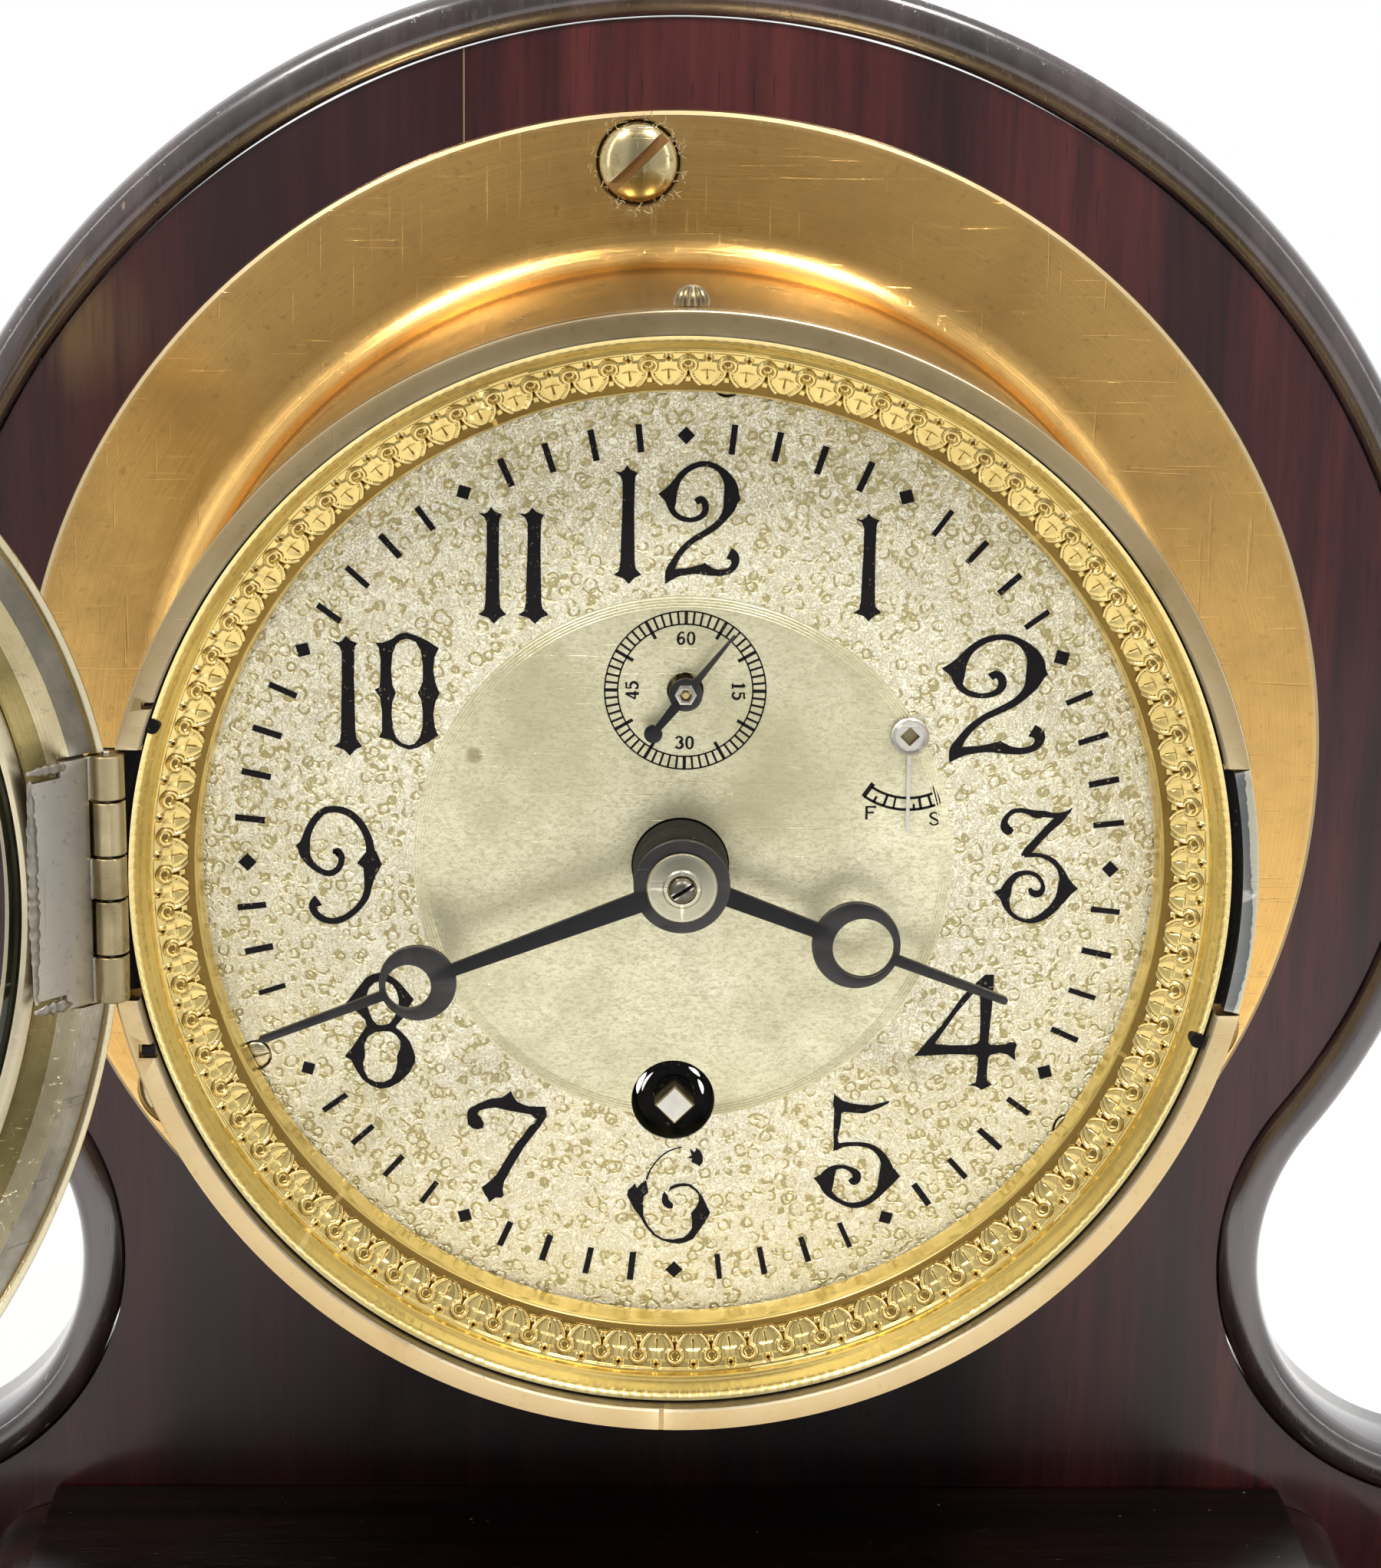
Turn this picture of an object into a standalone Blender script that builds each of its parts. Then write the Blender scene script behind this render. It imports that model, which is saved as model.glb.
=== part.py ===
"""Yacht clock: a drum case with an open hinged bezel, screwed to a shaped wooden stand.

Model frame: metres, +X right, +Y to the back, +Z up, with the origin under the middle of the base.
Sizes are written in millimetres and turned into metres where a mesh is made. A place on the clock is
(x, d, z): right of the clock's axis, behind the dial's face, and above the axis.
"""
import math

import bmesh
import bpy
from mathutils import Matrix, Vector

MM = 0.001
GAP = 0.3

# Sides of round pieces: cases and rings, hands and hubs, arbors and holes
LARGE = 40
MEDIUM = 16
SMALL = 8

# Places of the clock in the stand's frame
CLOCK_X = -1.0
DIAL_Y = -25.0
AXIS_Z = 135.0

# Case
CASE_R = 67.3
WALL_T = 2.3
RIM_LIP = 0.5
RIM_R = CASE_R + RIM_LIP
WALL_IN_R = CASE_R - WALL_T
RIM_D = -13.0
RIM_STEP_D = -9.2
COVE_R = 5.2
FLANGE_WIDTH = 20.1
FLANGE_R = CASE_R + FLANGE_WIDTH
FLANGE_D = 47.9
FLANGE_T = 2.4
FLOOR_T = 1.5
LEDGE_WIDTH = 3.8
LEDGE_IN_R = WALL_IN_R - LEDGE_WIDTH
LEDGE_T = 3.5
FLANGE_SCREW_RING_R = FLANGE_R - 6.6
FLANGE_SCREW_ANGLES = (93.9, 213.9, 333.9)
SCREW_HEAD_R = 5.15
SCREW_SHANK_R = 2.0
SCREW_LENGTH = 13.0
NOTCH_MID_Z = 1.6
HINGE_NOTCH_HALF = 15.1
CATCH_NOTCH_HALF = 13.9
NOTCH_FLOOR_D = -10.0
STUD_X = 0.3
STUD_D = -4.0
STUD_R = 2.1
STUD_SHANK_R = 1.0

# Bezel
OPEN_ANGLE = 133.0
HINGE_X = 1.2 - RIM_R
HINGE_D = -13.4
BARREL_R = 2.1
PIN_R = 0.5
LEAF_REACH = 10.6
KNUCKLES = ((16.5, 11.0, "bezel"), (11.0, 4.4, "case"), (4.4, -0.8, "bezel"),
            (-0.8, -7.5, "case"), (-7.5, -13.3, "bezel"))
BEZEL_R = RIM_R + 0.6
BEZEL_BACK_D = -13.2
GLASS_R = BEZEL_R - 9.0
GLASS_D = -19.9
GLASS_T = 1.6

# Dial
DIAL_R = WALL_IN_R - 0.6
DIAL_T = 1.2
RING_OUT_R = WALL_IN_R - 0.2
RING_IN_R = RING_OUT_R - 7.3
SECONDS_Z = 21.5
SECONDS_X = 0.3
WINDING_X = -0.3
WINDING_Z = -30.2
WINDING_HOLE_R = 5.1
REGULATOR_X = 27.2
REGULATOR_Z = 16.3
PIPE_R = 5.5
CANNON_PIPE_R = 2.6
HUB_R = 5.7
HAND_WASHER_R = 4.2
DIAL_SCREWS = ((DIAL_R - 7.5, 205.4), (DIAL_R - 5.8, 325.4), (DIAL_R - 5.8, 85.4))
DIAL_POST_R = 1.8
DIAL_SCREW_HEAD_R = 1.65
DIAL_SCREW_SHANK_R = 0.9
LEDGE_SCREW_RING_R = DIAL_R - 1.6
LEDGE_SCREW_ANGLES = (43.0, 162.9, 283.0)

# Movement
FRONT_PLATE_D = 7.0
REAR_PLATE_D = 30.0
PLATE_T = 1.6
PLATE_R = LEDGE_IN_R - 0.7
PILLAR_RING_R = PLATE_R - 6.5
PILLAR_ANGLES = (40.0, 140.0, 215.0, 335.0)
PILLAR_R = 3.0
PILLAR_END_R = 1.8
ARBOR_R = 1.2
CENTRE_ARBOR_R = 1.5
WHEEL_T = 1.2
GREAT_TEETH = 48
PINION_LEAVES = 6
CENTRE_TEETH = 45
THIRD_TEETH = 48
FOURTH_TEETH = 48
CENTRE_MODULE = 0.75
THIRD_MODULE = 0.70
FOURTH_MODULE = 0.50
ESCAPE_TEETH = 15
ESCAPE_R = 6.4
ESCAPE_DIRECTION = 25.0
BARREL_DRUM_R = 22.0
CANNON_TEETH = 10
MINUTE_TEETH = 30
MINUTE_LEAVES = 6
HOUR_TEETH = 24
MOTION_MODULE = 0.60
MINUTE_WHEEL_DIRECTION = -45.0
RATCHET_TEETH = 24
RATCHET_R = 10.0
RATCHET_D = 4.6
CLICK_AT = 160.0
CLICK_POINTS = 285.0
SQUARE_CORNER_R = 2.3
WINDING_R = 2.6
BARREL_BORE_R = WINDING_R + GAP
BALANCE_R = 9.0
COCK_D = 10.6
COCK_REACH = 14.0
COCK_DIRECTION = 60.0
SPRING_D = 12.2
SPRING_OUT_R = 5.2
SPRING_TURNS = 3
SPRING_END = -25.0
CURB_DIRECTION = -60.0
CURB_HALF = 0.62

# Time shown, clockwise from the top in degrees
HOUR_ANGLE = 110.7
MINUTE_ANGLE = 248.8
SECONDS_ANGLE = 38.4

# Wooden stand, heights from the table
BOARD_FRONT_D = 50.6
BOARD_T = 14.0
BOARD_BOTTOM = 11.6
HEAD_Z = -0.9
HEAD_R = 106.9
SHOULDER_R = 88.0
NECK_X = 113.4
NECK_Z = -70.2
NECK_R = 31.0
FOOT_HALF = 121.0
FOOT_CORNER_R = 6.9
BEAD_W = 5.7
BEAD_HEAD_DROP = 1.7
BEAD_HEAD_NARROW = 0.5
BEAD_RISE = 1.8
BLOCK_HALF = 87.0
BLOCK_FRONT_D = -2.0
BLOCK_TOP = 29.9
PLINTH_HALF = 124.0
PLINTH_FRONT_Y = -49.0
PLINTH_BACK_Y = 49.0
FELT_T = 1.5
PLINTH_TOP = 11.3
FELT_INSET = 3.0

MATERIALS = {
    "rosewood": ((0.075, 0.022, 0.012), 0.30, 0.0),
    "walnut": ((0.11, 0.045, 0.022), 0.35, 0.0),
    "ebony": ((0.010, 0.006, 0.005), 0.18, 0.0),
    "felt": ((0.03, 0.05, 0.035), 0.95, 0.0),
    "case_brass": ((0.62, 0.42, 0.16), 0.32, 1.0),
    "silver_brass": ((0.55, 0.50, 0.38), 0.42, 1.0),
    "movement_brass": ((0.72, 0.55, 0.25), 0.25, 1.0),
    "blue_black_steel": ((0.03, 0.03, 0.035), 0.40, 0.6),
    "steel": ((0.55, 0.55, 0.55), 0.28, 1.0),
    "glass": ((0.95, 0.97, 0.97), 0.03, 0.0),
}


def material(name):
    """Return the named material, made on first use."""
    found = bpy.data.materials.get(name)
    if found:
        return found
    colour, roughness, metallic = MATERIALS[name]
    made = bpy.data.materials.new(name)
    made.use_nodes = True
    shader = made.node_tree.nodes["Principled BSDF"]
    shader.inputs["Base Color"].default_value = (*colour, 1.0)
    shader.inputs["Roughness"].default_value = roughness
    shader.inputs["Metallic"].default_value = metallic
    if name == "glass":
        shader.inputs["Transmission Weight"].default_value = 1.0
    return made


def on_clock(x, d, z):
    """Turn a place on the clock into metres in the model's frame."""
    return Vector((CLOCK_X + x, DIAL_Y + d, AXIS_Z + z)) * MM


def in_stand(x, y, z):
    """Turn a place in the stand's frame, in millimetres, into one on the clock."""
    return Vector((x - CLOCK_X, y - DIAL_Y, z - AXIS_Z))


def make_piece(name, bm, material_name, origin=(0.0, 0.0, 0.0), parent=None, sharp=35.0):
    """Make an object from a mesh drawn in clock places, with its origin at one of them."""
    bmesh.ops.translate(bm, verts=bm.verts, vec=-Vector(origin))
    bmesh.ops.scale(bm, verts=bm.verts, vec=(MM, MM, MM))
    bmesh.ops.recalc_face_normals(bm, faces=bm.faces)
    mesh = bpy.data.meshes.new(name)
    bm.to_mesh(mesh)
    bm.free()
    mesh.shade_smooth()
    mesh.set_sharp_from_angle(angle=math.radians(sharp))
    mesh.materials.append(material(material_name))
    piece = bpy.data.objects.new(name, mesh)
    bpy.context.collection.objects.link(piece)
    if parent is None:
        piece.location = on_clock(*origin)
    else:
        piece.parent = parent
    return piece


def combine(piece, bm, operation):
    """Cut a mesh drawn in the piece's clock places out of it, or join it to the piece."""
    origin = on_clock(HINGE_X, HINGE_D, 0.0) if piece.parent else piece.location
    bmesh.ops.scale(bm, verts=bm.verts, vec=(MM, MM, MM))
    bmesh.ops.translate(bm, verts=bm.verts, vec=on_clock(0.0, 0.0, 0.0) - origin)
    bmesh.ops.recalc_face_normals(bm, faces=bm.faces)
    mesh = bpy.data.meshes.new("tool_" + piece.name)
    bm.to_mesh(mesh)
    bm.free()
    tool = bpy.data.objects.new("tool_" + piece.name, mesh)
    bpy.context.collection.objects.link(tool)
    tool.parent = piece
    tool.hide_render = True
    tool.display_type = "WIRE"
    boolean = piece.modifiers.new("shape", "BOOLEAN")
    boolean.operation = operation
    boolean.solver = "EXACT"
    boolean.object = tool
    bpy.context.view_layer.update()
    shaped = bpy.data.meshes.new_from_object(piece.evaluated_get(bpy.context.evaluated_depsgraph_get()))
    piece.modifiers.remove(boolean)
    bpy.data.objects.remove(tool)
    piece.data = shaped
    return piece


def cut(piece, bm):
    """Cut a mesh out of a piece."""
    return combine(piece, bm, "DIFFERENCE")


def join(piece, bm):
    """Join a mesh to a piece."""
    return combine(piece, bm, "UNION")


def turned(profile, segments=64, centre=(0.0, 0.0)):
    """Revolve a closed profile of (radius, depth) points about an axis that runs along Y."""
    bm = bmesh.new()
    corners = [bm.verts.new((radius, depth, 0.0)) for radius, depth in profile]
    edges = [bm.edges.new((corners[i - 1], corners[i])) for i in range(len(corners))]
    bmesh.ops.spin(bm, geom=corners + edges, cent=(0, 0, 0), axis=(0, 1, 0),
                   angle=2.0 * math.pi, steps=segments, use_merge=True)
    bmesh.ops.remove_doubles(bm, verts=bm.verts, dist=0.0001)
    axis_edges = [edge for edge in bm.edges if all(abs(v.co.x) + abs(v.co.z) < 0.0001 for v in edge.verts)]
    bmesh.ops.delete(bm, geom=axis_edges, context="EDGES")
    bmesh.ops.translate(bm, verts=bm.verts, vec=(centre[0], 0.0, centre[1]))
    return bm


def disc(radius, d0, d1, centre=(0.0, 0.0), segments=24):
    """A plain solid disc between two depths."""
    return turned([(0.0, d0), (radius, d0), (radius, d1), (0.0, d1)], segments, centre)


def tube(out_r, in_r, d0, d1, centre=(0.0, 0.0), segments=32):
    """A plain ring between two depths."""
    return turned([(in_r, d0), (out_r, d0), (out_r, d1), (in_r, d1)], segments, centre)


def box(low, high):
    """A box between two corners in clock places."""
    bm = bmesh.new()
    bmesh.ops.create_cube(bm, size=1.0)
    size = [high[i] - low[i] for i in range(3)]
    middle = [(high[i] + low[i]) / 2.0 for i in range(3)]
    bmesh.ops.scale(bm, verts=bm.verts, vec=size)
    bmesh.ops.translate(bm, verts=bm.verts, vec=middle)
    return bm


def bevel_all(bm, width, segments=2):
    """Round every edge of a mesh."""
    bmesh.ops.bevel(bm, geom=bm.edges, offset=width, segments=segments, profile=0.5, affect="EDGES",
                    clamp_overlap=True)
    return bm


def circle(x, z, radius, count=24, start=0.0):
    """Points of a circle in the plane of the dial."""
    turns = [start + 2.0 * math.pi * i / count for i in range(count)]
    return [(x + radius * math.cos(a), z + radius * math.sin(a)) for a in turns]


def arc(x, z, radius, start, end, count):
    """Points along an arc, both ends included, with its angles in radians."""
    turns = [start + (end - start) * i / count for i in range(count + 1)]
    return [(x + radius * math.cos(a), z + radius * math.sin(a)) for a in turns]


def plate(outline, d0, d1, holes=()):
    """A flat plate with holes, cut to an outline in the plane of the dial, between two depths."""
    bm = bmesh.new()
    for loop in (outline, *holes):
        corners = [bm.verts.new((x, d0, z)) for x, z in loop]
        for i in range(len(corners)):
            bm.edges.new((corners[i - 1], corners[i]))
    bmesh.ops.triangle_fill(bm, use_beauty=True, use_dissolve=False, edges=bm.edges)
    faces = list(bm.faces)
    made = bmesh.ops.extrude_face_region(bm, geom=faces)
    moved = [item for item in made["geom"] if isinstance(item, bmesh.types.BMVert)]
    bmesh.ops.translate(bm, verts=moved, vec=(0.0, d1 - d0, 0.0))
    return bm


def skinned(rows, closed_rows=False):
    """A solid skin over rows of points, each row a closed section."""
    bm = bmesh.new()
    made = [[bm.verts.new(point) for point in row] for row in rows]
    count = len(rows[0])
    last = len(made) if closed_rows else len(made) - 1
    for i in range(last):
        low = made[i]
        high = made[(i + 1) % len(made)]
        for j in range(count):
            bm.faces.new((low[j - 1], low[j], high[j], high[j - 1]))
    if not closed_rows:
        bm.faces.new(made[0])
        bm.faces.new(list(reversed(made[-1])))
    return bm


def meet(centre_a, radius_a, centre_b, radius_b, upper=True):
    """The point at two given distances from two centres, above or below the line between them."""
    ax, az = centre_a
    bx, bz = centre_b
    span = math.hypot(bx - ax, bz - az)
    along = (radius_a ** 2 - radius_b ** 2 + span ** 2) / (2.0 * span)
    aside = math.sqrt(max(radius_a ** 2 - along ** 2, 0.0))
    ux, uz = (bx - ax) / span, (bz - az) / span
    choices = [(ax + along * ux - side * aside * uz, az + along * uz + side * aside * ux) for side in (1, -1)]
    return max(choices, key=lambda point: point[1] if upper else -point[1])


# Wooden stand
def half_outline(head_z, head_r, shoulder_r, neck_r, foot_half, corner_r, bottom):
    """Right half of the stand's outline, from the foot up to the top of the head."""
    head = (0.0, head_z)
    neck = (NECK_X, NECK_Z)
    shoulder = meet(head, head_r - shoulder_r, neck, shoulder_r + neck_r)
    corner = (foot_half - corner_r, NECK_Z - neck_r - corner_r)
    to_neck = math.atan2(NECK_Z - shoulder[1], NECK_X - shoulder[0])
    to_head = math.atan2(shoulder[1] - head[1], shoulder[0] - head[0])
    points = [(foot_half, bottom)]
    points += arc(*corner, corner_r, 0.0, math.pi / 2.0, 4)
    points += arc(*neck, neck_r, 1.5 * math.pi, math.pi + to_neck, 9)
    points += arc(*shoulder, shoulder_r, to_neck, to_head, 6)[1:]
    points += arc(*head, head_r, to_head, math.pi / 2.0, 12)[1:]
    return points


def stand_outline(inset, bottom):
    """The stand's outline, drawn in by a width: the bead's outside at 0, the board's edge further in."""
    drop = BEAD_HEAD_DROP if inset else 0.0
    narrow = inset - (BEAD_HEAD_NARROW if inset else 0.0)
    right = half_outline(HEAD_Z - drop, HEAD_R - narrow, SHOULDER_R - inset, NECK_R + inset,
                         FOOT_HALF - inset, max(FOOT_CORNER_R - inset, 0.6), bottom)
    left = [(-x, z) for x, z in reversed(right[:-1])]
    return [(x - CLOCK_X, z) for x, z in right + left]


def build_stand():
    """The board with its edge bead, the block with its moulding, and the plinth on its felt."""
    bottom = BOARD_BOTTOM - AXIS_Z
    board_back = BOARD_FRONT_D + BOARD_T
    outer = stand_outline(0.0, bottom)
    inner = stand_outline(BEAD_W, bottom)
    board = make_piece("backboard", plate(stand_outline(BEAD_W + GAP, bottom), BOARD_FRONT_D, board_back),
                       "rosewood")
    for angle in FLANGE_SCREW_ANGLES:
        x, z = screw_place(angle)
        cut(board, disc(SCREW_SHANK_R + GAP, BOARD_FRONT_D - 1.0, FLANGE_D + SCREW_LENGTH + 0.6, (x, z), 16))

    crest = BOARD_FRONT_D - BEAD_RISE
    section = ((0.0, crest + 1.9), (0.2, crest + 0.3), (0.5, crest), (0.8, crest + 0.4), (1.0, crest + 2.4),
               (1.0, board_back), (0.0, board_back))
    rows = []
    for (xi, zi), (xo, zo) in zip(inner, outer):
        rows.append([(xi + (xo - xi) * t, d, zi + (zo - zi) * t) for t, d in section])
    make_piece("edge_bead", skinned(rows), "ebony")

    block_low = in_stand(-BLOCK_HALF, DIAL_Y + BLOCK_FRONT_D, BOARD_BOTTOM)
    block_high = in_stand(BLOCK_HALF, DIAL_Y + BOARD_FRONT_D - GAP, BLOCK_TOP)
    block = make_piece("base_block", bevel_all(box(block_low, block_high), 0.6, 1), "walnut")

    moulding = ((GAP, 27.0), (2.0, 26.6), (5.5, 25.0), (8.0, 22.3), (9.6, 19.0), (11.2, 17.0), (12.5, 14.5),
                (13.5, 14.0), (13.5, BOARD_BOTTOM), (GAP, BOARD_BOTTOM))
    front_y = DIAL_Y + BLOCK_FRONT_D
    back_y = DIAL_Y + BOARD_FRONT_D - GAP
    rows = []
    for x_side, y_start, y_step in ((-1, back_y, 0), (-1, front_y, -1), (1, front_y, -1), (1, back_y, 0)):
        rows.append([in_stand(x_side * (BLOCK_HALF + n), y_start + y_step * n, z) for n, z in moulding])
    make_piece("base_moulding", skinned(rows), "rosewood")

    plinth_low = in_stand(-PLINTH_HALF, PLINTH_FRONT_Y, FELT_T + GAP)
    plinth_high = in_stand(PLINTH_HALF, PLINTH_BACK_Y, PLINTH_TOP)
    plinth = make_piece("plinth", bevel_all(box(plinth_low, plinth_high), 1.4, 1), "rosewood")

    felt_low = in_stand(-PLINTH_HALF + FELT_INSET, PLINTH_FRONT_Y + FELT_INSET, 0.0)
    felt_high = in_stand(PLINTH_HALF - FELT_INSET, PLINTH_BACK_Y - FELT_INSET, FELT_T)
    make_piece("felt_base", box(felt_low, felt_high), "felt")

    screws = []
    for x in (-55.0, 55.0):
        for part, radius, low, high in (("hole", 2.3, 0.0, 22.0), ("sink", 4.6, 0.0, 5.2)):
            for piece in (plinth, block):
                bm = bmesh.new()
                bmesh.ops.create_cone(bm, cap_ends=True, segments=12, radius1=radius, radius2=radius,
                                      depth=high - low)
                bmesh.ops.translate(bm, verts=bm.verts, vec=in_stand(x, 0.0, (high + low) / 2.0))
                if part == "hole" or piece is plinth:
                    cut(piece, bm)
        profile = ((0.0, 2.2), (4.2, 2.2), (4.2, 4.9), (2.0, 4.9), (2.0, 20.5), (0.0, 21.5))
        bm = turned(profile, 12)
        bmesh.ops.rotate(bm, verts=bm.verts, cent=(0, 0, 0), matrix=Matrix.Rotation(math.pi / 2.0, 3, "X"))
        bmesh.ops.translate(bm, verts=bm.verts, vec=in_stand(x, 0.0, 0.0))
        screws.append(bm)
    for number, bm in enumerate(screws, start=1):
        make_piece("base_screw_%d" % number, bm, "steel")


# Case
def screw_place(angle):
    """Where a flange screw stands, right of and above the clock's axis."""
    return (FLANGE_SCREW_RING_R * math.cos(math.radians(angle)),
            FLANGE_SCREW_RING_R * math.sin(math.radians(angle)))


def slotted(profile, centre, slot, head_d, slot_deep, segments=24, slot_angle=45.0):
    """A turned screw with a straight slot cut in its head, as a mesh in clock places."""
    head = turned(profile, segments, centre)
    length, width = slot
    tool = box((-length, head_d - 1.0, -width / 2.0), (length, head_d + slot_deep, width / 2.0))
    turn = Matrix.Rotation(-math.radians(slot_angle), 3, "Y")
    bmesh.ops.rotate(tool, verts=tool.verts, cent=(0, 0, 0), matrix=turn)
    bmesh.ops.translate(tool, verts=tool.verts, vec=(centre[0], 0.0, centre[1]))
    return head, tool


def add_screw(name, profile, centre, slot, head_d, slot_deep, material_name, segments=24, slot_angle=45.0):
    """Make a slotted screw."""
    head, tool = slotted(profile, centre, slot, head_d, slot_deep, segments, slot_angle)
    return cut(make_piece(name, head, material_name), tool)


def build_case():
    """The drum with its flange and screws, the stud, the catch spring and the case half of the hinge."""
    back = FLANGE_D + FLANGE_T
    cove = [(CASE_R + COVE_R * (1.0 - math.cos(a)), FLANGE_D - COVE_R * (1.0 - math.sin(a)))
            for a in (math.radians(step * 22.5) for step in range(5))]
    floor_in = back - FLOOR_T - 0.6
    profile = [(0.0, floor_in), (WALL_IN_R, floor_in), (WALL_IN_R, 1.5 + LEDGE_T), (LEDGE_IN_R, 1.5 + LEDGE_T),
               (LEDGE_IN_R, DIAL_T + GAP), (WALL_IN_R, DIAL_T + GAP), (WALL_IN_R, RIM_D), (RIM_R - 0.3, RIM_D),
               (RIM_R, RIM_D + 0.3), (RIM_R, RIM_STEP_D), (CASE_R, RIM_STEP_D + 0.4)]
    profile += cove
    profile += [(FLANGE_R - 1.4, FLANGE_D), (FLANGE_R - 0.3, FLANGE_D + 0.5), (FLANGE_R, FLANGE_D + 1.4),
                (FLANGE_R - 0.4, back), (FLANGE_R - 6.0, back), (FLANGE_R - 6.6, back - 0.6), (0.0, back - 0.6)]
    drum = make_piece("case_drum", turned(profile, LARGE), "case_brass")

    notch_z = (NOTCH_MID_Z - HINGE_NOTCH_HALF, NOTCH_MID_Z + HINGE_NOTCH_HALF)
    cut(drum, box((-RIM_R - 3.0, RIM_D - 1.0, notch_z[0]), (-WALL_IN_R + 6.0, NOTCH_FLOOR_D + GAP, notch_z[1])))
    catch_half = CATCH_NOTCH_HALF
    cut(drum, box((WALL_IN_R - 8.0, RIM_D - 1.0, NOTCH_MID_Z - catch_half),
                  (RIM_R + 3.0, NOTCH_FLOOR_D, NOTCH_MID_Z + catch_half)))
    cut(drum, box((-2.0, RIM_D - 1.0, -RIM_R - 1.0), (-1.4, RIM_D + 0.5, -WALL_IN_R + 1.0)))
    for angle in (197.4, 160.6):
        x, z = polar(RIM_R - 1.9, angle)
        cut(drum, box((x - 1.3, RIM_D - 1.0, z - 0.9), (x + 1.6, RIM_D + 1.2, z + 0.9)))
    cut(drum, stud_hole())

    head = ((0.0, FLANGE_D - 1.9), (2.2, FLANGE_D - 1.7), (4.0, FLANGE_D - 1.1), (SCREW_HEAD_R, FLANGE_D - 0.2),
            (SCREW_HEAD_R, FLANGE_D + 0.3), (SCREW_SHANK_R, FLANGE_D + 1.5),
            (SCREW_SHANK_R, FLANGE_D + SCREW_LENGTH - 2.0), (0.0, FLANGE_D + SCREW_LENGTH))
    for number, angle in enumerate(FLANGE_SCREW_ANGLES, start=1):
        x, z = screw_place(angle)
        sink = ((0.0, FLANGE_D - 1.0), (SCREW_HEAD_R + 0.5, FLANGE_D - 1.0), (SCREW_HEAD_R + 0.5, FLANGE_D + 0.5),
                (SCREW_SHANK_R + GAP, FLANGE_D + 1.9), (SCREW_SHANK_R + GAP, back + 1.0), (0.0, back + 1.0))
        cut(drum, turned(sink, MEDIUM, (x, z)))
        add_screw("flange_screw_%d" % number, head, (x, z), (SCREW_HEAD_R + 1.0, 1.0), FLANGE_D - 1.9, 1.2,
                  "steel", MEDIUM)

    stud = turned(((0.0, -6.0), (STUD_SHANK_R, -6.0), (STUD_SHANK_R, 0.3), (STUD_R, 0.3), (STUD_R, 2.2),
                   (STUD_R - 0.4, 2.6), (0.0, 2.6)), 24)
    bmesh.ops.rotate(stud, verts=stud.verts, cent=(0, 0, 0), matrix=Matrix.Rotation(math.pi / 2.0, 3, "X"))
    bmesh.ops.translate(stud, verts=stud.verts, vec=(STUD_X, STUD_D, CASE_R))
    stud_in = [v for v in stud.verts if v.co.z < WALL_IN_R + GAP]
    for vertex in stud_in:
        vertex.co.z = WALL_IN_R + GAP
    make_piece("fluted_stud", stud, "steel")

    spring_r = (RIM_R - 1.7, RIM_R - GAP)
    sweep = math.asin(NOTCH_MID_Z / RIM_R)
    half = math.asin((CATCH_NOTCH_HALF - 2.0 * GAP) / RIM_R)
    outline = arc(0.0, 0.0, spring_r[1], sweep - half, sweep + half, 12)
    outline += arc(0.0, 0.0, spring_r[0], sweep + half, sweep - half, 12)
    make_piece("catch_spring", plate(outline, -12.6, NOTCH_FLOOR_D - GAP), "steel")

    leaf_z = (NOTCH_MID_Z - HINGE_NOTCH_HALF + 0.4, NOTCH_MID_Z + HINGE_NOTCH_HALF - 0.4)
    leaf = make_piece("hinge_case_leaf", box((HINGE_X - 0.9, -10.9, leaf_z[0]), (HINGE_X + 1.3, -10.0, leaf_z[1])),
                      "case_brass")
    for top, bottom, owner in KNUCKLES:
        if owner == "case":
            join(leaf, knuckle(top, bottom))
            join(leaf, box((HINGE_X - 0.8, HINGE_D + 1.2, bottom + GAP / 2.0),
                           (HINGE_X + 1.2, -10.5, top - GAP / 2.0)))
    cut(leaf, upright(PIN_R + GAP, -20.0, 25.0))


def stud_hole():
    """The hole through the top of the drum's wall for the stud."""
    bm = disc(STUD_SHANK_R + GAP, -1.0, 6.0, segments=16)
    bmesh.ops.rotate(bm, verts=bm.verts, cent=(0, 0, 0), matrix=Matrix.Rotation(math.pi / 2.0, 3, "X"))
    bmesh.ops.translate(bm, verts=bm.verts, vec=(STUD_X, STUD_D, WALL_IN_R))
    return bm


def upright(radius, low, high, x=HINGE_X, d=HINGE_D, segments=12):
    """An upright cylinder, by default on the hinge's axis."""
    bm = bmesh.new()
    bmesh.ops.create_cone(bm, cap_ends=True, segments=segments, radius1=radius, radius2=radius,
                          depth=high - low)
    bmesh.ops.translate(bm, verts=bm.verts, vec=(x, d, (high + low) / 2.0))
    return bm


def knuckle(top, bottom):
    """One knuckle of the hinge, short of its neighbours by a gap."""
    return upright(BARREL_R, bottom + GAP / 2.0, top - GAP / 2.0)


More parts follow.
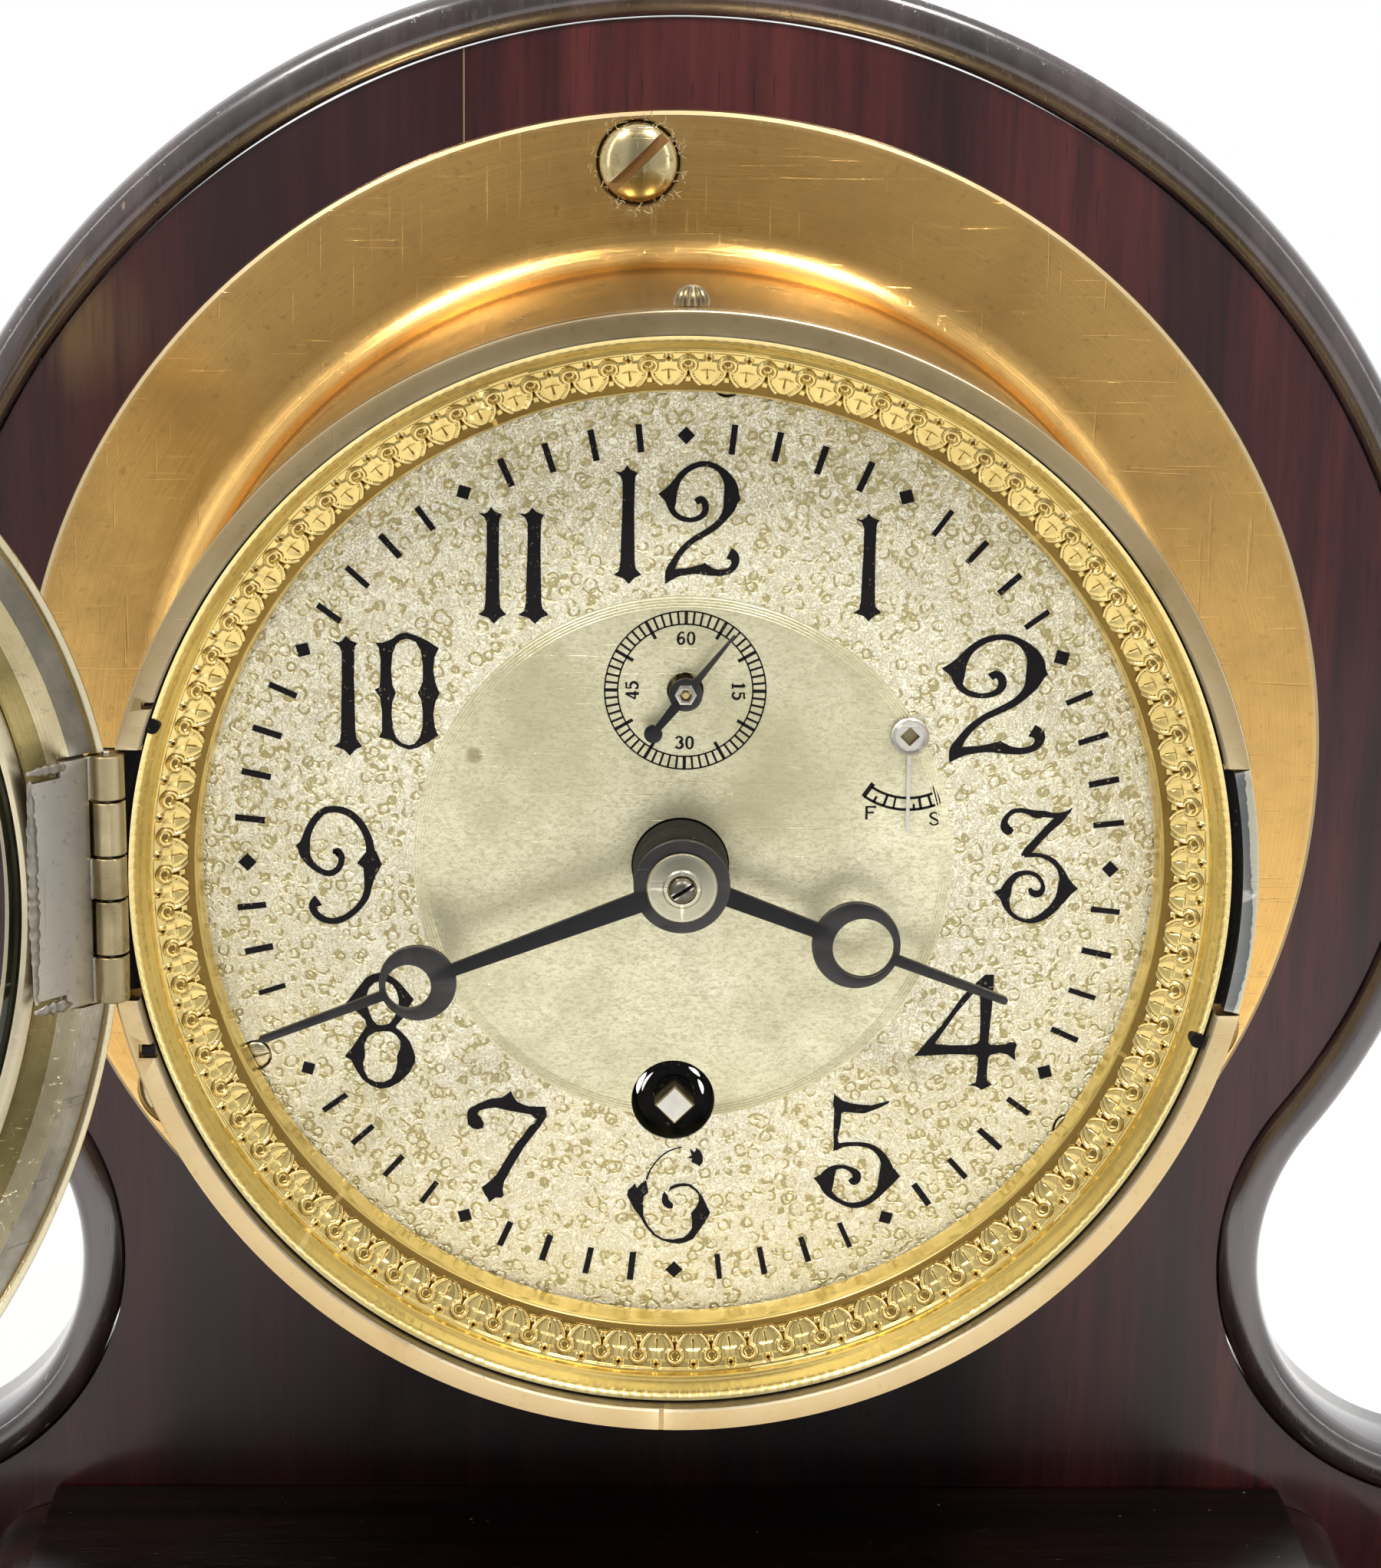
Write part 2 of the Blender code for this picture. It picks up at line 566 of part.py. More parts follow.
# Bezel, built closed over the dial and swung open on its hinge
def build_bezel():
    """The bezel ring with its glass, retaining ring, hinge leaf and pin."""
    hinge = (HINGE_X, HINGE_D, 0.0)
    swing = bpy.data.objects.new("bezel_swing", None)
    bpy.context.collection.objects.link(swing)
    swing.location = on_clock(*hinge)
    swing.rotation_euler = (0.0, 0.0, -math.radians(OPEN_ANGLE))

    seat_r = GLASS_R + 0.4
    lip_r = BEZEL_R - 1.1
    profile = ((BEZEL_R, BEZEL_BACK_D), (BEZEL_R, -16.5), (BEZEL_R - 1.2, -19.8), (BEZEL_R - 4.4, -22.0),
               (BEZEL_R - 8.4, -22.6), (GLASS_R - 2.0, -21.7), (GLASS_R - 2.6, GLASS_D - GAP),
               (seat_r, GLASS_D - GAP), (seat_r, -17.5), (BEZEL_R - 4.6, -13.9), (lip_r, -13.9),
               (lip_r, BEZEL_BACK_D))
    ring = make_piece("bezel_ring", turned(profile, LARGE), "silver_brass", hinge, swing)
    notch_z = (NOTCH_MID_Z - HINGE_NOTCH_HALF, NOTCH_MID_Z + HINGE_NOTCH_HALF)
    cut(ring, box((-BEZEL_R - 3.6, -17.2, notch_z[0]), (HINGE_X + 2.6, -11.0, notch_z[1])))
    cut(ring, box((HINGE_X + 0.6, -14.8, notch_z[0]), (HINGE_X + LEAF_REACH + 2.0, -11.0, notch_z[1])))

    glass = ((0.0, GLASS_D), (GLASS_R, GLASS_D), (GLASS_R, GLASS_D + GLASS_T), (0.0, GLASS_D + GLASS_T))
    make_piece("bezel_glass", turned(glass, LARGE), "glass", hinge, swing)
    keeper_d = GLASS_D + GLASS_T + GAP
    make_piece("glass_retaining_ring", tube(GLASS_R + 0.1, GLASS_R - 2.0, keeper_d, keeper_d + 1.2, segments=LARGE),
               "silver_brass", hinge, swing)

    leaf_z = (NOTCH_MID_Z - HINGE_NOTCH_HALF + 0.4, NOTCH_MID_Z + HINGE_NOTCH_HALF - 0.4)
    leaf = make_piece("hinge_bezel_leaf", box((HINGE_X + BARREL_R + GAP, -14.5, leaf_z[0]), (HINGE_X + LEAF_REACH, -13.6, leaf_z[1])),
                      "silver_brass", hinge, swing)
    for top, bottom, owner in KNUCKLES:
        if owner == "bezel":
            join(leaf, knuckle(top, bottom))
            join(leaf, box((HINGE_X + 0.4, -14.5, bottom + GAP / 2.0), (HINGE_X + 3.4, -13.6, top - GAP / 2.0)))
    cut(leaf, upright(PIN_R + GAP, -20.0, 25.0))
    pin = upright(PIN_R, KNUCKLES[-1][1] - 0.2, KNUCKLES[0][0] + 0.2, segments=8)
    make_piece("hinge_pin", pin, "steel")


# Dial and ring
def build_dial():
    """The dial plate with its screws, and the embossed ring round it."""
    holes = [circle(0.0, 0.0, PIPE_R + 0.4, 32), circle(SECONDS_X, SECONDS_Z, ARBOR_R + GAP, SMALL),
             circle(WINDING_X, WINDING_Z, WINDING_HOLE_R, MEDIUM), circle(REGULATOR_X, REGULATOR_Z, 1.5, SMALL)]
    for angle in LEDGE_SCREW_ANGLES:
        holes.append(circle(*polar(LEDGE_SCREW_RING_R, angle), 0.8 + GAP, SMALL))
    dial = make_piece("dial_plate", plate(circle(0.0, 0.0, DIAL_R, LARGE), 0.0, DIAL_T, holes), "silver_brass")
    sunk = ((0.0, -1.0), (DIAL_SCREW_HEAD_R + GAP, -1.0), (DIAL_SCREW_HEAD_R + GAP, DIAL_T - 0.45),
            (DIAL_SCREW_SHANK_R + GAP, DIAL_T - 0.45), (DIAL_SCREW_SHANK_R + GAP, DIAL_T + 1.0),
            (0.0, DIAL_T + 1.0))
    for radius, angle in DIAL_SCREWS:
        cut(dial, turned(sunk, 12, polar(radius, angle)))

    front = ((RING_OUT_R, -10.8), (RING_OUT_R - 1.3, -10.0), (RING_OUT_R - 2.1, -6.5), (RING_OUT_R - 4.4, -5.8),
             (RING_IN_R + 0.7, -4.1), (RING_IN_R + 0.1, -1.3), (RING_IN_R - 0.3, -GAP))
    back = ((RING_IN_R + 1.1, -GAP), (RING_IN_R + 1.4, -2.9), (RING_OUT_R - 1.9, -4.9), (RING_OUT_R, -8.5))
    ring = make_piece("ornament_ring", turned(front + back, LARGE), "silver_brass")
    for angle in (343.5, 162.9):
        cut(ring, disc(0.9, -12.0, -1.0, polar(RING_OUT_R - 0.4, angle), 12))

    for number, (radius, angle) in enumerate(DIAL_SCREWS, start=1):
        profile = ((0.0, -0.05), (DIAL_SCREW_HEAD_R - 0.1, -0.05), (DIAL_SCREW_HEAD_R, 0.05),
                   (DIAL_SCREW_HEAD_R, 0.45), (DIAL_SCREW_SHANK_R, 0.45), (DIAL_SCREW_SHANK_R, 4.5), (0.0, 4.5))
        add_screw("dial_screw_%d" % number, profile, polar(radius, angle), (3.0, 0.6), -0.05, 0.3, "steel", 12, 15.0)

    for number, angle in enumerate(LEDGE_SCREW_ANGLES, start=1):
        place = polar(LEDGE_SCREW_RING_R, angle)
        profile = ((0.0, -1.0), (1.2, -1.0), (1.2, -GAP), (0.8, -GAP), (0.8, 4.6), (0.0, 4.6))
        make_piece("ledge_screw_%d" % number, turned(profile, 12, place), "steel")
        cut(bpy.data.objects["case_drum"], disc(0.8 + GAP, 0.9, 5.6, place, 12))


def polar(radius, angle):
    """A place at a radius and an angle in degrees, counted from the right."""
    return (radius * math.cos(math.radians(angle)), radius * math.sin(math.radians(angle)))


# Hands
def clockwise(angle, along, aside=0.0):
    """A place along a hand that points at a clock angle, and to the right of its line."""
    a = math.radians(angle)
    return (along * math.sin(a) + aside * math.cos(a), along * math.cos(a) - aside * math.sin(a))


def ring_hand(angle, reach, ring_at, ring_r, eye_r, eye_shift, widths):
    """Outline and eye of a hand with a ring: a hub, a bar, the ring and a narrow tip."""
    root, neck, past, tip = widths
    hub_start = math.asin(root / 2.0 / HUB_R)
    near = math.asin(neck / 2.0 / ring_r)
    far = math.asin(past / 2.0 / ring_r)
    points = [(HUB_R * math.cos(a), HUB_R * math.sin(a))
              for a in spread(hub_start, 2.0 * math.pi - hub_start, 18)]
    points.append((ring_at - ring_r * math.cos(near), -neck / 2.0))
    points += [(ring_at + ring_r * math.cos(a), ring_r * math.sin(a))
               for a in spread(-math.pi + near, -far, 9)[1:]]
    points += [(reach, -tip / 2.0), (reach, tip / 2.0)]
    points += [(ring_at + ring_r * math.cos(a), ring_r * math.sin(a)) for a in spread(far, math.pi - near, 9)]
    outline = [clockwise(angle, along, aside) for along, aside in points]
    eye = circle(*clockwise(angle, ring_at + eye_shift), eye_r, 16)
    return outline, eye


def spread(start, end, count):
    """Evenly spaced values from start to end."""
    return [start + (end - start) * i / count for i in range(count + 1)]


def build_hands():
    """The hour, minute and seconds hands with the washer and the screw that hold them."""
    outline, eye = ring_hand(HOUR_ANGLE, 42.0, 22.4, 5.3, 3.65, 0.9, (2.2, 1.8, 1.3, 0.9))
    make_piece("hour_hand", plate(outline, -7.1, -6.1, [eye, circle(0.0, 0.0, CANNON_PIPE_R + GAP, 16)]),
               "blue_black_steel")
    outline, eye = ring_hand(MINUTE_ANGLE, 53.6, 33.4, 4.6, 2.7, 1.2, (2.5, 1.5, 1.2, 0.9))
    hand = plate(outline, -10.0, -9.2, [eye, circle(0.0, 0.0, CENTRE_ARBOR_R + GAP, 16)])
    make_piece("minute_hand", hand, "blue_black_steel")

    washer = ((CENTRE_ARBOR_R + GAP, -10.3), (CENTRE_ARBOR_R + GAP, -11.2), (HAND_WASHER_R - 0.6, -10.9),
              (HAND_WASHER_R, -10.5), (HAND_WASHER_R, -10.3))
    make_piece("hand_washer", turned(washer, 24), "silver_brass")
    screw = ((0.0, -12.4), (1.5, -12.2), (2.0, -11.8), (2.0, -11.5), (0.7, -11.5), (0.7, -9.6), (0.0, -9.6))
    add_screw("hand_screw", screw, (0.0, 0.0), (2.6, 0.5), -12.4, 0.55, "steel", 14, 32.0)

    seconds = [clockwise(SECONDS_ANGLE, along, aside) for along, aside in (
        [(9.2, 0.15), (1.9, 0.45)]
        + [(2.2 * math.cos(a), 2.2 * math.sin(a)) for a in spread(0.5, math.pi - 0.3, 6)]
        + [(-5.6, 0.5)] + [(-6.1 + math.cos(a), math.sin(a)) for a in spread(1.0, 2.0 * math.pi - 1.0, 7)]
        + [(-5.6, -0.5)]
        + [(2.2 * math.cos(a), 2.2 * math.sin(a)) for a in spread(math.pi + 0.3, 2.0 * math.pi - 0.5, 6)]
        + [(1.9, -0.45), (9.2, -0.15)])]
    seconds = [(SECONDS_X + x, SECONDS_Z + z) for x, z in seconds]
    make_piece("seconds_hand", plate(seconds, -2.6, -2.0, [circle(SECONDS_X, SECONDS_Z, 0.7, 12)]),
               "blue_black_steel")


# Movement
def gear(place, teeth, module, towards, mates=False):
    """Outline of a toothed wheel, with a tooth or, for the mate, a gap pointing at an angle in degrees."""
    pitch_r = teeth * module / 2.0
    root_r = pitch_r - 0.85 * module
    tip_r = pitch_r + 0.55 * module
    step = 2.0 * math.pi / teeth
    first = math.radians(towards) + (step / 2.0 if mates else 0.0)
    points = []
    for i in range(teeth):
        middle = first + i * step
        for radius, share in ((root_r, -0.21), (tip_r, 0.0), (root_r, 0.21)):
            points.append((place[0] + radius * math.cos(middle + share * step),
                           place[1] + radius * math.sin(middle + share * step)))
    return points


def direction(start, end):
    """Angle in degrees from one place to another."""
    return math.degrees(math.atan2(end[1] - start[1], end[0] - start[0]))


def beside(place, distance, angle):
    """A place at a distance and an angle in degrees from another."""
    return (place[0] + distance * math.cos(math.radians(angle)),
            place[1] + distance * math.sin(math.radians(angle)))


def mesh_distance(wheel, pinion, module):
    """Distance between the arbors of a wheel and the pinion that it drives."""
    return (wheel + pinion) * module / 2.0


CENTRE = (0.0, 0.0)
WINDING = (WINDING_X, WINDING_Z)
FOURTH = (SECONDS_X, SECONDS_Z)
BALANCE = (REGULATOR_X, REGULATOR_Z)
THIRD_FROM_CENTRE = mesh_distance(CENTRE_TEETH, PINION_LEAVES, CENTRE_MODULE)
THIRD_FROM_FOURTH = mesh_distance(THIRD_TEETH, PINION_LEAVES, THIRD_MODULE)
THIRD = min((meet(CENTRE, THIRD_FROM_CENTRE, FOURTH, THIRD_FROM_FOURTH, upper) for upper in (True, False)),
            key=lambda place: place[0])
ESCAPE = beside(FOURTH, mesh_distance(FOURTH_TEETH, PINION_LEAVES, FOURTH_MODULE), ESCAPE_DIRECTION)
HOUR_MODULE = MOTION_MODULE * (CANNON_TEETH + MINUTE_TEETH) / (MINUTE_LEAVES + HOUR_TEETH)
MINUTE_WHEEL = beside(CENTRE, mesh_distance(CANNON_TEETH, MINUTE_TEETH, MOTION_MODULE), MINUTE_WHEEL_DIRECTION)
GREAT_MODULE = 2.0 * math.hypot(*WINDING) / (GREAT_TEETH + PINION_LEAVES)
LEVER_FROM_ESCAPE = 7.6
LEVER = beside(ESCAPE, LEVER_FROM_ESCAPE, direction(ESCAPE, BALANCE))


def arbor(radius, d0, d1, place, pivot_r=0.6):
    """An arbor between the plates, with a thinner pivot in each."""
    return turned(((0.0, d0), (pivot_r, d0), (pivot_r, FRONT_PLATE_D + PLATE_T + GAP),
                   (radius, FRONT_PLATE_D + PLATE_T + GAP), (radius, REAR_PLATE_D - GAP),
                   (pivot_r, REAR_PLATE_D - GAP), (pivot_r, d1), (0.0, d1)), SMALL, place)


def add_arbor_wheel(name, shaft, place, *toothed):
    """Make a wheel with its arbor and pinion as one piece that turns about its arbor."""
    piece = make_piece(name, shaft, "movement_brass", (place[0], 0.0, place[1]))
    for bm in toothed:
        join(piece, bm)
    return piece


def build_plates():
    """The two plates of the movement, the pillars between them, and the balance cock."""
    front_holes = [(CENTRE, CENTRE_ARBOR_R), (WINDING, WINDING_R), (FOURTH, 0.9), (THIRD, 0.6), (ESCAPE, 0.6),
                   (MINUTE_WHEEL, 0.6), (LEVER, 0.6), (BALANCE, 1.2)]
    rear_holes = [(CENTRE, 0.9), (WINDING, 1.8), (FOURTH, 0.6), (THIRD, 0.6), (ESCAPE, 0.6), (LEVER, 0.6),
                  (BALANCE, 0.6)]
    pillars = [polar(PILLAR_RING_R, angle) for angle in PILLAR_ANGLES]
    for name, d, holes in (("movement_front_plate", FRONT_PLATE_D, front_holes),
                           ("movement_rear_plate", REAR_PLATE_D, rear_holes)):
        loops = [circle(*place, radius + GAP, SMALL) for place, radius in holes]
        loops += [circle(*place, PILLAR_END_R + GAP, SMALL) for place in pillars]
        made = make_piece(name, plate(circle(0.0, 0.0, PLATE_R, 48), d, d + PLATE_T, loops), "movement_brass")
        if name == "movement_front_plate":
            for radius, angle in DIAL_SCREWS:
                join(made, disc(DIAL_POST_R, DIAL_T + GAP, d + 0.4, polar(radius, angle), 16))
                cut(made, disc(DIAL_SCREW_SHANK_R + GAP, 0.0, 4.5 + GAP, polar(radius, angle), 12))
    low = FRONT_PLATE_D + PLATE_T + GAP
    high = REAR_PLATE_D - GAP
    for number, place in enumerate(pillars, start=1):
        profile = ((0.0, FRONT_PLATE_D), (PILLAR_END_R, FRONT_PLATE_D), (PILLAR_END_R, low), (PILLAR_R, low),
                   (PILLAR_R, high), (PILLAR_END_R, high),
                   (PILLAR_END_R, REAR_PLATE_D + PLATE_T), (0.0, REAR_PLATE_D + PLATE_T))
        make_piece("pillar_%d" % number, turned(profile, 12, place), "movement_brass")

    foot = beside(BALANCE, COCK_REACH, COCK_DIRECTION)
    half = 2.4
    side = math.radians(COCK_DIRECTION)
    arm = [(BALANCE[0] + 3.0 * math.cos(a), BALANCE[1] + 3.0 * math.sin(a))
           for a in spread(side + 0.9, side + 2.0 * math.pi - 0.9, 10)]
    arm += [(foot[0] + 3.8 * math.cos(a), foot[1] + 3.8 * math.sin(a))
            for a in spread(side - math.pi + 0.7, side + math.pi - 0.7, 10)]
    cock = make_piece("balance_cock", plate(arm, COCK_D, COCK_D + 1.2), "movement_brass")
    join(cock, disc(3.8, low, COCK_D + 1.2, foot, 16))
    stud = beside(BALANCE, SPRING_OUT_R + 0.9, SPRING_END)
    join(cock, plate(bar(beside(BALANCE, 1.5, SPRING_END), stud, half / 4.0), COCK_D + 0.1, COCK_D + 1.1))
    join(cock, disc(0.4, COCK_D + 0.5, SPRING_D + 0.8, stud, 8))
    cut(cock, disc(0.6 + GAP, COCK_D - 1.0, COCK_D + 3.0, BALANCE, SMALL))


def bar(start, end, half):
    """Outline of a straight bar between two places."""
    a = math.atan2(end[1] - start[1], end[0] - start[0])
    ux, uz = -math.sin(a) * half, math.cos(a) * half
    return [(start[0] + ux, start[1] + uz), (start[0] - ux, start[1] - uz), (end[0] - ux, end[1] - uz),
            (end[0] + ux, end[1] + uz)]


def spiral(place, in_r, out_r, turns, end, count, thick, d0, d1):
    """A flat spiral spring of rectangular section, ending outside at an angle in degrees."""
    rows = []
    steps = int(turns * count)
    for i in range(steps + 1):
        share = i / steps
        a = math.radians(end) - 2.0 * math.pi * turns * (1.0 - share)
        radius = in_r + (out_r - in_r) * share
        rows.append([(place[0] + (radius + side) * math.cos(a), d, place[1] + (radius + side) * math.sin(a))
                     for side, d in ((-thick / 2.0, d0), (thick / 2.0, d0), (thick / 2.0, d1), (-thick / 2.0, d1))])
    return skinned(rows)


def build_train():
    """The mainspring barrel, the going train, the escapement and the balance."""
    drum = ((BARREL_BORE_R, 12.0), (BARREL_DRUM_R, 12.0), (BARREL_DRUM_R, 27.5), (BARREL_DRUM_R - 1.5, 27.5),
            (BARREL_DRUM_R - 1.5, 13.5), (BARREL_BORE_R, 13.5))
    barrel = make_piece("mainspring_barrel", turned(drum, 24, WINDING), "movement_brass",
                        (WINDING[0], 0.0, WINDING[1]))
    teeth = gear(WINDING, GREAT_TEETH, GREAT_MODULE, direction(WINDING, CENTRE))
    join(barrel, plate(teeth, 25.9, 27.5, [circle(*WINDING, BARREL_DRUM_R - 0.9, 24)]))
    make_piece("barrel_cover", tube(BARREL_DRUM_R - 1.8, BARREL_BORE_R, 26.3, 27.3, WINDING, 24),
               "movement_brass", (WINDING[0], 0.0, WINDING[1]))
    make_piece("mainspring", spiral(WINDING, 4.6, 19.4, 5, 90.0, 12, 0.5, 14.0, 25.8), "steel",
               (WINDING[0], 0.0, WINDING[1]))

    shaft = turned(((0.0, 6.1), (WINDING_R, 6.1), (WINDING_R, 28.6), (1.8, 28.6), (1.8, REAR_PLATE_D + PLATE_T),
                    (0.0, REAR_PLATE_D + PLATE_T)), 16, WINDING)
    winding = make_piece("winding_arbor", shaft, "steel", (WINDING[0], 0.0, WINDING[1]))
    square = circle(*WINDING, SQUARE_CORNER_R, 4)
    join(winding, plate(square, -1.0, 6.6))
    ratchet = []
    for i in range(RATCHET_TEETH):
        a = 2.0 * math.pi * i / RATCHET_TEETH
        ratchet.append(beside(WINDING, RATCHET_R, math.degrees(a)))
        ratchet.append(beside(WINDING, RATCHET_R - 1.3, math.degrees(a) + 3.0))
    wide = circle(*WINDING, SQUARE_CORNER_R + 0.42, 4)
    make_piece("ratchet_wheel", plate(ratchet, RATCHET_D, RATCHET_D + WHEEL_T, [wide]), "steel",
               (WINDING[0], 0.0, WINDING[1]))
    pivot = click_place()
    pawl = bar(beside(pivot, 2.0, CLICK_POINTS), beside(pivot, 5.6, CLICK_POINTS), 0.8)
    click = make_piece("click", disc(1.9, RATCHET_D, RATCHET_D + WHEEL_T, pivot, 16), "steel",
                       (pivot[0], 0.0, pivot[1]))
    join(click, plate(bar(beside(pivot, 1.0, CLICK_POINTS), pawl[2], 0.7), RATCHET_D + 0.1, RATCHET_D + 1.1))
    cut(click, disc(0.9 + GAP, RATCHET_D - 1.0, RATCHET_D + 3.0, pivot, SMALL))
    post = ((0.0, RATCHET_D - 0.6), (1.6, RATCHET_D - 0.6), (1.6, RATCHET_D - GAP), (0.9, RATCHET_D - GAP),
            (0.9, FRONT_PLATE_D - GAP), (0.0, FRONT_PLATE_D - GAP))
    make_piece("click_screw", turned(post, 12, pivot), "steel")

    shaft = turned(((0.0, -9.3), (1.0, -9.3), (1.0, -11.2), (CENTRE_ARBOR_R, -11.2), (CENTRE_ARBOR_R, 29.0),
                    (0.9, 29.0), (0.9, REAR_PLATE_D + PLATE_T), (0.0, REAR_PLATE_D + PLATE_T)), 12)
    add_arbor_wheel("centre_wheel", shaft, CENTRE,
                    plate(gear(CENTRE, PINION_LEAVES, GREAT_MODULE, direction(CENTRE, WINDING), True), 25.6, 27.8),
                    plate(gear(CENTRE, CENTRE_TEETH, CENTRE_MODULE, direction(CENTRE, THIRD)), 10.0, 11.2))
    add_arbor_wheel("third_wheel", arbor(ARBOR_R, FRONT_PLATE_D, REAR_PLATE_D + PLATE_T, THIRD), THIRD,
                    plate(gear(THIRD, PINION_LEAVES, CENTRE_MODULE, direction(THIRD, CENTRE), True), 9.4, 11.8),
                    plate(gear(THIRD, THIRD_TEETH, THIRD_MODULE, direction(THIRD, FOURTH)), 14.0, 15.2))
    shaft = turned(((0.0, -2.9), (0.4, -2.9), (0.4, -1.7), (0.9, -1.7), (0.9, 9.0), (ARBOR_R, 9.0),
                    (ARBOR_R, 29.7), (0.6, 29.7), (0.6, REAR_PLATE_D + PLATE_T), (0.0, REAR_PLATE_D + PLATE_T)),
                   SMALL, FOURTH)
    add_arbor_wheel("fourth_wheel", shaft, FOURTH,
                    plate(gear(FOURTH, PINION_LEAVES, THIRD_MODULE, direction(FOURTH, THIRD), True), 13.4, 15.8),
                    plate(gear(FOURTH, FOURTH_TEETH, FOURTH_MODULE, direction(FOURTH, ESCAPE)), 18.0, 19.2))
    teeth = []
    for i in range(ESCAPE_TEETH):
        a = 360.0 * i / ESCAPE_TEETH
        teeth.append(beside(ESCAPE, ESCAPE_R, a))
        teeth.append(beside(ESCAPE, ESCAPE_R - 0.2, a + 3.0))
        teeth.append(beside(ESCAPE, ESCAPE_R - 2.0, a + 9.0))
    add_arbor_wheel("escape_wheel", arbor(0.8, FRONT_PLATE_D, REAR_PLATE_D + PLATE_T, ESCAPE), ESCAPE,
                    plate(gear(ESCAPE, PINION_LEAVES, FOURTH_MODULE, direction(ESCAPE, FOURTH), True), 17.4, 19.8),
                    plate(teeth, 22.0, 22.8))

    line = direction(ESCAPE, BALANCE)
    across = bar(beside(LEVER, 4.8, line + 90.0), beside(LEVER, 4.8, line - 90.0), 0.6)
    lever = add_arbor_wheel("pallet_lever", arbor(0.7, FRONT_PLATE_D, REAR_PLATE_D + PLATE_T, LEVER), LEVER,
                            plate(across, 21.9, 22.7),
                            plate(bar(LEVER, beside(LEVER, 8.0, line), 0.45), 22.0, 22.6))
    for side in (-1.0, 1.0):
        root = beside(LEVER, 4.3, line + 90.0 * side)
        join(lever, plate(bar(root, beside(root, 1.4, line + 180.0), 0.4), 22.0, 22.8))

    rim = ((BALANCE_R - 1.4, 14.0), (BALANCE_R, 14.0), (BALANCE_R, 15.5), (BALANCE_R - 1.4, 15.5))
    staff = turned(((0.0, COCK_D), (0.6, COCK_D), (0.6, 12.1), (0.8, 12.1), (0.8, 21.9), (1.6, 21.9),
                    (1.6, 22.7), (0.8, 22.7), (0.8, 29.7), (0.6, 29.7), (0.6, REAR_PLATE_D + PLATE_T),
                    (0.0, REAR_PLATE_D + PLATE_T)), SMALL, BALANCE)
    spokes = bar(beside(BALANCE, BALANCE_R - 0.7, 20.0), beside(BALANCE, BALANCE_R - 0.7, 200.0), 0.8)
    add_arbor_wheel("balance_wheel", staff, BALANCE, plate(spokes, 14.2, 15.3), turned(rim, 24, BALANCE))
    make_piece("hairspring", spiral(BALANCE, 1.6, SPRING_OUT_R, SPRING_TURNS, SPRING_END, 12, 0.2,
                                    SPRING_D, SPRING_D + 0.7), "blue_black_steel", (BALANCE[0], 0.0, BALANCE[1]))


def click_place():
    """Where the click pivots, beside the ratchet wheel."""
    return beside(WINDING, RATCHET_R + 3.6, CLICK_AT)


def build_motion_work():
    """The cannon pinion, minute wheel and hour wheel behind the dial, and the regulator."""
    pipe = tube(CANNON_PIPE_R, CENTRE_ARBOR_R + GAP, -8.9, 6.2, segments=16)
    cannon = make_piece("cannon_pinion", pipe, "steel")
    hole = circle(0.0, 0.0, CENTRE_ARBOR_R + GAP + 0.3, 16)
    join(cannon, plate(gear(CENTRE, CANNON_TEETH, MOTION_MODULE, MINUTE_WHEEL_DIRECTION), 4.7, 6.2, [hole]))
    shaft = turned(((0.0, 1.6), (1.0, 1.6), (1.0, 6.4), (0.6, 6.4), (0.6, 8.4), (0.0, 8.4)), SMALL, MINUTE_WHEEL)
    add_arbor_wheel("minute_wheel", shaft, MINUTE_WHEEL,
                    plate(gear(MINUTE_WHEEL, MINUTE_TEETH, MOTION_MODULE, MINUTE_WHEEL_DIRECTION + 180.0, True),
                          4.7, 5.9),
                    plate(gear(MINUTE_WHEEL, MINUTE_LEAVES, HOUR_MODULE, MINUTE_WHEEL_DIRECTION + 180.0, True),
                          1.9, 4.9))
    pipe = tube(PIPE_R, CANNON_PIPE_R + GAP, -5.8, 2.4, segments=MEDIUM)
    hour = make_piece("hour_wheel", pipe, "movement_brass")
    hole = circle(0.0, 0.0, CANNON_PIPE_R + 1.0, MEDIUM)
    join(hour, plate(gear(CENTRE, HOUR_TEETH, HOUR_MODULE, MINUTE_WHEEL_DIRECTION), 2.0, 3.2, [hole]))

    place = (REGULATOR_X, REGULATOR_Z)
    regulator = make_piece("regulator_index", disc(1.2, -0.9, 9.4, place, 12), "blue_black_steel",
                           (place[0], 0.0, place[1]))
    join(regulator, disc(2.3, -1.2, -0.3, place, 24))
    needle = [(place[0] + x, place[1] - y) for x, y in ((-0.45, 1.5), (0.45, 1.5), (0.15, 12.0), (-0.15, 12.0))]
    join(regulator, plate(needle, -0.9, -0.4))
    curb = CURB_DIRECTION
    join(regulator, plate(bar(beside(place, 0.5, curb), beside(place, SPRING_OUT_R + 0.9, curb), 0.55), 9.0, 9.8))
    middle = SPRING_OUT_R - (SPRING_OUT_R - 1.6) * (SPRING_END - curb) / 360.0 / SPRING_TURNS
    for side in (-CURB_HALF, CURB_HALF):
        join(regulator, disc(0.22, 9.3, SPRING_D + 0.9, beside(place, middle + side, curb), 8))


def build():
    """Clear the scene and build the whole clock."""
    for old in list(bpy.data.objects):
        bpy.data.objects.remove(old)
    build_stand()
    build_case()
    build_bezel()
    build_dial()
    build_hands()
    build_plates()
    build_train()
    build_motion_work()
    bpy.context.view_layer.update()


build()
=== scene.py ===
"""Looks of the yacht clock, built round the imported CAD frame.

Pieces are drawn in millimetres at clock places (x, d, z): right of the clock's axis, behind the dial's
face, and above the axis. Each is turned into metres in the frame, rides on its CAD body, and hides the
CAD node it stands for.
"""
from __future__ import annotations

import logging
import math
import random
from collections.abc import Callable, Sequence
from dataclasses import dataclass, field
from enum import Enum

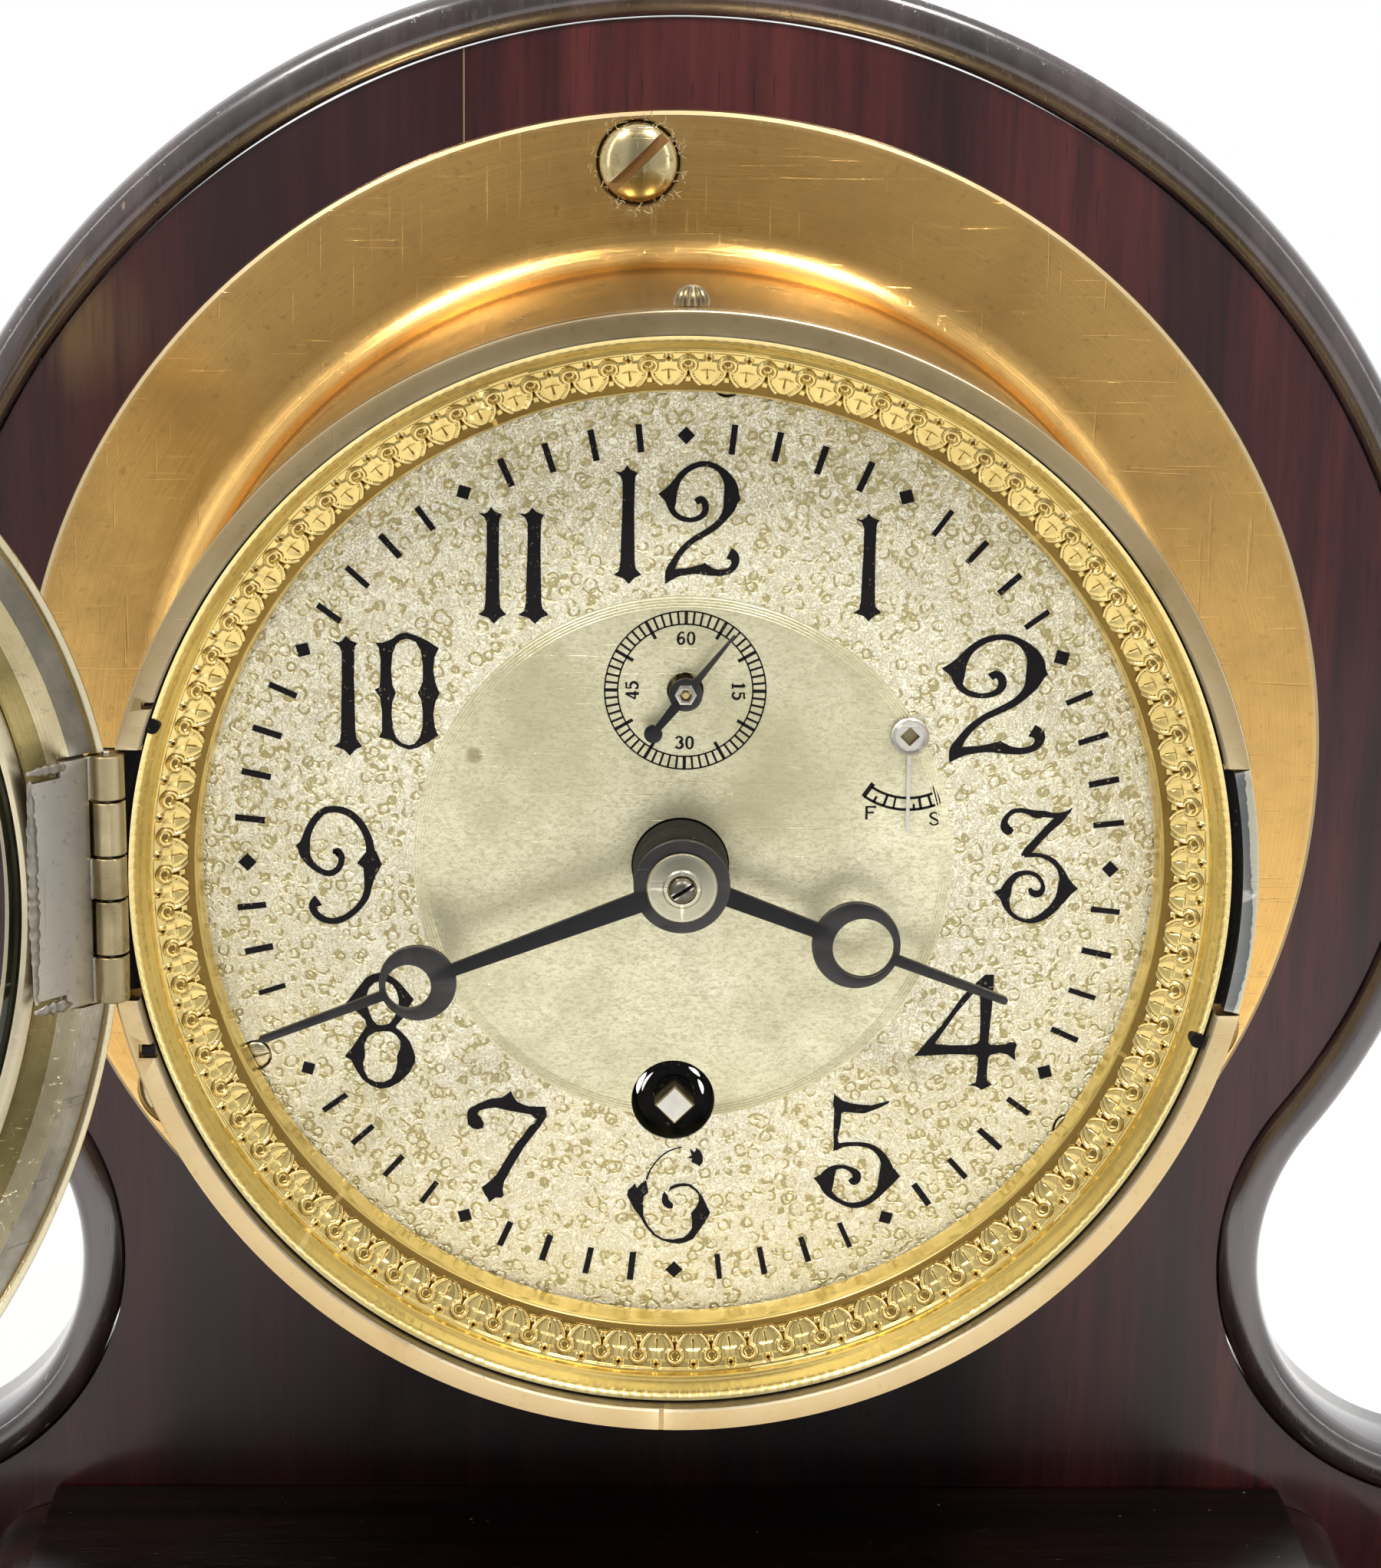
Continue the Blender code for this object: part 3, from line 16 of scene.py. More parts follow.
import bmesh
import bpy
from mathutils import Matrix, Vector

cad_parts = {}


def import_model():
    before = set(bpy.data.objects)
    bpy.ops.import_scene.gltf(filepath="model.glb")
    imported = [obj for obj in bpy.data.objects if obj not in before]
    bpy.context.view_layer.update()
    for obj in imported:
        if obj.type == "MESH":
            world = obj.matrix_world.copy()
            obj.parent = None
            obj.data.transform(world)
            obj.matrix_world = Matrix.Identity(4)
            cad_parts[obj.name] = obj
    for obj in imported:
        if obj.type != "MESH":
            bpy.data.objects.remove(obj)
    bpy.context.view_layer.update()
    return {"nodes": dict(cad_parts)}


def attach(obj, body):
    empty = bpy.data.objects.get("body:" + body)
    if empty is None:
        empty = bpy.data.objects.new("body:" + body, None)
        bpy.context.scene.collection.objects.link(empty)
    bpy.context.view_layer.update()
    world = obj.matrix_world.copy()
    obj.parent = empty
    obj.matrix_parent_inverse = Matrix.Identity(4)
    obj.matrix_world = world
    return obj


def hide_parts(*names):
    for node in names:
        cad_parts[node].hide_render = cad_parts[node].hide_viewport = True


log = logging.getLogger("yacht_clock")

Pair = tuple[float, float]
Point = tuple[float, float, float]
Colour = tuple[float, float, float]
Socket = bpy.types.NodeSocket

MM = 0.001
GAP = 0.3
TURN = 2.0 * math.pi

# Distances in millimetres under which points are joined and slivers are taken out
JOIN = 0.0005
SLIVER = 0.0002

# Places of the clock in the stand's frame, in millimetres
CLOCK_X = -1.0
DIAL_Y = -25.0
AXIS_Z = 135.0

# Hinge of the bezel, half the height of its notch, and how far the bezel stands open
HINGE_X = -66.6
HINGE_D = -13.4
HINGE_Z = 1.6
NOTCH_HALF = 15.1
OPEN_ANGLE = 133.0

# Places on the dial: seconds circle, regulator and winding hole; front and back of the painted marks
SECONDS = (0.3, 21.5)
PIVOT = (27.2, 16.3)
WINDING = (-0.5, -29.85)
WINDING_HOLE_R = 5.1
PAINT = (-0.04, 0.04)


def on_clock(x: float, d: float, z: float) -> Vector:
    """Turn a clock place into metres in the frame."""
    return Vector((CLOCK_X + x, DIAL_Y + d, AXIS_Z + z)) * MM


def in_stand(x: float, y: float, z: float) -> Point:
    """Turn a place in the stand, in millimetres from under its middle, into a clock place."""
    return (x - CLOCK_X, y - DIAL_Y, z - AXIS_Z)


def spread(start: float, end: float, count: int) -> list[float]:
    """Evenly spaced values, both ends included."""
    return [start + (end - start) * i / count for i in range(count + 1)]


def arc(centre: Pair, radius: float, start: float, end: float, count: int) -> list[Pair]:
    """Points along an arc."""
    return [(centre[0] + radius * math.cos(a),
             centre[1] + radius * math.sin(a)) for a in spread(start, end, count)]


def ring_of(centre: Pair, radius: float, count: int) -> list[Pair]:
    """Points of a whole circle."""
    return arc(centre, radius, 0.0, TURN, count)[:-1]


def band(inner: float, outer: float, front: float, back: float) -> list[Pair]:
    """Section of a flat ring, or of a disc where its inner radius is 0."""
    return [(inner, front), (outer, front), (outer, back), (inner, back)]


def polar(radius: float, angle: float) -> Pair:
    """A place at a radius and an angle."""
    return (radius * math.cos(math.radians(angle)), radius * math.sin(math.radians(angle)))


def clockwise(angle: float, along: float, aside: float = 0.0) -> Pair:
    """A place along a line that points at a clock angle."""
    a = math.radians(angle)
    return (along * math.sin(a) + aside * math.cos(a), along * math.cos(a) - aside * math.sin(a))


def smooth(corners: Sequence[Pair], steps: int, closed: bool = False) -> list[Pair]:
    """A smooth curve through corners.

    Args:
        corners: Points that the curve passes through.
        steps: Points for each stretch between two corners.
        closed: Whether the curve comes back to its start.

    Returns:
        The points of the curve.
    """
    count = len(corners)
    stretches = count if closed else count - 1
    points: list[Pair] = []
    for i in range(stretches):
        near = [corners[(i + k) % count] if closed else corners[min(max(i + k, 0), count - 1)]
                for k in (-1, 0, 1, 2)]
        for j in range(steps):
            t = j / steps
            weights = (-0.5 * t + t * t - 0.5 * t ** 3, 1.0 - 2.5 * t * t + 1.5 * t ** 3,
                       0.5 * t + 2.0 * t * t - 1.5 * t ** 3, -0.5 * t * t + 0.5 * t ** 3)
            points.append((sum(w * p[0] for w, p in zip(weights, near)),
                           sum(w * p[1] for w, p in zip(weights, near))))
    if not closed:
        points.append(tuple(corners[-1]))
    return points


def step_up(low: float, high: float, value: float) -> float:
    """Rise smoothly from 0 to 1 as a value goes from low to high."""
    t = min(max((value - low) / (high - low), 0.0), 1.0)
    return t * t * (3.0 - 2.0 * t)


@dataclass
class Draft:
    """A mesh while it is drawn, at clock places in millimetres."""

    points: list[Point] = field(default_factory=list)
    faces: list[tuple[int, ...]] = field(default_factory=list)
    marks: list[int] = field(default_factory=list)

    def face(self, corners: Sequence[Point], mark: int = 0) -> Draft:
        """Add one face.

        Args:
            corners: Its corners in order.
            mark: Number of its finish.

        Returns:
            This draft.
        """
        base = len(self.points)
        self.points.extend(corners)
        self.faces.append(tuple(range(base, base + len(corners))))
        self.marks.append(mark)
        return self

    def grid(self, rows: Sequence[Sequence[Point]], around: bool = False, along: bool = False,
             mark: int | Callable[[int, int], int] = 0) -> Draft:
        """Join rows of points with faces.

        Args:
            rows: Rows with the same number of points.
            around: Whether each row closes on itself.
            along: Whether the last row joins the first.
            mark: Number of the finish, or what gives it from row and column.

        Returns:
            This draft.
        """
        base = len(self.points)
        count = len(rows[0])
        for row in rows:
            self.points.extend(row)
        for i in range(len(rows) if along else len(rows) - 1):
            low = base + i * count
            high = base + (i + 1) % len(rows) * count
            for j in range(count if around else count - 1):
                k = (j + 1) % count
                self.faces.append((low + j, low + k, high + k, high + j))
                self.marks.append(mark(i, j) if callable(mark) else mark)
        return self

    def turned(self, profile: Sequence[Pair], segments: int, centre: Pair = (0.0, 0.0), closed: bool = True,
               marks: Sequence[int] = ()) -> Draft:
        """Revolve a profile about an axis that runs into the clock.

        Args:
            profile: Points of radius and depth.
            segments: Number of sides.
            centre: Where the axis stands on the dial.
            closed: Whether the profile comes back to its start.
            marks: Finish of each stretch of the profile, 0 where it isn't given.

        Returns:
            This draft.
        """
        turns = [TURN * i / segments for i in range(segments)]
        rows = [[(centre[0] + r * math.cos(a), d, centre[1] + r * math.sin(a)) for a in turns]
                for r, d in profile]
        return self.grid(
            rows, around=True, along=closed, mark=lambda i, j: marks[i] if i < len(marks) else 0)

    def plate(self, outline: Sequence[Pair], front: float, back: float,
              holes: Sequence[Sequence[Pair]] = (), mark: int = 0) -> Draft:
        """Add a flat plate with holes.

        Args:
            outline: Its outline on the dial.
            front: Depth of its front.
            back: Depth of its back.
            holes: Outlines of its holes.
            mark: Number of its finish.

        Returns:
            This draft.
        """
        bm = bmesh.new()
        for loop in (outline, *holes):
            corners = [bm.verts.new((x, 0.0, z)) for x, z in loop]
            for i in range(len(corners)):
                bm.edges.new((corners[i - 1], corners[i]))
        bmesh.ops.triangle_fill(bm, use_beauty=True, use_dissolve=False, edges=bm.edges)
        flat = [[(v.co.x, v.co.z) for v in f.verts] for f in bm.faces]
        bm.free()
        for corners in flat:
            self.face([(x, front, z) for x, z in corners], mark)
            self.face([(x, back, z) for x, z in reversed(corners)], mark)
        for loop in (outline, *holes):
            self.grid([[(x, d, z) for x, z in loop] for d in (front, back)], around=True, mark=mark)
        return self

    def skin(self, rows: Sequence[Sequence[Point]], mark: int = 0) -> Draft:
        """Add a closed skin over sections, with both ends filled.

        Args:
            rows: Closed sections with the same number of points.
            mark: Number of its finish.

        Returns:
            This draft.
        """
        self.grid(rows, around=True, mark=mark)
        self.face(rows[0], mark)
        return self.face(list(reversed(rows[-1])), mark)

    def block(self, low: Point, high: Point, mark: int = 0) -> Draft:
        """Add a plain block between two corners."""
        corners = band(low[0], high[0], low[2], high[2])
        return self.skin([[(x, d, z) for x, z in corners] for d in (low[1], high[1])], mark)

    def moved(self, change: Matrix) -> Draft:
        """The same mesh after a change of place."""
        points = [tuple(change @ Vector(p)) for p in self.points]
        return Draft(points, list(self.faces), list(self.marks))

    def add(self, other: Draft) -> Draft:
        """Take in another draft.

        Args:
            other: The draft to take in.

        Returns:
            This draft.
        """
        base = len(self.points)
        self.points.extend(other.points)
        self.faces.extend(tuple(base + i for i in f) for f in other.faces)
        self.marks.extend(other.marks)
        return self

    def mesh(self, name: str, sharp: float = 35.0, bevel: float = 0.0) -> bpy.types.Mesh:
        """Make the mesh in metres in the frame.

        Args:
            name: Name of the mesh.
            sharp: Angle in degrees above which an edge stays sharp.
            bevel: Width that sharp edges are rounded by.

        Returns:
            The mesh.
        """
        mesh = bpy.data.meshes.new(name)
        mesh.from_pydata(self.points, [], self.faces)
        mesh.polygons.foreach_set("material_index", self.marks)
        bm = bmesh.new()
        bm.from_mesh(mesh)
        bmesh.ops.remove_doubles(bm, verts=bm.verts, dist=JOIN)
        bmesh.ops.dissolve_degenerate(bm, edges=bm.edges, dist=SLIVER)
        bmesh.ops.recalc_face_normals(bm, faces=bm.faces)
        if bevel > 0.0:
            edges = [e for e in bm.edges if e.is_manifold and e.calc_face_angle() > math.radians(sharp)]
            bmesh.ops.bevel(
                bm, geom=edges, offset=bevel, segments=2, profile=0.5, affect="EDGES", clamp_overlap=True)
        bmesh.ops.scale(bm, verts=bm.verts, vec=(MM, MM, MM))
        bmesh.ops.translate(bm, verts=bm.verts, vec=on_clock(0.0, 0.0, 0.0))
        bm.to_mesh(mesh)
        bm.free()
        mesh.shade_smooth()
        mesh.set_sharp_from_angle(angle=math.radians(sharp))
        return mesh


# How the bezel and its pieces stand open: turned about the hinge's pin
PIN = Matrix.Translation((HINGE_X, HINGE_D, 0.0))
SWING = PIN @ Matrix.Rotation(math.radians(-OPEN_ANGLE), 4, "Z") @ PIN.inverted()


class Wiring:
    """A node tree while it is wired."""

    def __init__(self, tree: bpy.types.NodeTree) -> None:
        """Take up a tree that is there."""
        self.nodes = tree.nodes
        self.links = tree.links

    def node(self, kind: str, inputs: dict[str | int, object] | None = None,
             **settings: object) -> bpy.types.Node:
        """Add a node.

        Args:
            kind: The node's type.
            inputs: Values or sockets for its inputs, by name or number.
            settings: The node's own settings.

        Returns:
            The node.
        """
        made = self.nodes.new(kind)
        for key, value in settings.items():
            setattr(made, key, value)
        for key, value in (inputs or {}).items():
            self.feed(made.inputs[key], value)
        return made

    def feed(self, socket: Socket, value: object) -> None:
        """Set an input to a value or wire a socket into it.

        Args:
            socket: The input.
            value: A value, a colour or another node's socket.
        """
        if isinstance(value, Socket):
            self.links.new(value, socket)
        elif isinstance(value, tuple) and len(value) == 3 and socket.type == "RGBA":
            socket.default_value = (*value, 1.0)
        else:
            socket.default_value = value

    def math(self, operation: str, *values: object) -> Socket:
        """One step of arithmetic."""
        return self.node("ShaderNodeMath", dict(enumerate(values)), operation=operation).outputs[0]

    def times(self, first: object, second: object) -> Socket:
        """A product."""
        return self.math("MULTIPLY", first, second)

    def span(self, value: object, low: float, high: float, out_low: object = 0.0,
             out_high: object = 1.0) -> Socket:
        """Map a range of a value to another range, and hold it there."""
        made = self.node("ShaderNodeMapRange", {0: value, 1: low, 2: high, 3: out_low, 4: out_high})
        return made.outputs[0]

    def seen(self) -> Socket:
        """1 on rays from the camera, also after glass or gloss, and 0 on light's own ways.

        Returns:
            The value's output.
        """
        path = self.node("ShaderNodeLightPath").outputs
        direct = self.math("MAXIMUM", path["Is Camera Ray"], path["Is Glossy Ray"])
        return self.math("MAXIMUM", direct, path["Is Transmission Ray"])


class Shader(Wiring):
    """A material while it is wired."""

    def __init__(self, name: str, swung: bool = False) -> None:
        """Start a material with its main shader.

        Args:
            name: Name of the material.
            swung: Whether it is for the open bezel, so that its places are those of the closed one.
        """
        self.material = bpy.data.materials.new(name)
        self.material.use_nodes = True
        super().__init__(self.material.node_tree)
        self.surface = self.nodes["Principled BSDF"]
        self.place = self.node("ShaderNodeTexCoord").outputs["Object"]
        if swung:
            turn = Matrix.Rotation(math.radians(OPEN_ANGLE), 3, "Z")
            hinge = on_clock(HINGE_X, HINGE_D, 0.0)
            self.place = self.scaled(
                (1.0, 1.0, 1.0), (0.0, 0.0, math.radians(OPEN_ANGLE)), tuple(hinge - turn @ hinge))

    def set(self, **inputs: object) -> None:
        """Set inputs of the main shader, with _ for a space in a name."""
        for key, value in inputs.items():
            self.feed(self.surface.inputs[key.replace("_", " ")], value)

    def scaled(self, scale: Point, turn: Point = (0.0, 0.0, 0.0), shift: Point = (0.0, 0.0, 0.0),
               place: Socket | None = None) -> Socket:
        """Coordinates that are stretched before they are used.

        Args:
            scale: How much more often a pattern comes along each axis.
            turn: Turn about each axis in radians.
            shift: Shift after the turn.
            place: The coordinates; the object's own where there are none.

        Returns:
            The new coordinates.
        """
        made = self.node("ShaderNodeMapping", {"Vector": place or self.place, "Scale": scale,
                                               "Rotation": turn, "Location": shift})
        return made.outputs["Vector"]

    def noise(self, scale: float, detail: float = 3.0, rough: float = 0.5, place: Socket | None = None,
              bend: float = 0.0) -> Socket:
        """Soft random shade.

        Args:
            scale: How fine it is.
            detail: How many finer layers it has.
            rough: How strong the finer layers are.
            place: Its coordinates; the object's own where there are none.
            bend: How far it is warped.

        Returns:
            The shade, from 0 to 1.
        """
        made = self.node("ShaderNodeTexNoise", {"Vector": place or self.place, "Scale": scale,
                                                "Detail": detail, "Roughness": rough, "Distortion": bend})
        return made.outputs[0]

    def mix(self, share: object, first: object, second: object) -> Socket:
        """Mix two colours."""
        return self.node("ShaderNodeMix", {0: share, 6: first, 7: second}, data_type="RGBA").outputs[2]

    def vector(self, operation: str, first: object, second: object) -> Socket:
        """One step of vector arithmetic."""
        return self.node("ShaderNodeVectorMath", {0: first, 1: second}, operation=operation).outputs[0]

    def across_lines(self) -> Socket:
        """Direction across the fine lines of a piece turned about the clock's axis.

        Returns:
            The direction.
        """
        out = self.vector("SUBTRACT", self.place, tuple(on_clock(0.0, 0.0, 0.0)))
        around = self.vector("CROSS_PRODUCT", out, (0.0, 1.0, 0.0))
        return self.vector("CROSS_PRODUCT", self.node("ShaderNodeNewGeometry").outputs["Normal"], around)

    def radius(self, centre: Pair = (0.0, 0.0)) -> Socket:
        """Distance in millimetres from an axis that runs into the clock.

        Args:
            centre: Where the axis stands on the dial.

        Returns:
            The distance.
        """
        middle = on_clock(centre[0], 0.0, centre[1])
        flat = self.scaled((1000.0, 0.0, 1000.0), shift=(-middle.x * 1000.0, 0.0, -middle.z * 1000.0))
        return self.node("ShaderNodeVectorMath", {0: flat}, operation="LENGTH").outputs["Value"]

    def rough_skin(self, height: Socket, depth: float) -> None:
        """Give the surface a fine relief."""
        bump = self.node("ShaderNodeBump", {"Height": height, "Distance": depth * MM})
        self.set(Normal=bump.outputs[0])


class Grain(Enum):
    """Which way the grain of a wooden piece runs: how many times finer it is in X, Y and Z."""

    UPRIGHT = (1.0, 1.0, 0.055)
    LEVEL = (0.055, 1.0, 1.0)


@dataclass(frozen=True)
class Wood:
    """Polished wood with streaks, open pores and a little dust; the upright board also has a painted
    reflection of the brass and a painted shadow under the clock.
    """

    name: str
    dark: Colour
    mid: Colour
    light: Colour
    grain: Grain
    gloss: float = 0.26
    shine: float = 0.14
    coat: float = 0.7
    # joint also gives the upright board its painted reflection and painted shadow
    joint: bool = False
    joint_x: float = -28.0
    joint_from: Pair = (0.134, 0.136)
    painted_glint: Pair = (-79.0, 59.0)
    shadow: Pair = (0.0, -114.0)

    def material(self) -> bpy.types.Material:
        """Make the finish.

        Returns:
            Its material.
        """
        s = Shader(self.name)
        along = s.scaled(self.grain.value)
        figure = s.noise(42.0, 2.0, 0.5, along, 0.6)
        streaks = s.noise(330.0, 6.0, 0.62, along, 0.25)
        pores = s.noise(2300.0, 2.0, 0.6, along)
        shade = s.math("ADD", s.times(figure, 0.55), s.times(streaks, 0.45))
        lower = s.mix(s.span(shade, 0.38, 0.50), self.dark, self.mid)
        colour = s.mix(s.span(shade, 0.50, 0.66), lower, self.light)
        open_pores = s.span(pores, 0.61, 0.68)
        colour = s.mix(s.times(open_pores, 0.55), colour, self.dark)
        flecks = s.span(s.noise(700.0, 1.0, 0.5, s.scaled((1.0, 1.0, 0.16))), 0.79, 0.82)
        colour = s.mix(s.times(flecks, 0.6), colour, (0.30, 0.24, 0.20))
        coat = self.coat
        if self.joint:
            apart = s.node("ShaderNodeSeparateXYZ", {0: s.place}).outputs
            off = s.math("SUBTRACT", apart["X"], on_clock(self.joint_x, 0.0, 0.0).x)
            colour = s.mix(s.span(off, -0.0001, 0.0001, 0.55, 0.0), colour, self.dark)
            line = s.span(s.math("ABSOLUTE", off), 0.00006, 0.00012, 0.75, 0.0)
            line = s.times(line, s.span(apart["Z"], *self.joint_from))
            colour = s.mix(line, colour, (0.30, 0.20, 0.12))
            # Painted reflection: a warm patch mixed into the board's colour where the brass flange would
            # mirror in it.
            painted_glint = s.span(s.radius(self.painted_glint), 3.0, 11.0, 0.5, 0.0)
            colour = s.mix(s.times(painted_glint, s.span(streaks, 0.35, 0.6)), colour, (0.14, 0.09, 0.03))
            # Painted shadow: within 45 to 85 mm of a point under the clock the board is mixed towards near
            # black and its coat thinned, as if the clock shaded it.
            under = s.radius(self.shadow)
            colour = s.mix(s.span(under, 45.0, 85.0, 0.8, 0.0), colour, (0.001, 0.0004, 0.0008))
            coat = s.span(under, 45.0, 85.0, 0.05, self.coat)
        handled = s.noise(26.0, 5.0, 0.65)
        s.set(Base_Color=colour, Roughness=s.span(handled, 0.35, 0.75, self.gloss, self.gloss + 0.22),
              Coat_Weight=coat, Coat_Roughness=0.16, Specular_IOR_Level=self.shine)
        relief = s.math("SUBTRACT", s.times(streaks, 0.35), open_pores)
        s.rough_skin(relief, 0.035)
        return s.material


@dataclass(frozen=True)
class Metal:
    """Metal with tarnish, fine scratches, turned lines and worn edges, and where asked a painted shade that
    darkens it with distance from a point below the axis.
    """

    name: str
    colour: Colour
    tarnish: Colour
    worn: Colour
    rough: float = 0.24
    spots: float = 0.5
    lines: float = 0.0
    scratches: float = 0.3
    brushed: float = 0.0
    painted_shade_falloff: float = 0.0
    swung: bool = False
    painted_shade_centre: Pair = (0.0, -60.0)

    def material(self) -> bpy.types.Material:
        """Make the finish.

        Returns:
            Its material.
        """
        s = Shader(self.name, self.swung)
        clouds = s.noise(55.0, 5.0, 0.62)
        specks = s.noise(900.0, 3.0, 0.6)
        dull = s.times(s.span(clouds, 0.42, 0.72), self.spots)
        colour = s.mix(dull, self.colour, self.tarnish)
        colour = s.mix(s.times(s.span(specks, 0.60, 0.72), self.spots * 0.6), colour, self.tarnish)
        # Painted shade: more tarnish colour with distance from a point below the axis, so the bezel reads
        # darker above and brighter below.
        if self.painted_shade_falloff > 0.0:
            shade_reach = s.math("ADD", s.radius(self.painted_shade_centre), s.span(clouds, 0.3, 0.7, -18.0, 18.0))
            colour = s.mix(s.span(shade_reach, 25.0, 110.0, 0.0, self.painted_shade_falloff), colour, self.tarnish)
        edge = s.node("ShaderNodeNewGeometry").outputs["Pointiness"]
        rubbed = s.times(s.span(edge, 0.52, 0.60), s.span(clouds, 0.30, 0.55))
        colour = s.mix(rubbed, colour, self.worn)
        first = s.noise(60.0, 2.0, 0.5, s.scaled((1.0, 18.0, 34.0), (0.2, 0.1, 0.9)))
        second = s.noise(60.0, 2.0, 0.5, s.scaled((34.0, 18.0, 1.0), (0.1, 0.3, 0.5)))
        marks = s.math("MAXIMUM", s.span(first, 0.66, 0.72), s.span(second, 0.67, 0.73))
        relief = s.times(marks, -self.scratches)
        rough = s.span(clouds, 0.30, 0.75, self.rough, self.rough * 1.6)
        if self.lines > 0.0:
            rings = s.node("ShaderNodeCombineXYZ", {"X": s.radius()}).outputs[0]
            turned = s.noise(6.0, 5.0, 0.75, rings)
            relief = s.math("ADD", relief, s.times(turned, self.lines))
            streak = s.times(s.span(turned, 0.46, 0.62), min(self.lines * 0.45, 0.7))
            colour = s.mix(streak, colour, self.tarnish)
            rough = s.math("ADD", rough, s.times(s.span(turned, 0.45, 0.7), self.lines * 0.12))
        relief = s.math("ADD", relief, s.times(s.noise(240.0, 3.0, 0.6), 0.35))
        s.set(Base_Color=colour, Metallic=1.0, Roughness=rough)
        if self.brushed > 0.0:
            s.set(Anisotropic=self.brushed, Tangent=s.across_lines())
        s.rough_skin(relief, 0.03)
        return s.material


@dataclass(frozen=True)
class Paint:
    """Paint with pits where the metal shows: black filling of the numerals and lines, and the same black as
    painted shade in holes, slots and gaps.
    """

    name: str
    colour: Colour
    pit: Colour

    def material(self) -> bpy.types.Material:
        """Make the finish.

        Returns:
            Its material.
        """
        s = Shader(self.name)
        pits = s.noise(1900.0, 3.0, 0.7)
        wear = s.noise(260.0, 4.0, 0.6)
        bare = s.times(s.span(pits, 0.63, 0.70), s.span(wear, 0.48, 0.6))
        s.set(Base_Color=s.mix(bare, self.colour, self.pit), Roughness=s.span(wear, 0.3, 0.7, 0.5, 0.8),
              Specular_IOR_Level=0.15)
        s.rough_skin(pits, 0.02)
        return s.material


@dataclass(frozen=True)
class Felt:
    """Wool felt with short fibres."""

    name: str
    colour: Colour
    fibre: Colour

    def material(self) -> bpy.types.Material:
        """Make the finish.

        Returns:
            Its material.
        """
        s = Shader(self.name)
        fibres = s.noise(1500.0, 6.0, 0.75, bend=2.0)
        s.set(Base_Color=s.mix(s.span(fibres, 0.45, 0.65), self.colour, self.fibre), Roughness=0.95,
              Sheen_Weight=0.4, Sheen_Roughness=0.6)
        s.rough_skin(fibres, 0.15)
        return s.material


@dataclass(frozen=True)
class Pane:
    """Old clear glass with a few wipe marks."""

    name: str

    def material(self) -> bpy.types.Material:
        """Make the finish.

        Returns:
            Its material.
        """
        s = Shader(self.name)
        wipes = s.noise(40.0, 4.0, 0.6, s.scaled((1.0, 1.0, 3.0), (0.0, 0.5, 0.0)))
        s.set(Base_Color=(0.97, 0.98, 0.97), Roughness=s.span(wipes, 0.5, 0.8, 0.0, 0.05), IOR=1.5,
              Transmission_Weight=1.0)
        return s.material


@dataclass(frozen=True)
class Punched:
    """Silvered metal covered with small ring punch marks that lie over one another."""

    name: str
    colour: Colour
    shade: Colour
    bright: Colour
    mark_r: float = 0.34

    def ring_marks(self, s: Shader, per_mm: float, shift: float, waver: Socket) -> Socket:
        """One layer of ring marks.

        Args:
            s: The shader.
            per_mm: Marks to a millimetre.
            shift: Where the layer starts, in marks.
            waver: What bends the rings' lines.

        Returns:
            Height of the layer, 1 on a ring's line.
        """
        scale = 1000.0 * per_mm
        flat = s.scaled((scale, 0.0, scale), shift=(shift, 0.0, shift * 1.7))
        cells = s.node("ShaderNodeTexVoronoi", {"Vector": flat, "Scale": 1.0, "Randomness": 0.9})
        out = s.math("ADD", cells.outputs["Distance"], waver)
        off = s.math("ABSOLUTE", s.math("SUBTRACT", out, self.mark_r))
        return s.span(off, 0.03, 0.10, 1.0, 0.0)

    def material(self) -> bpy.types.Material:
        """Make the finish.

        Returns:
            Its material.
        """
        s = Shader(self.name)
        waver = s.span(s.noise(1100.0, 2.0, 0.6), 0.3, 0.7, -0.08, 0.08)
        marks = s.math(
            "MAXIMUM", self.ring_marks(s, 0.44, 0.0, waver), self.ring_marks(s, 0.52, 5.3, waver))
        worms = s.noise(1250.0, 2.5, 0.55, bend=2.0)
        lines = s.span(s.math("ABSOLUTE", s.math("SUBTRACT", worms, 0.5)), 0.008, 0.060, 1.0, 0.0)
        broken = s.span(s.noise(900.0, 2.0, 0.5), 0.32, 0.55)
        grit = s.noise(3600.0, 3.0, 0.7)
        broad = s.noise(30.0, 4.0, 0.6)
        cut = s.math("MAXIMUM", s.times(marks, broken), s.times(lines, 0.55))
        cut = s.math("ADD", cut, s.span(grit, 0.35, 0.7, -0.15, 0.15))
        relief = s.math("SUBTRACT", 1.0, cut)
        colour = s.mix(s.span(cut, 0.15, 0.85), self.colour, self.shade)
        colour = s.mix(s.span(cut, -0.1, 0.12, 0.8, 0.0), colour, self.bright)
        colour = s.mix(s.times(s.span(broad, 0.5, 0.75), 0.25), colour, self.shade)
        s.set(Base_Color=colour, Metallic=0.75, Roughness=s.span(grit, 0.3, 0.7, 0.30, 0.46))
        s.rough_skin(relief, 0.15)
        return s.material


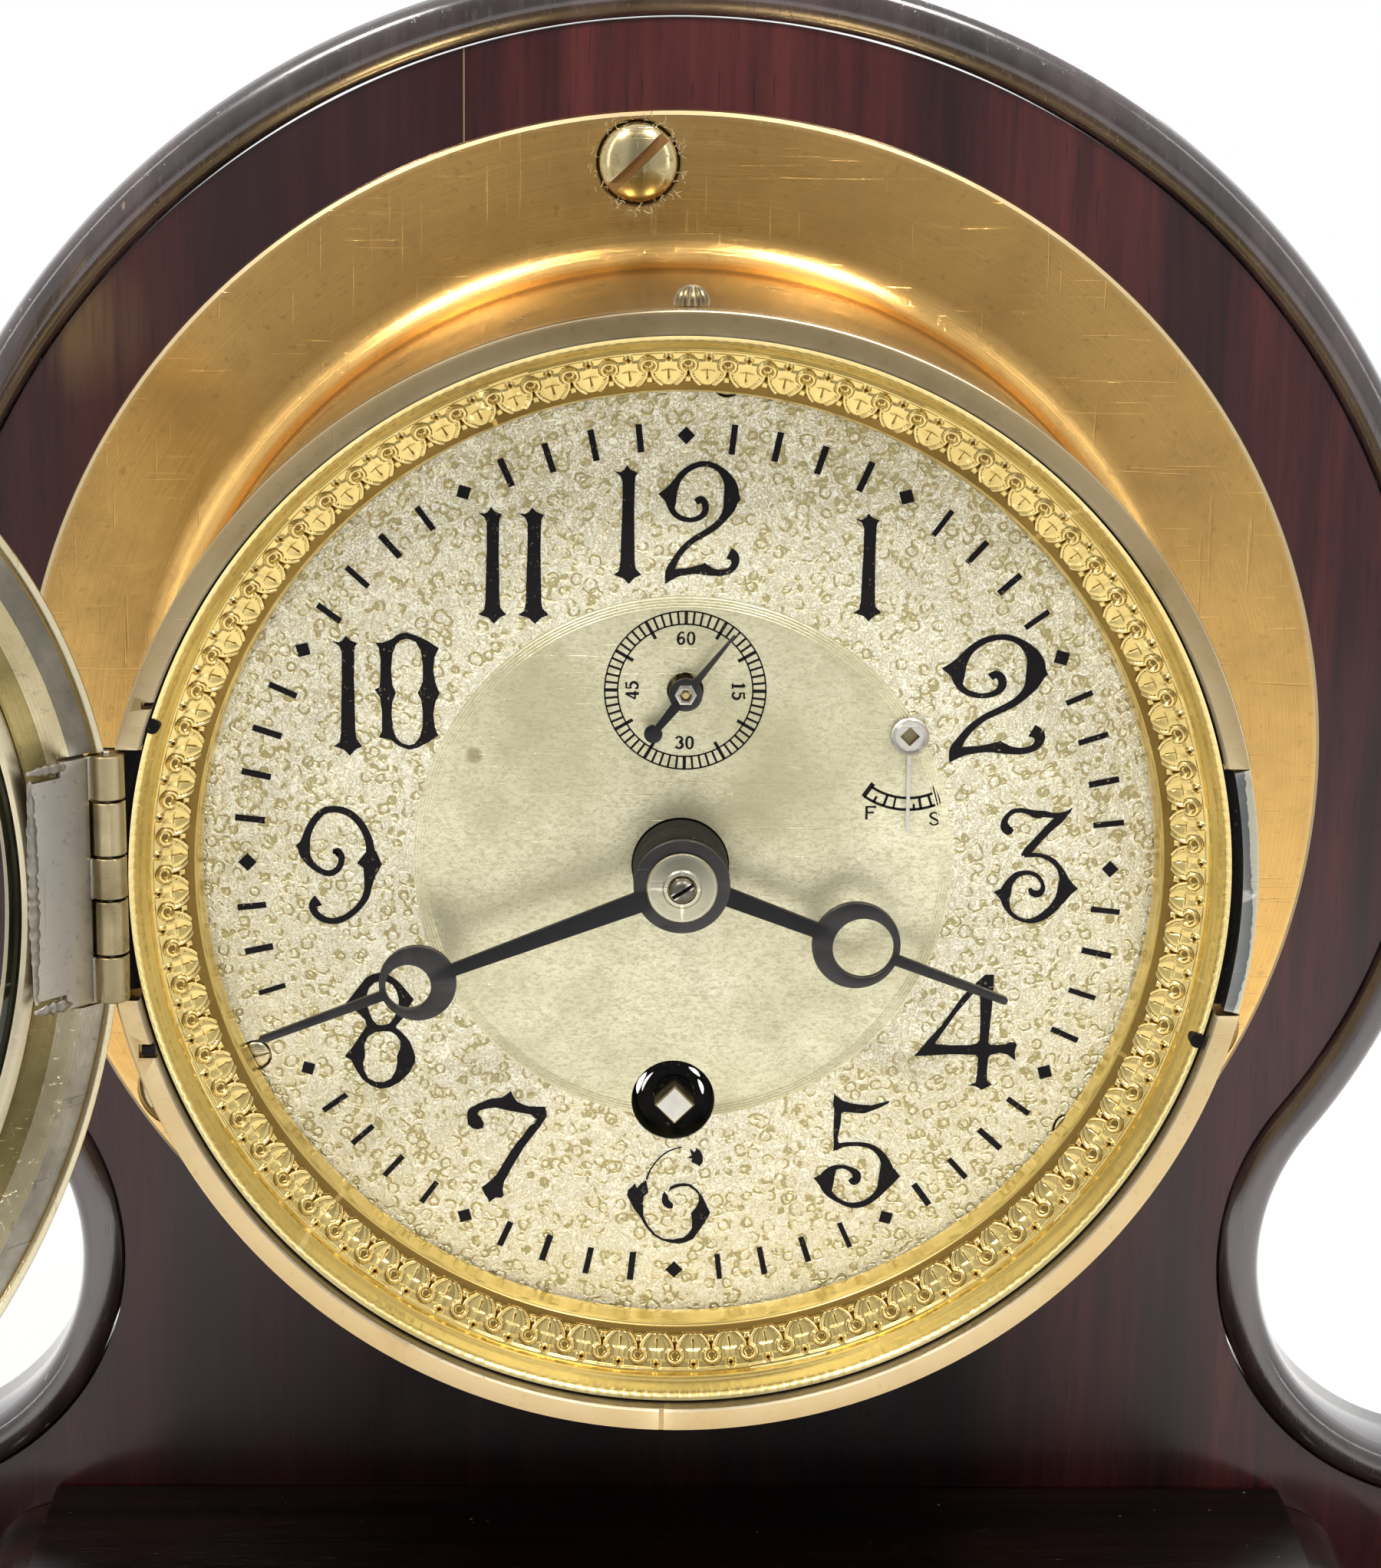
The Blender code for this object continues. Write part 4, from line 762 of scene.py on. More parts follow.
@dataclass(frozen=True)
class Satin:
    """Silvered metal with a fine satin face, a few hair scratches and a brown stain."""

    name: str
    colour: Colour
    shade: Colour
    stain: Colour
    stain_place: Pair = (-24.8, 13.3)

    def material(self) -> bpy.types.Material:
        """Make the finish.

        Returns:
            Its material.
        """
        s = Shader(self.name)
        grit = s.noise(2900.0, 3.0, 0.7, s.scaled((0.5, 1.0, 1.0), (0.0, 0.08, 0.0)), 0.8)
        broad = s.noise(34.0, 4.0, 0.6)
        hair = s.noise(70.0, 1.0, 0.5, s.scaled((1.0, 1.0, 42.0), (0.0, 0.7, 0.0)), 1.2)
        colour = s.mix(s.span(broad, 0.35, 0.75), self.colour, self.shade)
        colour = s.mix(s.times(s.span(grit, 0.44, 0.66), 0.7), colour, self.shade)
        colour = s.mix(
            s.times(s.span(s.radius(self.stain_place), 0.7, 1.2, 1.0, 0.0), 0.6), colour, self.stain)
        s.set(Base_Color=colour, Metallic=0.75, Roughness=s.span(grit, 0.3, 0.7, 0.26, 0.40))
        s.rough_skin(s.math("SUBTRACT", grit, s.span(hair, 0.70, 0.74)), 0.022)
        return s.material


class Finish(Enum):
    """Every finish of the clock."""

    ROSEWOOD = Wood("rosewood_upright", (0.012, 0.0020, 0.0026), (0.034, 0.0055, 0.0065),
                    (0.078, 0.0150, 0.013), Grain.UPRIGHT, joint=True)
    ROSEWOOD_LEVEL = Wood("rosewood_level", (0.005, 0.0015, 0.0017), (0.014, 0.0042, 0.0036),
                          (0.036, 0.010, 0.008), Grain.LEVEL)
    WALNUT = Wood("walnut_level", (0.0015, 0.0008, 0.0007), (0.005, 0.0020, 0.0016), (0.014, 0.005, 0.004),
                  Grain.LEVEL, 0.2, 0.14, 0.1)
    EBONY = Wood("ebonised_bead", (0.012, 0.0070, 0.0075), (0.030, 0.018, 0.018), (0.070, 0.044, 0.045),
                 Grain.UPRIGHT, 0.10, 1.0, 1.0)
    FELT = Felt("green_felt", (0.020, 0.045, 0.028), (0.045, 0.080, 0.050))
    FLANGE = Metal(
        "flange_brass", (0.82, 0.50, 0.16), (0.46, 0.28, 0.10), (1.0, 0.84, 0.50), 0.13, 0.7, 0.9, 0.5, 0.8)
    GROOVE = Metal(
        "gilt_grooves", (0.24, 0.15, 0.038), (0.09, 0.05, 0.014), (0.60, 0.40, 0.12), 0.34, 0.5, 0.0, 0.0)
    DRUM = Metal(
        "drum_brass", (0.52, 0.375, 0.18), (0.22, 0.14, 0.06), (0.95, 0.78, 0.48), 0.19, 0.6, 0.0, 0.12)
    INSIDE = Metal(
        "drum_inside", (0.24, 0.20, 0.14), (0.07, 0.055, 0.04), (0.70, 0.62, 0.46), 0.34, 0.8, 0.0, 0.9)
    GILT = Metal(
        "gilt_ring", (0.80, 0.62, 0.24), (0.40, 0.28, 0.08), (0.96, 0.80, 0.42), 0.20, 0.5, 0.0, 0.0)
    BEZEL = Metal("bezel_face", (0.50, 0.40, 0.20), (0.15, 0.12, 0.065), (0.80, 0.66, 0.40), 0.22, 0.8, 0.9,
                  0.5, painted_shade_falloff=0.5, swung=True)
    BEZEL_INSIDE = Metal("bezel_inside", (0.44, 0.38, 0.26), (0.16, 0.14, 0.10), (0.86, 0.76, 0.54), 0.24,
                         0.9, 0.4, 0.7, swung=True)
    SOLDER = Metal(
        "soldered_leaf", (0.24, 0.225, 0.20), (0.06, 0.055, 0.045), (0.62, 0.57, 0.48), 0.32, 0.9, 0.0, 1.0)
    RABBET = Metal("bezel_rabbet", (0.50, 0.46, 0.38), (0.11, 0.10, 0.08), (0.80, 0.76, 0.68), 0.22, 0.9,
                   0.9, 1.2, painted_shade_falloff=0.6, swung=True)
    # Painted highlight: pale cream brass for the bands of the bezel where light catches them.
    BEZEL_CREAM = Metal("bezel_painted_highlight", (0.90, 0.80, 0.54), (0.26, 0.21, 0.11), (0.98, 0.90, 0.66), 0.20,
                        0.7, 0.9, 0.9, painted_shade_falloff=0.6, swung=True)
    BEZEL_GOLD = Metal("bezel_gold", (0.62, 0.48, 0.20), (0.14, 0.12, 0.05), (0.85, 0.70, 0.36), 0.22, 0.9,
                       0.9, 0.9, painted_shade_falloff=0.7, swung=True)
    PATINA = Metal("bezel_patina", (0.20, 0.21, 0.12), (0.09, 0.12, 0.07), (0.55, 0.50, 0.28), 0.30, 0.9,
                   0.3, 0.6, swung=True)
    CATCH = Metal(
        "catch_steel", (0.12, 0.135, 0.14), (0.05, 0.055, 0.06), (0.50, 0.50, 0.48), 0.30, 0.6, 0.0, 0.8)
    KNUCKLE = Metal(
        "hinge_brass", (0.21, 0.165, 0.085), (0.08, 0.055, 0.025), (0.60, 0.50, 0.30), 0.24, 0.7)
    MOVEMENT = Metal(
        "movement_plates", (0.62, 0.45, 0.18), (0.36, 0.24, 0.09), (0.90, 0.74, 0.42), 0.22, 0.4)
    # Dark dull metal: painted shade for the hour wheel's pipe under the hands, the regulator's post and the
    # arbor in the winding hole.
    PIPE = Metal("dull_pipe_painted_shade", (0.045, 0.036, 0.023), (0.016, 0.012, 0.008), (0.34, 0.28, 0.16), 0.4, 0.7)
    STEEL = Metal("worked_steel", (0.42, 0.40, 0.35), (0.14, 0.12, 0.10), (0.78, 0.75, 0.68), 0.22, 0.6)
    # Bright steel, used as painted highlight on the winding bush and on the edges of the hand screw's slot.
    BRIGHT = Metal("bright_steel_and_painted_highlight", (0.92, 0.91, 0.86), (0.50, 0.48, 0.42), (1.0, 1.0, 0.96), 0.2, 0.4)
    SCREW = Metal(
        "brass_screw", (0.64, 0.53, 0.29), (0.24, 0.17, 0.06), (0.95, 0.86, 0.62), 0.16, 0.8, 0.0, 0.6)
    DARK_SCREW = Metal(
        "blued_screw", (0.10, 0.09, 0.075), (0.03, 0.025, 0.02), (0.36, 0.33, 0.28), 0.3, 0.5)
    HANDS = Metal("blackened_steel", (0.026, 0.026, 0.028), (0.010, 0.010, 0.011), (0.20, 0.19, 0.18), 0.32,
                  0.5, 0.0, 0.8)
    WASHER = Metal(
        "silvered_washer", (0.52, 0.50, 0.38), (0.28, 0.26, 0.18), (0.90, 0.86, 0.70), 0.2, 0.6, 0.5)
    RUST = Paint("slot_dirt", (0.20, 0.105, 0.035), (0.40, 0.26, 0.10))
    # Fresh brass for the scratches, and as a painted highlight line on the flange's rounded edge.
    SCRATCH = Metal("fresh_brass_and_painted_highlight", (0.86, 0.66, 0.36), (0.50, 0.36, 0.16), (1.0, 0.86, 0.56), 0.3, 0.5)
    # Black filling for the numerals and marks, also used as painted shade in holes, slots, notches and
    # gaps.
    BLACK = Paint("black_filling_and_painted_shade", (0.006, 0.005, 0.006), (0.30, 0.26, 0.17))
    PUNCHED = Punched("punched_silver", (1.0, 0.96, 0.74), (0.46, 0.40, 0.20), (1.0, 1.0, 0.90))
    SATIN = Satin("satin_silver", (0.97, 0.93, 0.68), (0.46, 0.42, 0.24), (0.26, 0.20, 0.08))
    GLASS = Pane("old_glass")

    def dressed(self) -> bpy.types.Material:
        """The material, made on first use."""
        return bpy.data.materials.get(self.value.name) or self.value.material()


def place_piece(name: str, draft: Draft, finishes: Sequence[Finish],
                stands_for: Sequence[str] = (), body: str = "case", sharp: float = 35.0, bevel: float = 0.0,
                tools: Sequence[Draft] = ()) -> bpy.types.Object:
    """Make a piece, cut it, dress it and tie it to its CAD body.

    Args:
        name: Name of the piece.
        draft: Its mesh.
        finishes: Its finishes, in the order of the draft's marks.
        stands_for: CAD nodes that it replaces.
        body: CAD body that it rides on.
        sharp: Angle in degrees above which an edge stays sharp.
        bevel: Width that sharp edges are rounded by, in millimetres.
        tools: Meshes to cut out of it.

    Returns:
        The piece.
    """
    piece = bpy.data.objects.new(name, draft.mesh(name, sharp, bevel))
    bpy.context.scene.collection.objects.link(piece)
    for finish in finishes:
        piece.data.materials.append(finish.dressed())
    for number, tool_draft in enumerate(tools):
        tool = bpy.data.objects.new("tool", tool_draft.mesh("tool"))
        bpy.context.scene.collection.objects.link(tool)
        cutter = piece.modifiers.new("cut", "BOOLEAN")
        cutter.operation = "DIFFERENCE"
        cutter.solver = "EXACT"
        cutter.object = tool
        bpy.context.view_layer.update()
        shaped = bpy.data.meshes.new_from_object(piece.evaluated_get(bpy.context.evaluated_depsgraph_get()))
        piece.modifiers.remove(cutter)
        bpy.data.objects.remove(tool)
        piece.data = shaped
        log.debug("%s cut %d", name, number)
    if tools:
        piece.data.set_sharp_from_angle(angle=math.radians(sharp))
    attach(piece, body)
    if stands_for:
        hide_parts(*stands_for)
    log.info("%s: %d faces on %s", name, len(piece.data.polygons), body)
    return piece


@dataclass
class Stand:
    """Wooden stand: board with its bead, block with its moulding, plinth on felt. Sizes in millimetres."""

    board_front: float = 50.6
    board_thick: float = 14.0
    bottom: float = 11.6
    head_z: float = -0.9
    head_r: float = 106.9
    shoulder_r: float = 88.0
    neck: Pair = (113.4, -70.2)
    neck_r: float = 31.0
    foot_half: float = 121.0
    foot_corner_r: float = 6.9
    bead_w: float = 5.7
    bead_rise: float = 1.8
    head_drop: float = 1.7
    head_narrow: float = 0.5
    block_half: float = 87.0
    block_front: float = -27.0
    block_top: float = 29.9
    plinth_half: Pair = (124.0, 49.0)
    plinth_top: float = 11.3
    felt_thick: float = 1.5
    felt_inset: float = 3.0
    fray: float = 0.25

    def half_outline(self, inset: float) -> list[Pair]:
        """Right half of the outline, from the foot up to the top of the head.

        Args:
            inset: How far inside the bead's outside it lies.

        Returns:
            Points right of the middle and above the axis.
        """
        head = (0.0, self.head_z - (self.head_drop if inset else 0.0))
        head_r = self.head_r - (inset - self.head_narrow if inset else 0.0)
        shoulder_r = self.shoulder_r - inset
        neck_r = self.neck_r + inset
        span = math.dist(head, self.neck)
        along = ((head_r - shoulder_r) ** 2 - (shoulder_r + neck_r) ** 2 + span ** 2) / (2.0 * span)
        aside = math.sqrt((head_r - shoulder_r) ** 2 - along ** 2)
        ux, uz = (self.neck[0] - head[0]) / span, (self.neck[1] - head[1]) / span
        shoulder = max(((head[0] + along * ux - side * aside * uz,
                         head[1] + along * uz + side * aside * ux) for side in (1, -1)), key=lambda p: p[1])
        corner_r = max(self.foot_corner_r - inset, 0.6)
        corner = (self.foot_half - inset - corner_r, self.neck[1] - neck_r - corner_r)
        to_neck = math.atan2(self.neck[1] - shoulder[1], self.neck[0] - shoulder[0])
        to_head = math.atan2(shoulder[1] - head[1], shoulder[0] - head[0])
        points = [(self.foot_half - inset, self.bottom - AXIS_Z)]
        points += arc(corner, corner_r, 0.0, math.pi / 2.0, 12)
        points += arc(self.neck, neck_r, 1.5 * math.pi, math.pi + to_neck, 40)
        points += arc(shoulder, shoulder_r, to_neck, to_head, 32)[1:]
        points += arc(head, head_r, to_head, math.pi / 2.0, 64)[1:]
        return points

    def outline(self, inset: float) -> list[Pair]:
        """The whole outline, from the right foot over the head to the left one."""
        right = self.half_outline(inset)
        return [(x - CLOCK_X, z) for x, z in right + [(-x, z) for x, z in reversed(right[:-1])]]

    def build_board(self) -> None:
        """The backboard, with the fine joint line of its veneer."""
        draft = Draft().plate(
            self.outline(self.bead_w + GAP), self.board_front, self.board_front + self.board_thick)
        place_piece("stand_board", draft, [Finish.ROSEWOOD], ["backboard"], bevel=0.1)

    def build_bead(self) -> None:
        """The half round bead round the board's edge, with a small quirk at its inner side."""
        crest = self.board_front - self.bead_rise
        back = self.board_front + self.board_thick
        section = smooth([(0.0, crest + 1.9), (0.1, crest + 0.9), (0.28, crest + 0.2), (0.5, crest),
                          (0.75, crest + 0.35), (0.92, crest + 1.2), (1.0, crest + 2.6)], 4)
        section += [(1.0, back - 0.6), (0.93, back), (0.0, back)]
        rows = []
        for (xi, zi), (xo, zo) in zip(self.outline(self.bead_w), self.outline(0.0)):
            rows.append([(xi + (xo - xi) * t, d, zi + (zo - zi) * t) for t, d in section])
        draft = Draft().skin(rows)
        place_piece("stand_bead", draft, [Finish.EBONY], ["edge_bead"], sharp=40.0)

    def build_block(self) -> None:
        """The base block and the moulding that runs round its front and sides."""
        back = DIAL_Y + self.board_front - GAP
        draft = Draft().block(in_stand(-self.block_half, self.block_front, self.bottom),
                              in_stand(self.block_half, back, self.block_top))
        place_piece("stand_block", draft, [Finish.WALNUT], ["base_block"], bevel=0.55)

        foot = self.bottom
        ogee = smooth([(0.4, 27.0), (2.2, 26.5), (5.2, 25.1), (7.8, 22.4), (9.4, 19.2), (10.9, 17.0),
                       (12.3, 14.9)], 5)
        profile = [(GAP, 26.9), *ogee, (12.5, 14.3), (13.4, 14.0), (13.5, 13.7), (13.5, foot), (GAP, foot)]
        rows = []
        for side, y, step in (
                (-1, back, 0), (-1, self.block_front, -1), (1, self.block_front, -1), (1, back, 0)):
            rows.append([in_stand(side * (self.block_half + n), y + step * n, z) for n, z in profile])
        draft = Draft().skin(rows)
        place_piece(
            "stand_moulding", draft, [Finish.ROSEWOOD_LEVEL], ["base_moulding"], sharp=30.0)

    def build_plinth(self) -> None:
        """The plinth with its rounded edge."""
        x_half, y_half = self.plinth_half
        low, high = self.felt_thick + GAP, self.plinth_top
        edge = [(1.6, low), (0.5, low + 0.3), (0.05, low + 1.2), (0.0, low + 2.2), (0.0, high - 3.0),
                (0.15, high - 1.7), (0.7, high - 0.6), (1.9, high)]
        rows = [[in_stand(sx * (x_half - n), sy * (y_half - n), z)
                 for sx, sy in ((-1, -1), (1, -1), (1, 1), (-1, 1))] for n, z in edge]
        place_piece("stand_plinth", Draft().skin(rows), [Finish.ROSEWOOD_LEVEL], ["plinth"],
                    bevel=0.3, sharp=50.0)

    def build_felt(self) -> None:
        """The felt under the plinth, with its frayed edge."""
        thick = self.felt_thick
        edge = [(0.5, 0.0), (0.1, 0.25), (0.0, 0.7), (0.1, thick - 0.2), (0.4, thick)]
        x_half, y_half = (half - self.felt_inset for half in self.plinth_half)
        rng = random.Random(11)
        rows = []
        for n, z in edge:
            row = []
            for sx, sy, tx, ty, count in (
                    (-1, -1, 1, 0, 60), (1, -1, 0, 1, 24), (1, 1, -1, 0, 60), (-1, 1, 0, -1, 24)):
                for i in range(count):
                    fray = rng.uniform(0.0, self.fray)
                    x = sx * (x_half - n - fray) + tx * 2.0 * x_half * i / count
                    y = sy * (y_half - n - fray) + ty * 2.0 * y_half * i / count
                    row.append(in_stand(x, y, z))
            rows.append(row)
        place_piece("stand_felt", Draft().skin(rows), [Finish.FELT], ["felt_base"], sharp=60.0)

    def build(self) -> None:
        """Build the whole stand."""
        self.build_board()
        self.build_bead()
        self.build_block()
        self.build_plinth()
        self.build_felt()


def upright(radius: float, low: float, high: float, place: Pair, segments: int = 40,
            round_off: float = 0.12) -> Draft:
    """An upright pin or knuckle with slightly rounded ends.

    Args:
        radius: Its radius.
        low: Height of its lower end.
        high: Height of its upper end.
        place: Where it stands: right of the axis and behind the dial's face.
        segments: Number of sides.
        round_off: How far its ends are rounded.

    Returns:
        Its mesh.
    """
    draft = Draft().turned(
        [(0.0, low), (radius - round_off, low), (radius, low + round_off), (radius, high - round_off),
         (radius - round_off, high), (0.0, high)], segments, closed=False)
    stand_up = Matrix(
        ((1.0, 0.0, 0.0, place[0]), (0.0, 0.0, 1.0, place[1]), (0.0, 1.0, 0.0, 0.0), (0.0, 0.0, 0.0, 1.0)))
    return draft.moved(stand_up)


def slot_tool(centre: Pair, head_d: float, deep: float, long: float, wide: float, angle: float) -> Draft:
    """The cutter for a screw's slot.

    Args:
        centre: Where the screw stands.
        head_d: Depth of the head's front.
        deep: How deep the slot is.
        long: Half its length.
        wide: Its width.
        angle: Degrees from the right, against the clock.

    Returns:
        The cutter.
    """
    tool = Draft().block((-long, head_d - 1.0, -wide / 2.0), (long, head_d + deep, wide / 2.0))
    turn = Matrix.Rotation(-math.radians(angle), 4, "Y")
    return tool.moved(Matrix.Translation((centre[0], 0.0, centre[1])) @ turn)


@dataclass
class Hinge:
    """The hinge between case and bezel: its knuckles by height, and its leaves. Sizes in millimetres."""

    barrel_r: float = 2.1
    pin_r: float = 0.5
    leaf_half: float = 14.7
    bezel_knuckles: tuple[Pair, ...] = ((11.0, 16.5), (-0.8, 4.4), (-13.3, -7.5))
    case_knuckles: tuple[Pair, ...] = ((4.4, 11.0), (-7.5, -0.8))

    def knuckles(self, spans: Sequence[Pair]) -> Draft:
        """The knuckles of one leaf, each a short tube.

        Args:
            spans: Lowest and highest point of each.

        Returns:
            Their mesh.
        """
        draft = Draft()
        for low, high in spans:
            draft.add(upright(self.barrel_r, low + GAP / 2.0, high - GAP / 2.0, (HINGE_X, HINGE_D)))
        return draft

    def build_case_leaf(self) -> None:
        """The leaf on the drum, with webs that rise to its knuckles, black as painted shade in the gap
        behind them.
        """
        low, high = HINGE_Z - self.leaf_half, HINGE_Z + self.leaf_half
        leaf = Draft().block((HINGE_X - 0.9, -10.9, low), (HINGE_X + 1.3, -10.0, high))
        for span in self.case_knuckles:
            leaf.block((HINGE_X - 0.8, HINGE_D + 1.0, span[0] + GAP / 2.0),
                       (HINGE_X + 1.2, -10.5, span[1] - GAP / 2.0))
        # Painted shade: the leaf is black so the gap behind the knuckles reads dark.
        place_piece(
            "hinge_leaf_on_case", leaf, [Finish.BLACK], ["hinge_case_leaf"], bevel=0.1)
        place_piece(
            "hinge_knuckles_on_case", self.knuckles(self.case_knuckles), [Finish.KNUCKLE])

    def build_pin(self) -> None:
        """The pin, which ends in both outer knuckles."""
        pin = upright(self.pin_r, self.bezel_knuckles[-1][0] - 0.2, self.bezel_knuckles[0][1] + 0.2,
                      (HINGE_X, HINGE_D), 24, 0.1)
        place_piece("hinge_steel_pin", pin, [Finish.STEEL], ["hinge_pin"])

    def build_bezel_leaf(self) -> None:
        """The leaf that is soldered to the bezel, and its knuckles."""
        low, high = HINGE_Z - self.leaf_half, HINGE_Z + self.leaf_half
        start = HINGE_X + self.barrel_r + GAP
        outline = [(start, low), (-60.2, low), (-60.2, low + 1.8), (-56.0, low + 1.8), (-56.0, high - 1.8),
                   (-60.2, high - 1.8), (-60.2, high), (start, high)]
        leaf = Draft().plate(outline, -14.5, -13.6)
        for span in self.bezel_knuckles:
            leaf.block(
                (HINGE_X + 0.4, -14.5, span[0] + GAP / 2.0), (start + 0.5, -13.6, span[1] - GAP / 2.0))
        place_piece("hinge_leaf_on_bezel", leaf.moved(SWING), [Finish.SOLDER],
                    ["hinge_bezel_leaf"], body="bezel", bevel=0.12)
        place_piece("hinge_knuckles_on_bezel", self.knuckles(self.bezel_knuckles).moved(SWING),
                    [Finish.KNUCKLE], body="bezel")

    def build_solder(self) -> None:
        """Rough solder along the edges of the bezel's leaf."""
        low, high = HINGE_Z - self.leaf_half, HINGE_Z + self.leaf_half
        rng = random.Random(7)
        solder = Draft()
        for x, z, length, (level, up) in ((-58.6, high - 0.6, 6.0, (1, 0)), (-58.6, low + 0.6, 6.0, (1, 0)),
                                          (-56.0, HINGE_Z, 2.0 * self.leaf_half - 3.0, (0, 1))):
            rows = []
            count = int(length * 2.0)
            for i in range(count + 1):
                along = length * (i / count - 0.5)
                fat = math.sin(math.pi * min(max(i / count, 0.03), 0.97)) ** 0.4 * rng.uniform(0.45, 0.95)
                row = []
                for a in spread(0.0, TURN, 12)[:-1]:
                    aside = fat * math.cos(a)
                    row.append((x + along * level + aside * up, 0.5 * fat * math.sin(a) - 13.75,
                                z + along * up + aside * level))
                rows.append(row)
            solder.skin(rows)
        place_piece(
            "hinge_solder", solder.moved(SWING), [Finish.SOLDER], body="bezel", sharp=80.0)

    def build(self) -> None:
        """Build the hinge."""
        self.build_case_leaf()
        self.build_pin()
        self.build_bezel_leaf()
        self.build_solder()


@dataclass
class Case:
    """Drum with its flange, screws, stud and catch spring. Sizes in millimetres."""

    sides: int = 216
    wall_r: float = 67.3
    rim_r: float = 67.8
    bore_r: float = 65.0
    rim_d: float = -13.0
    rim_step_d: float = -9.2
    cove_r: float = 5.2
    flange_r: float = 87.4
    flange_d: float = 47.9
    flange_t: float = 2.4
    ledge: tuple[float, float, float] = (61.2, 1.5, 5.0)
    screw_ring_r: float = 80.8
    screw_angles: tuple[float, ...] = (93.9, 213.9, 333.9)
    head_r: float = 5.15
    shank_r: float = 2.0
    screw_long: float = 13.0
    scratches: int = 70
    catch_mid: float = 0.5
    catch_r: float = 67.0
    shade_r: float = 64.9
    catch_notch: float = 15.0
    notch_floor: float = -10.0
    stud_place: Pair = (0.3, -4.0)
    stud_r: float = 2.1
    flutes: int = 18
    pits: tuple[Point, ...] = ((-62.9, -19.7, 0.85), (-62.1, 21.9, 0.4))
    stud_low: float = 67.6
    stud_high: float = 69.9

    def drum_tools(self) -> Draft:
        """Cutters for the notches in the rim and the sinks of the flange screws.

        Returns:
            All cutters in one mesh.
        """
        tools = Draft()
        low, high = HINGE_Z - NOTCH_HALF, HINGE_Z + NOTCH_HALF
        tools.block(
            (-self.rim_r - 3.0, self.rim_d - 1.0, low), (-self.bore_r + 6.0, self.notch_floor + GAP, high))
        low, high = self.catch_mid - self.catch_notch, self.catch_mid + self.catch_notch
        tools.block((self.bore_r - 8.0, self.rim_d - 1.0, low), (self.rim_r + 3.0, self.notch_floor, high))
        tools.block(
            (-2.0, self.rim_d - 1.0, -self.rim_r - 1.0), (-1.4, self.rim_d + 0.5, -self.bore_r + 1.0))
        for x, z, half in self.pits:
            tools.block((x - half, self.rim_d - 1.0, z - half), (x + 1.6, self.rim_d + 1.2, z + half))
        front, back = self.flange_d, self.flange_d + self.flange_t
        sink, bore = self.head_r + 0.5, self.shank_r + GAP
        profile = [(0.0, front - 1.0), (sink, front - 1.0), (sink, front + 0.5), (bore, front + 1.9),
                   (bore, back + 1.0), (0.0, back + 1.0)]
        for angle in self.screw_angles:
            tools.turned(profile, 48, polar(self.screw_ring_r, angle), closed=False)
        return tools

    def build_drum(self) -> None:
        """The drum, turned in one piece with its cove and flange."""
        back = self.flange_d + self.flange_t
        ledge_r, ledge_front, ledge_back = self.ledge
        bore, rim, lip, step = self.bore_r, self.rim_r, self.rim_d, self.rim_step_d
        edge, front = self.flange_r, self.flange_d
        inside = [(0.0, back - 2.1), (bore, back - 2.1), (bore, ledge_back), (ledge_r, ledge_back),
                  (ledge_r, ledge_front), (bore, ledge_front), (bore, lip + 0.25)]
        outside = [(bore + 0.25, lip), (rim - 0.45, lip), (rim - 0.12, lip + 0.14), (rim, lip + 0.45),
                   (rim, step - 0.1), (rim - 0.1, step + 0.1), (self.wall_r, step + 0.4)]
        cove = [(self.wall_r + self.cove_r * (1.0 - math.cos(a)),
                 front - self.cove_r * (1.0 - math.sin(a))) for a in spread(0.0, math.pi / 2.0, 14)]
        flange = [
            (edge - 1.4, front), (edge - 0.7, front + 0.15), (edge - 0.2, front + 0.6), (edge, front + 1.4),
            (edge - 0.4, back), (edge - 6.0, back), (edge - 6.6, back - 0.6), (0.0, back - 0.6)]
        profile = inside + outside + cove + flange
        marks = [1] * len(inside) + [0] * (len(outside) + 3) + [2] * (len(cove) + len(flange))
        # The flange's rounded outer edge takes the fresh brass as a painted highlight line.
        marks[len(inside) + len(outside) + len(cove) + 1] = 3
        draft = Draft().turned(profile, self.sides, closed=False, marks=marks)
        place_piece("drum_and_flange", draft, [Finish.DRUM, Finish.INSIDE, Finish.FLANGE, Finish.SCRATCH],
                    ["case_drum"], sharp=28.0, tools=[self.drum_tools()])

    def build_screws(self) -> None:
        """The three domed screws of the flange, with dirt in their slots."""
        front = self.flange_d
        dome = smooth([(0.0, front - 1.9), (1.3, front - 1.85), (2.6, front - 1.6), (3.8, front - 1.15),
                       (4.7, front - 0.55), (self.head_r, front + 0.05)], 3)
        profile = [*dome, (self.head_r, front + 0.3), (self.shank_r, front + 1.5),
                   (self.shank_r, front + self.screw_long - 2.0), (0.0, front + self.screw_long)]
        dirt = Draft()
        for number, angle in enumerate(self.screw_angles, start=1):
            centre = polar(self.screw_ring_r, angle)
            draft = Draft().turned(profile, 64, centre, closed=False)
            tool = slot_tool(centre, front - 1.9, 1.25, self.head_r + 1.0, 1.4, 44.0)
            dirt.add(slot_tool(centre, front + 0.2, -0.65, self.head_r - 0.4, 1.36, 44.0))
            place_piece(f"domed_screw_{number}", draft, [Finish.SCREW], [f"flange_screw_{number}"],
                        tools=[tool])
        place_piece("screw_slot_dirt", dirt, [Finish.RUST])

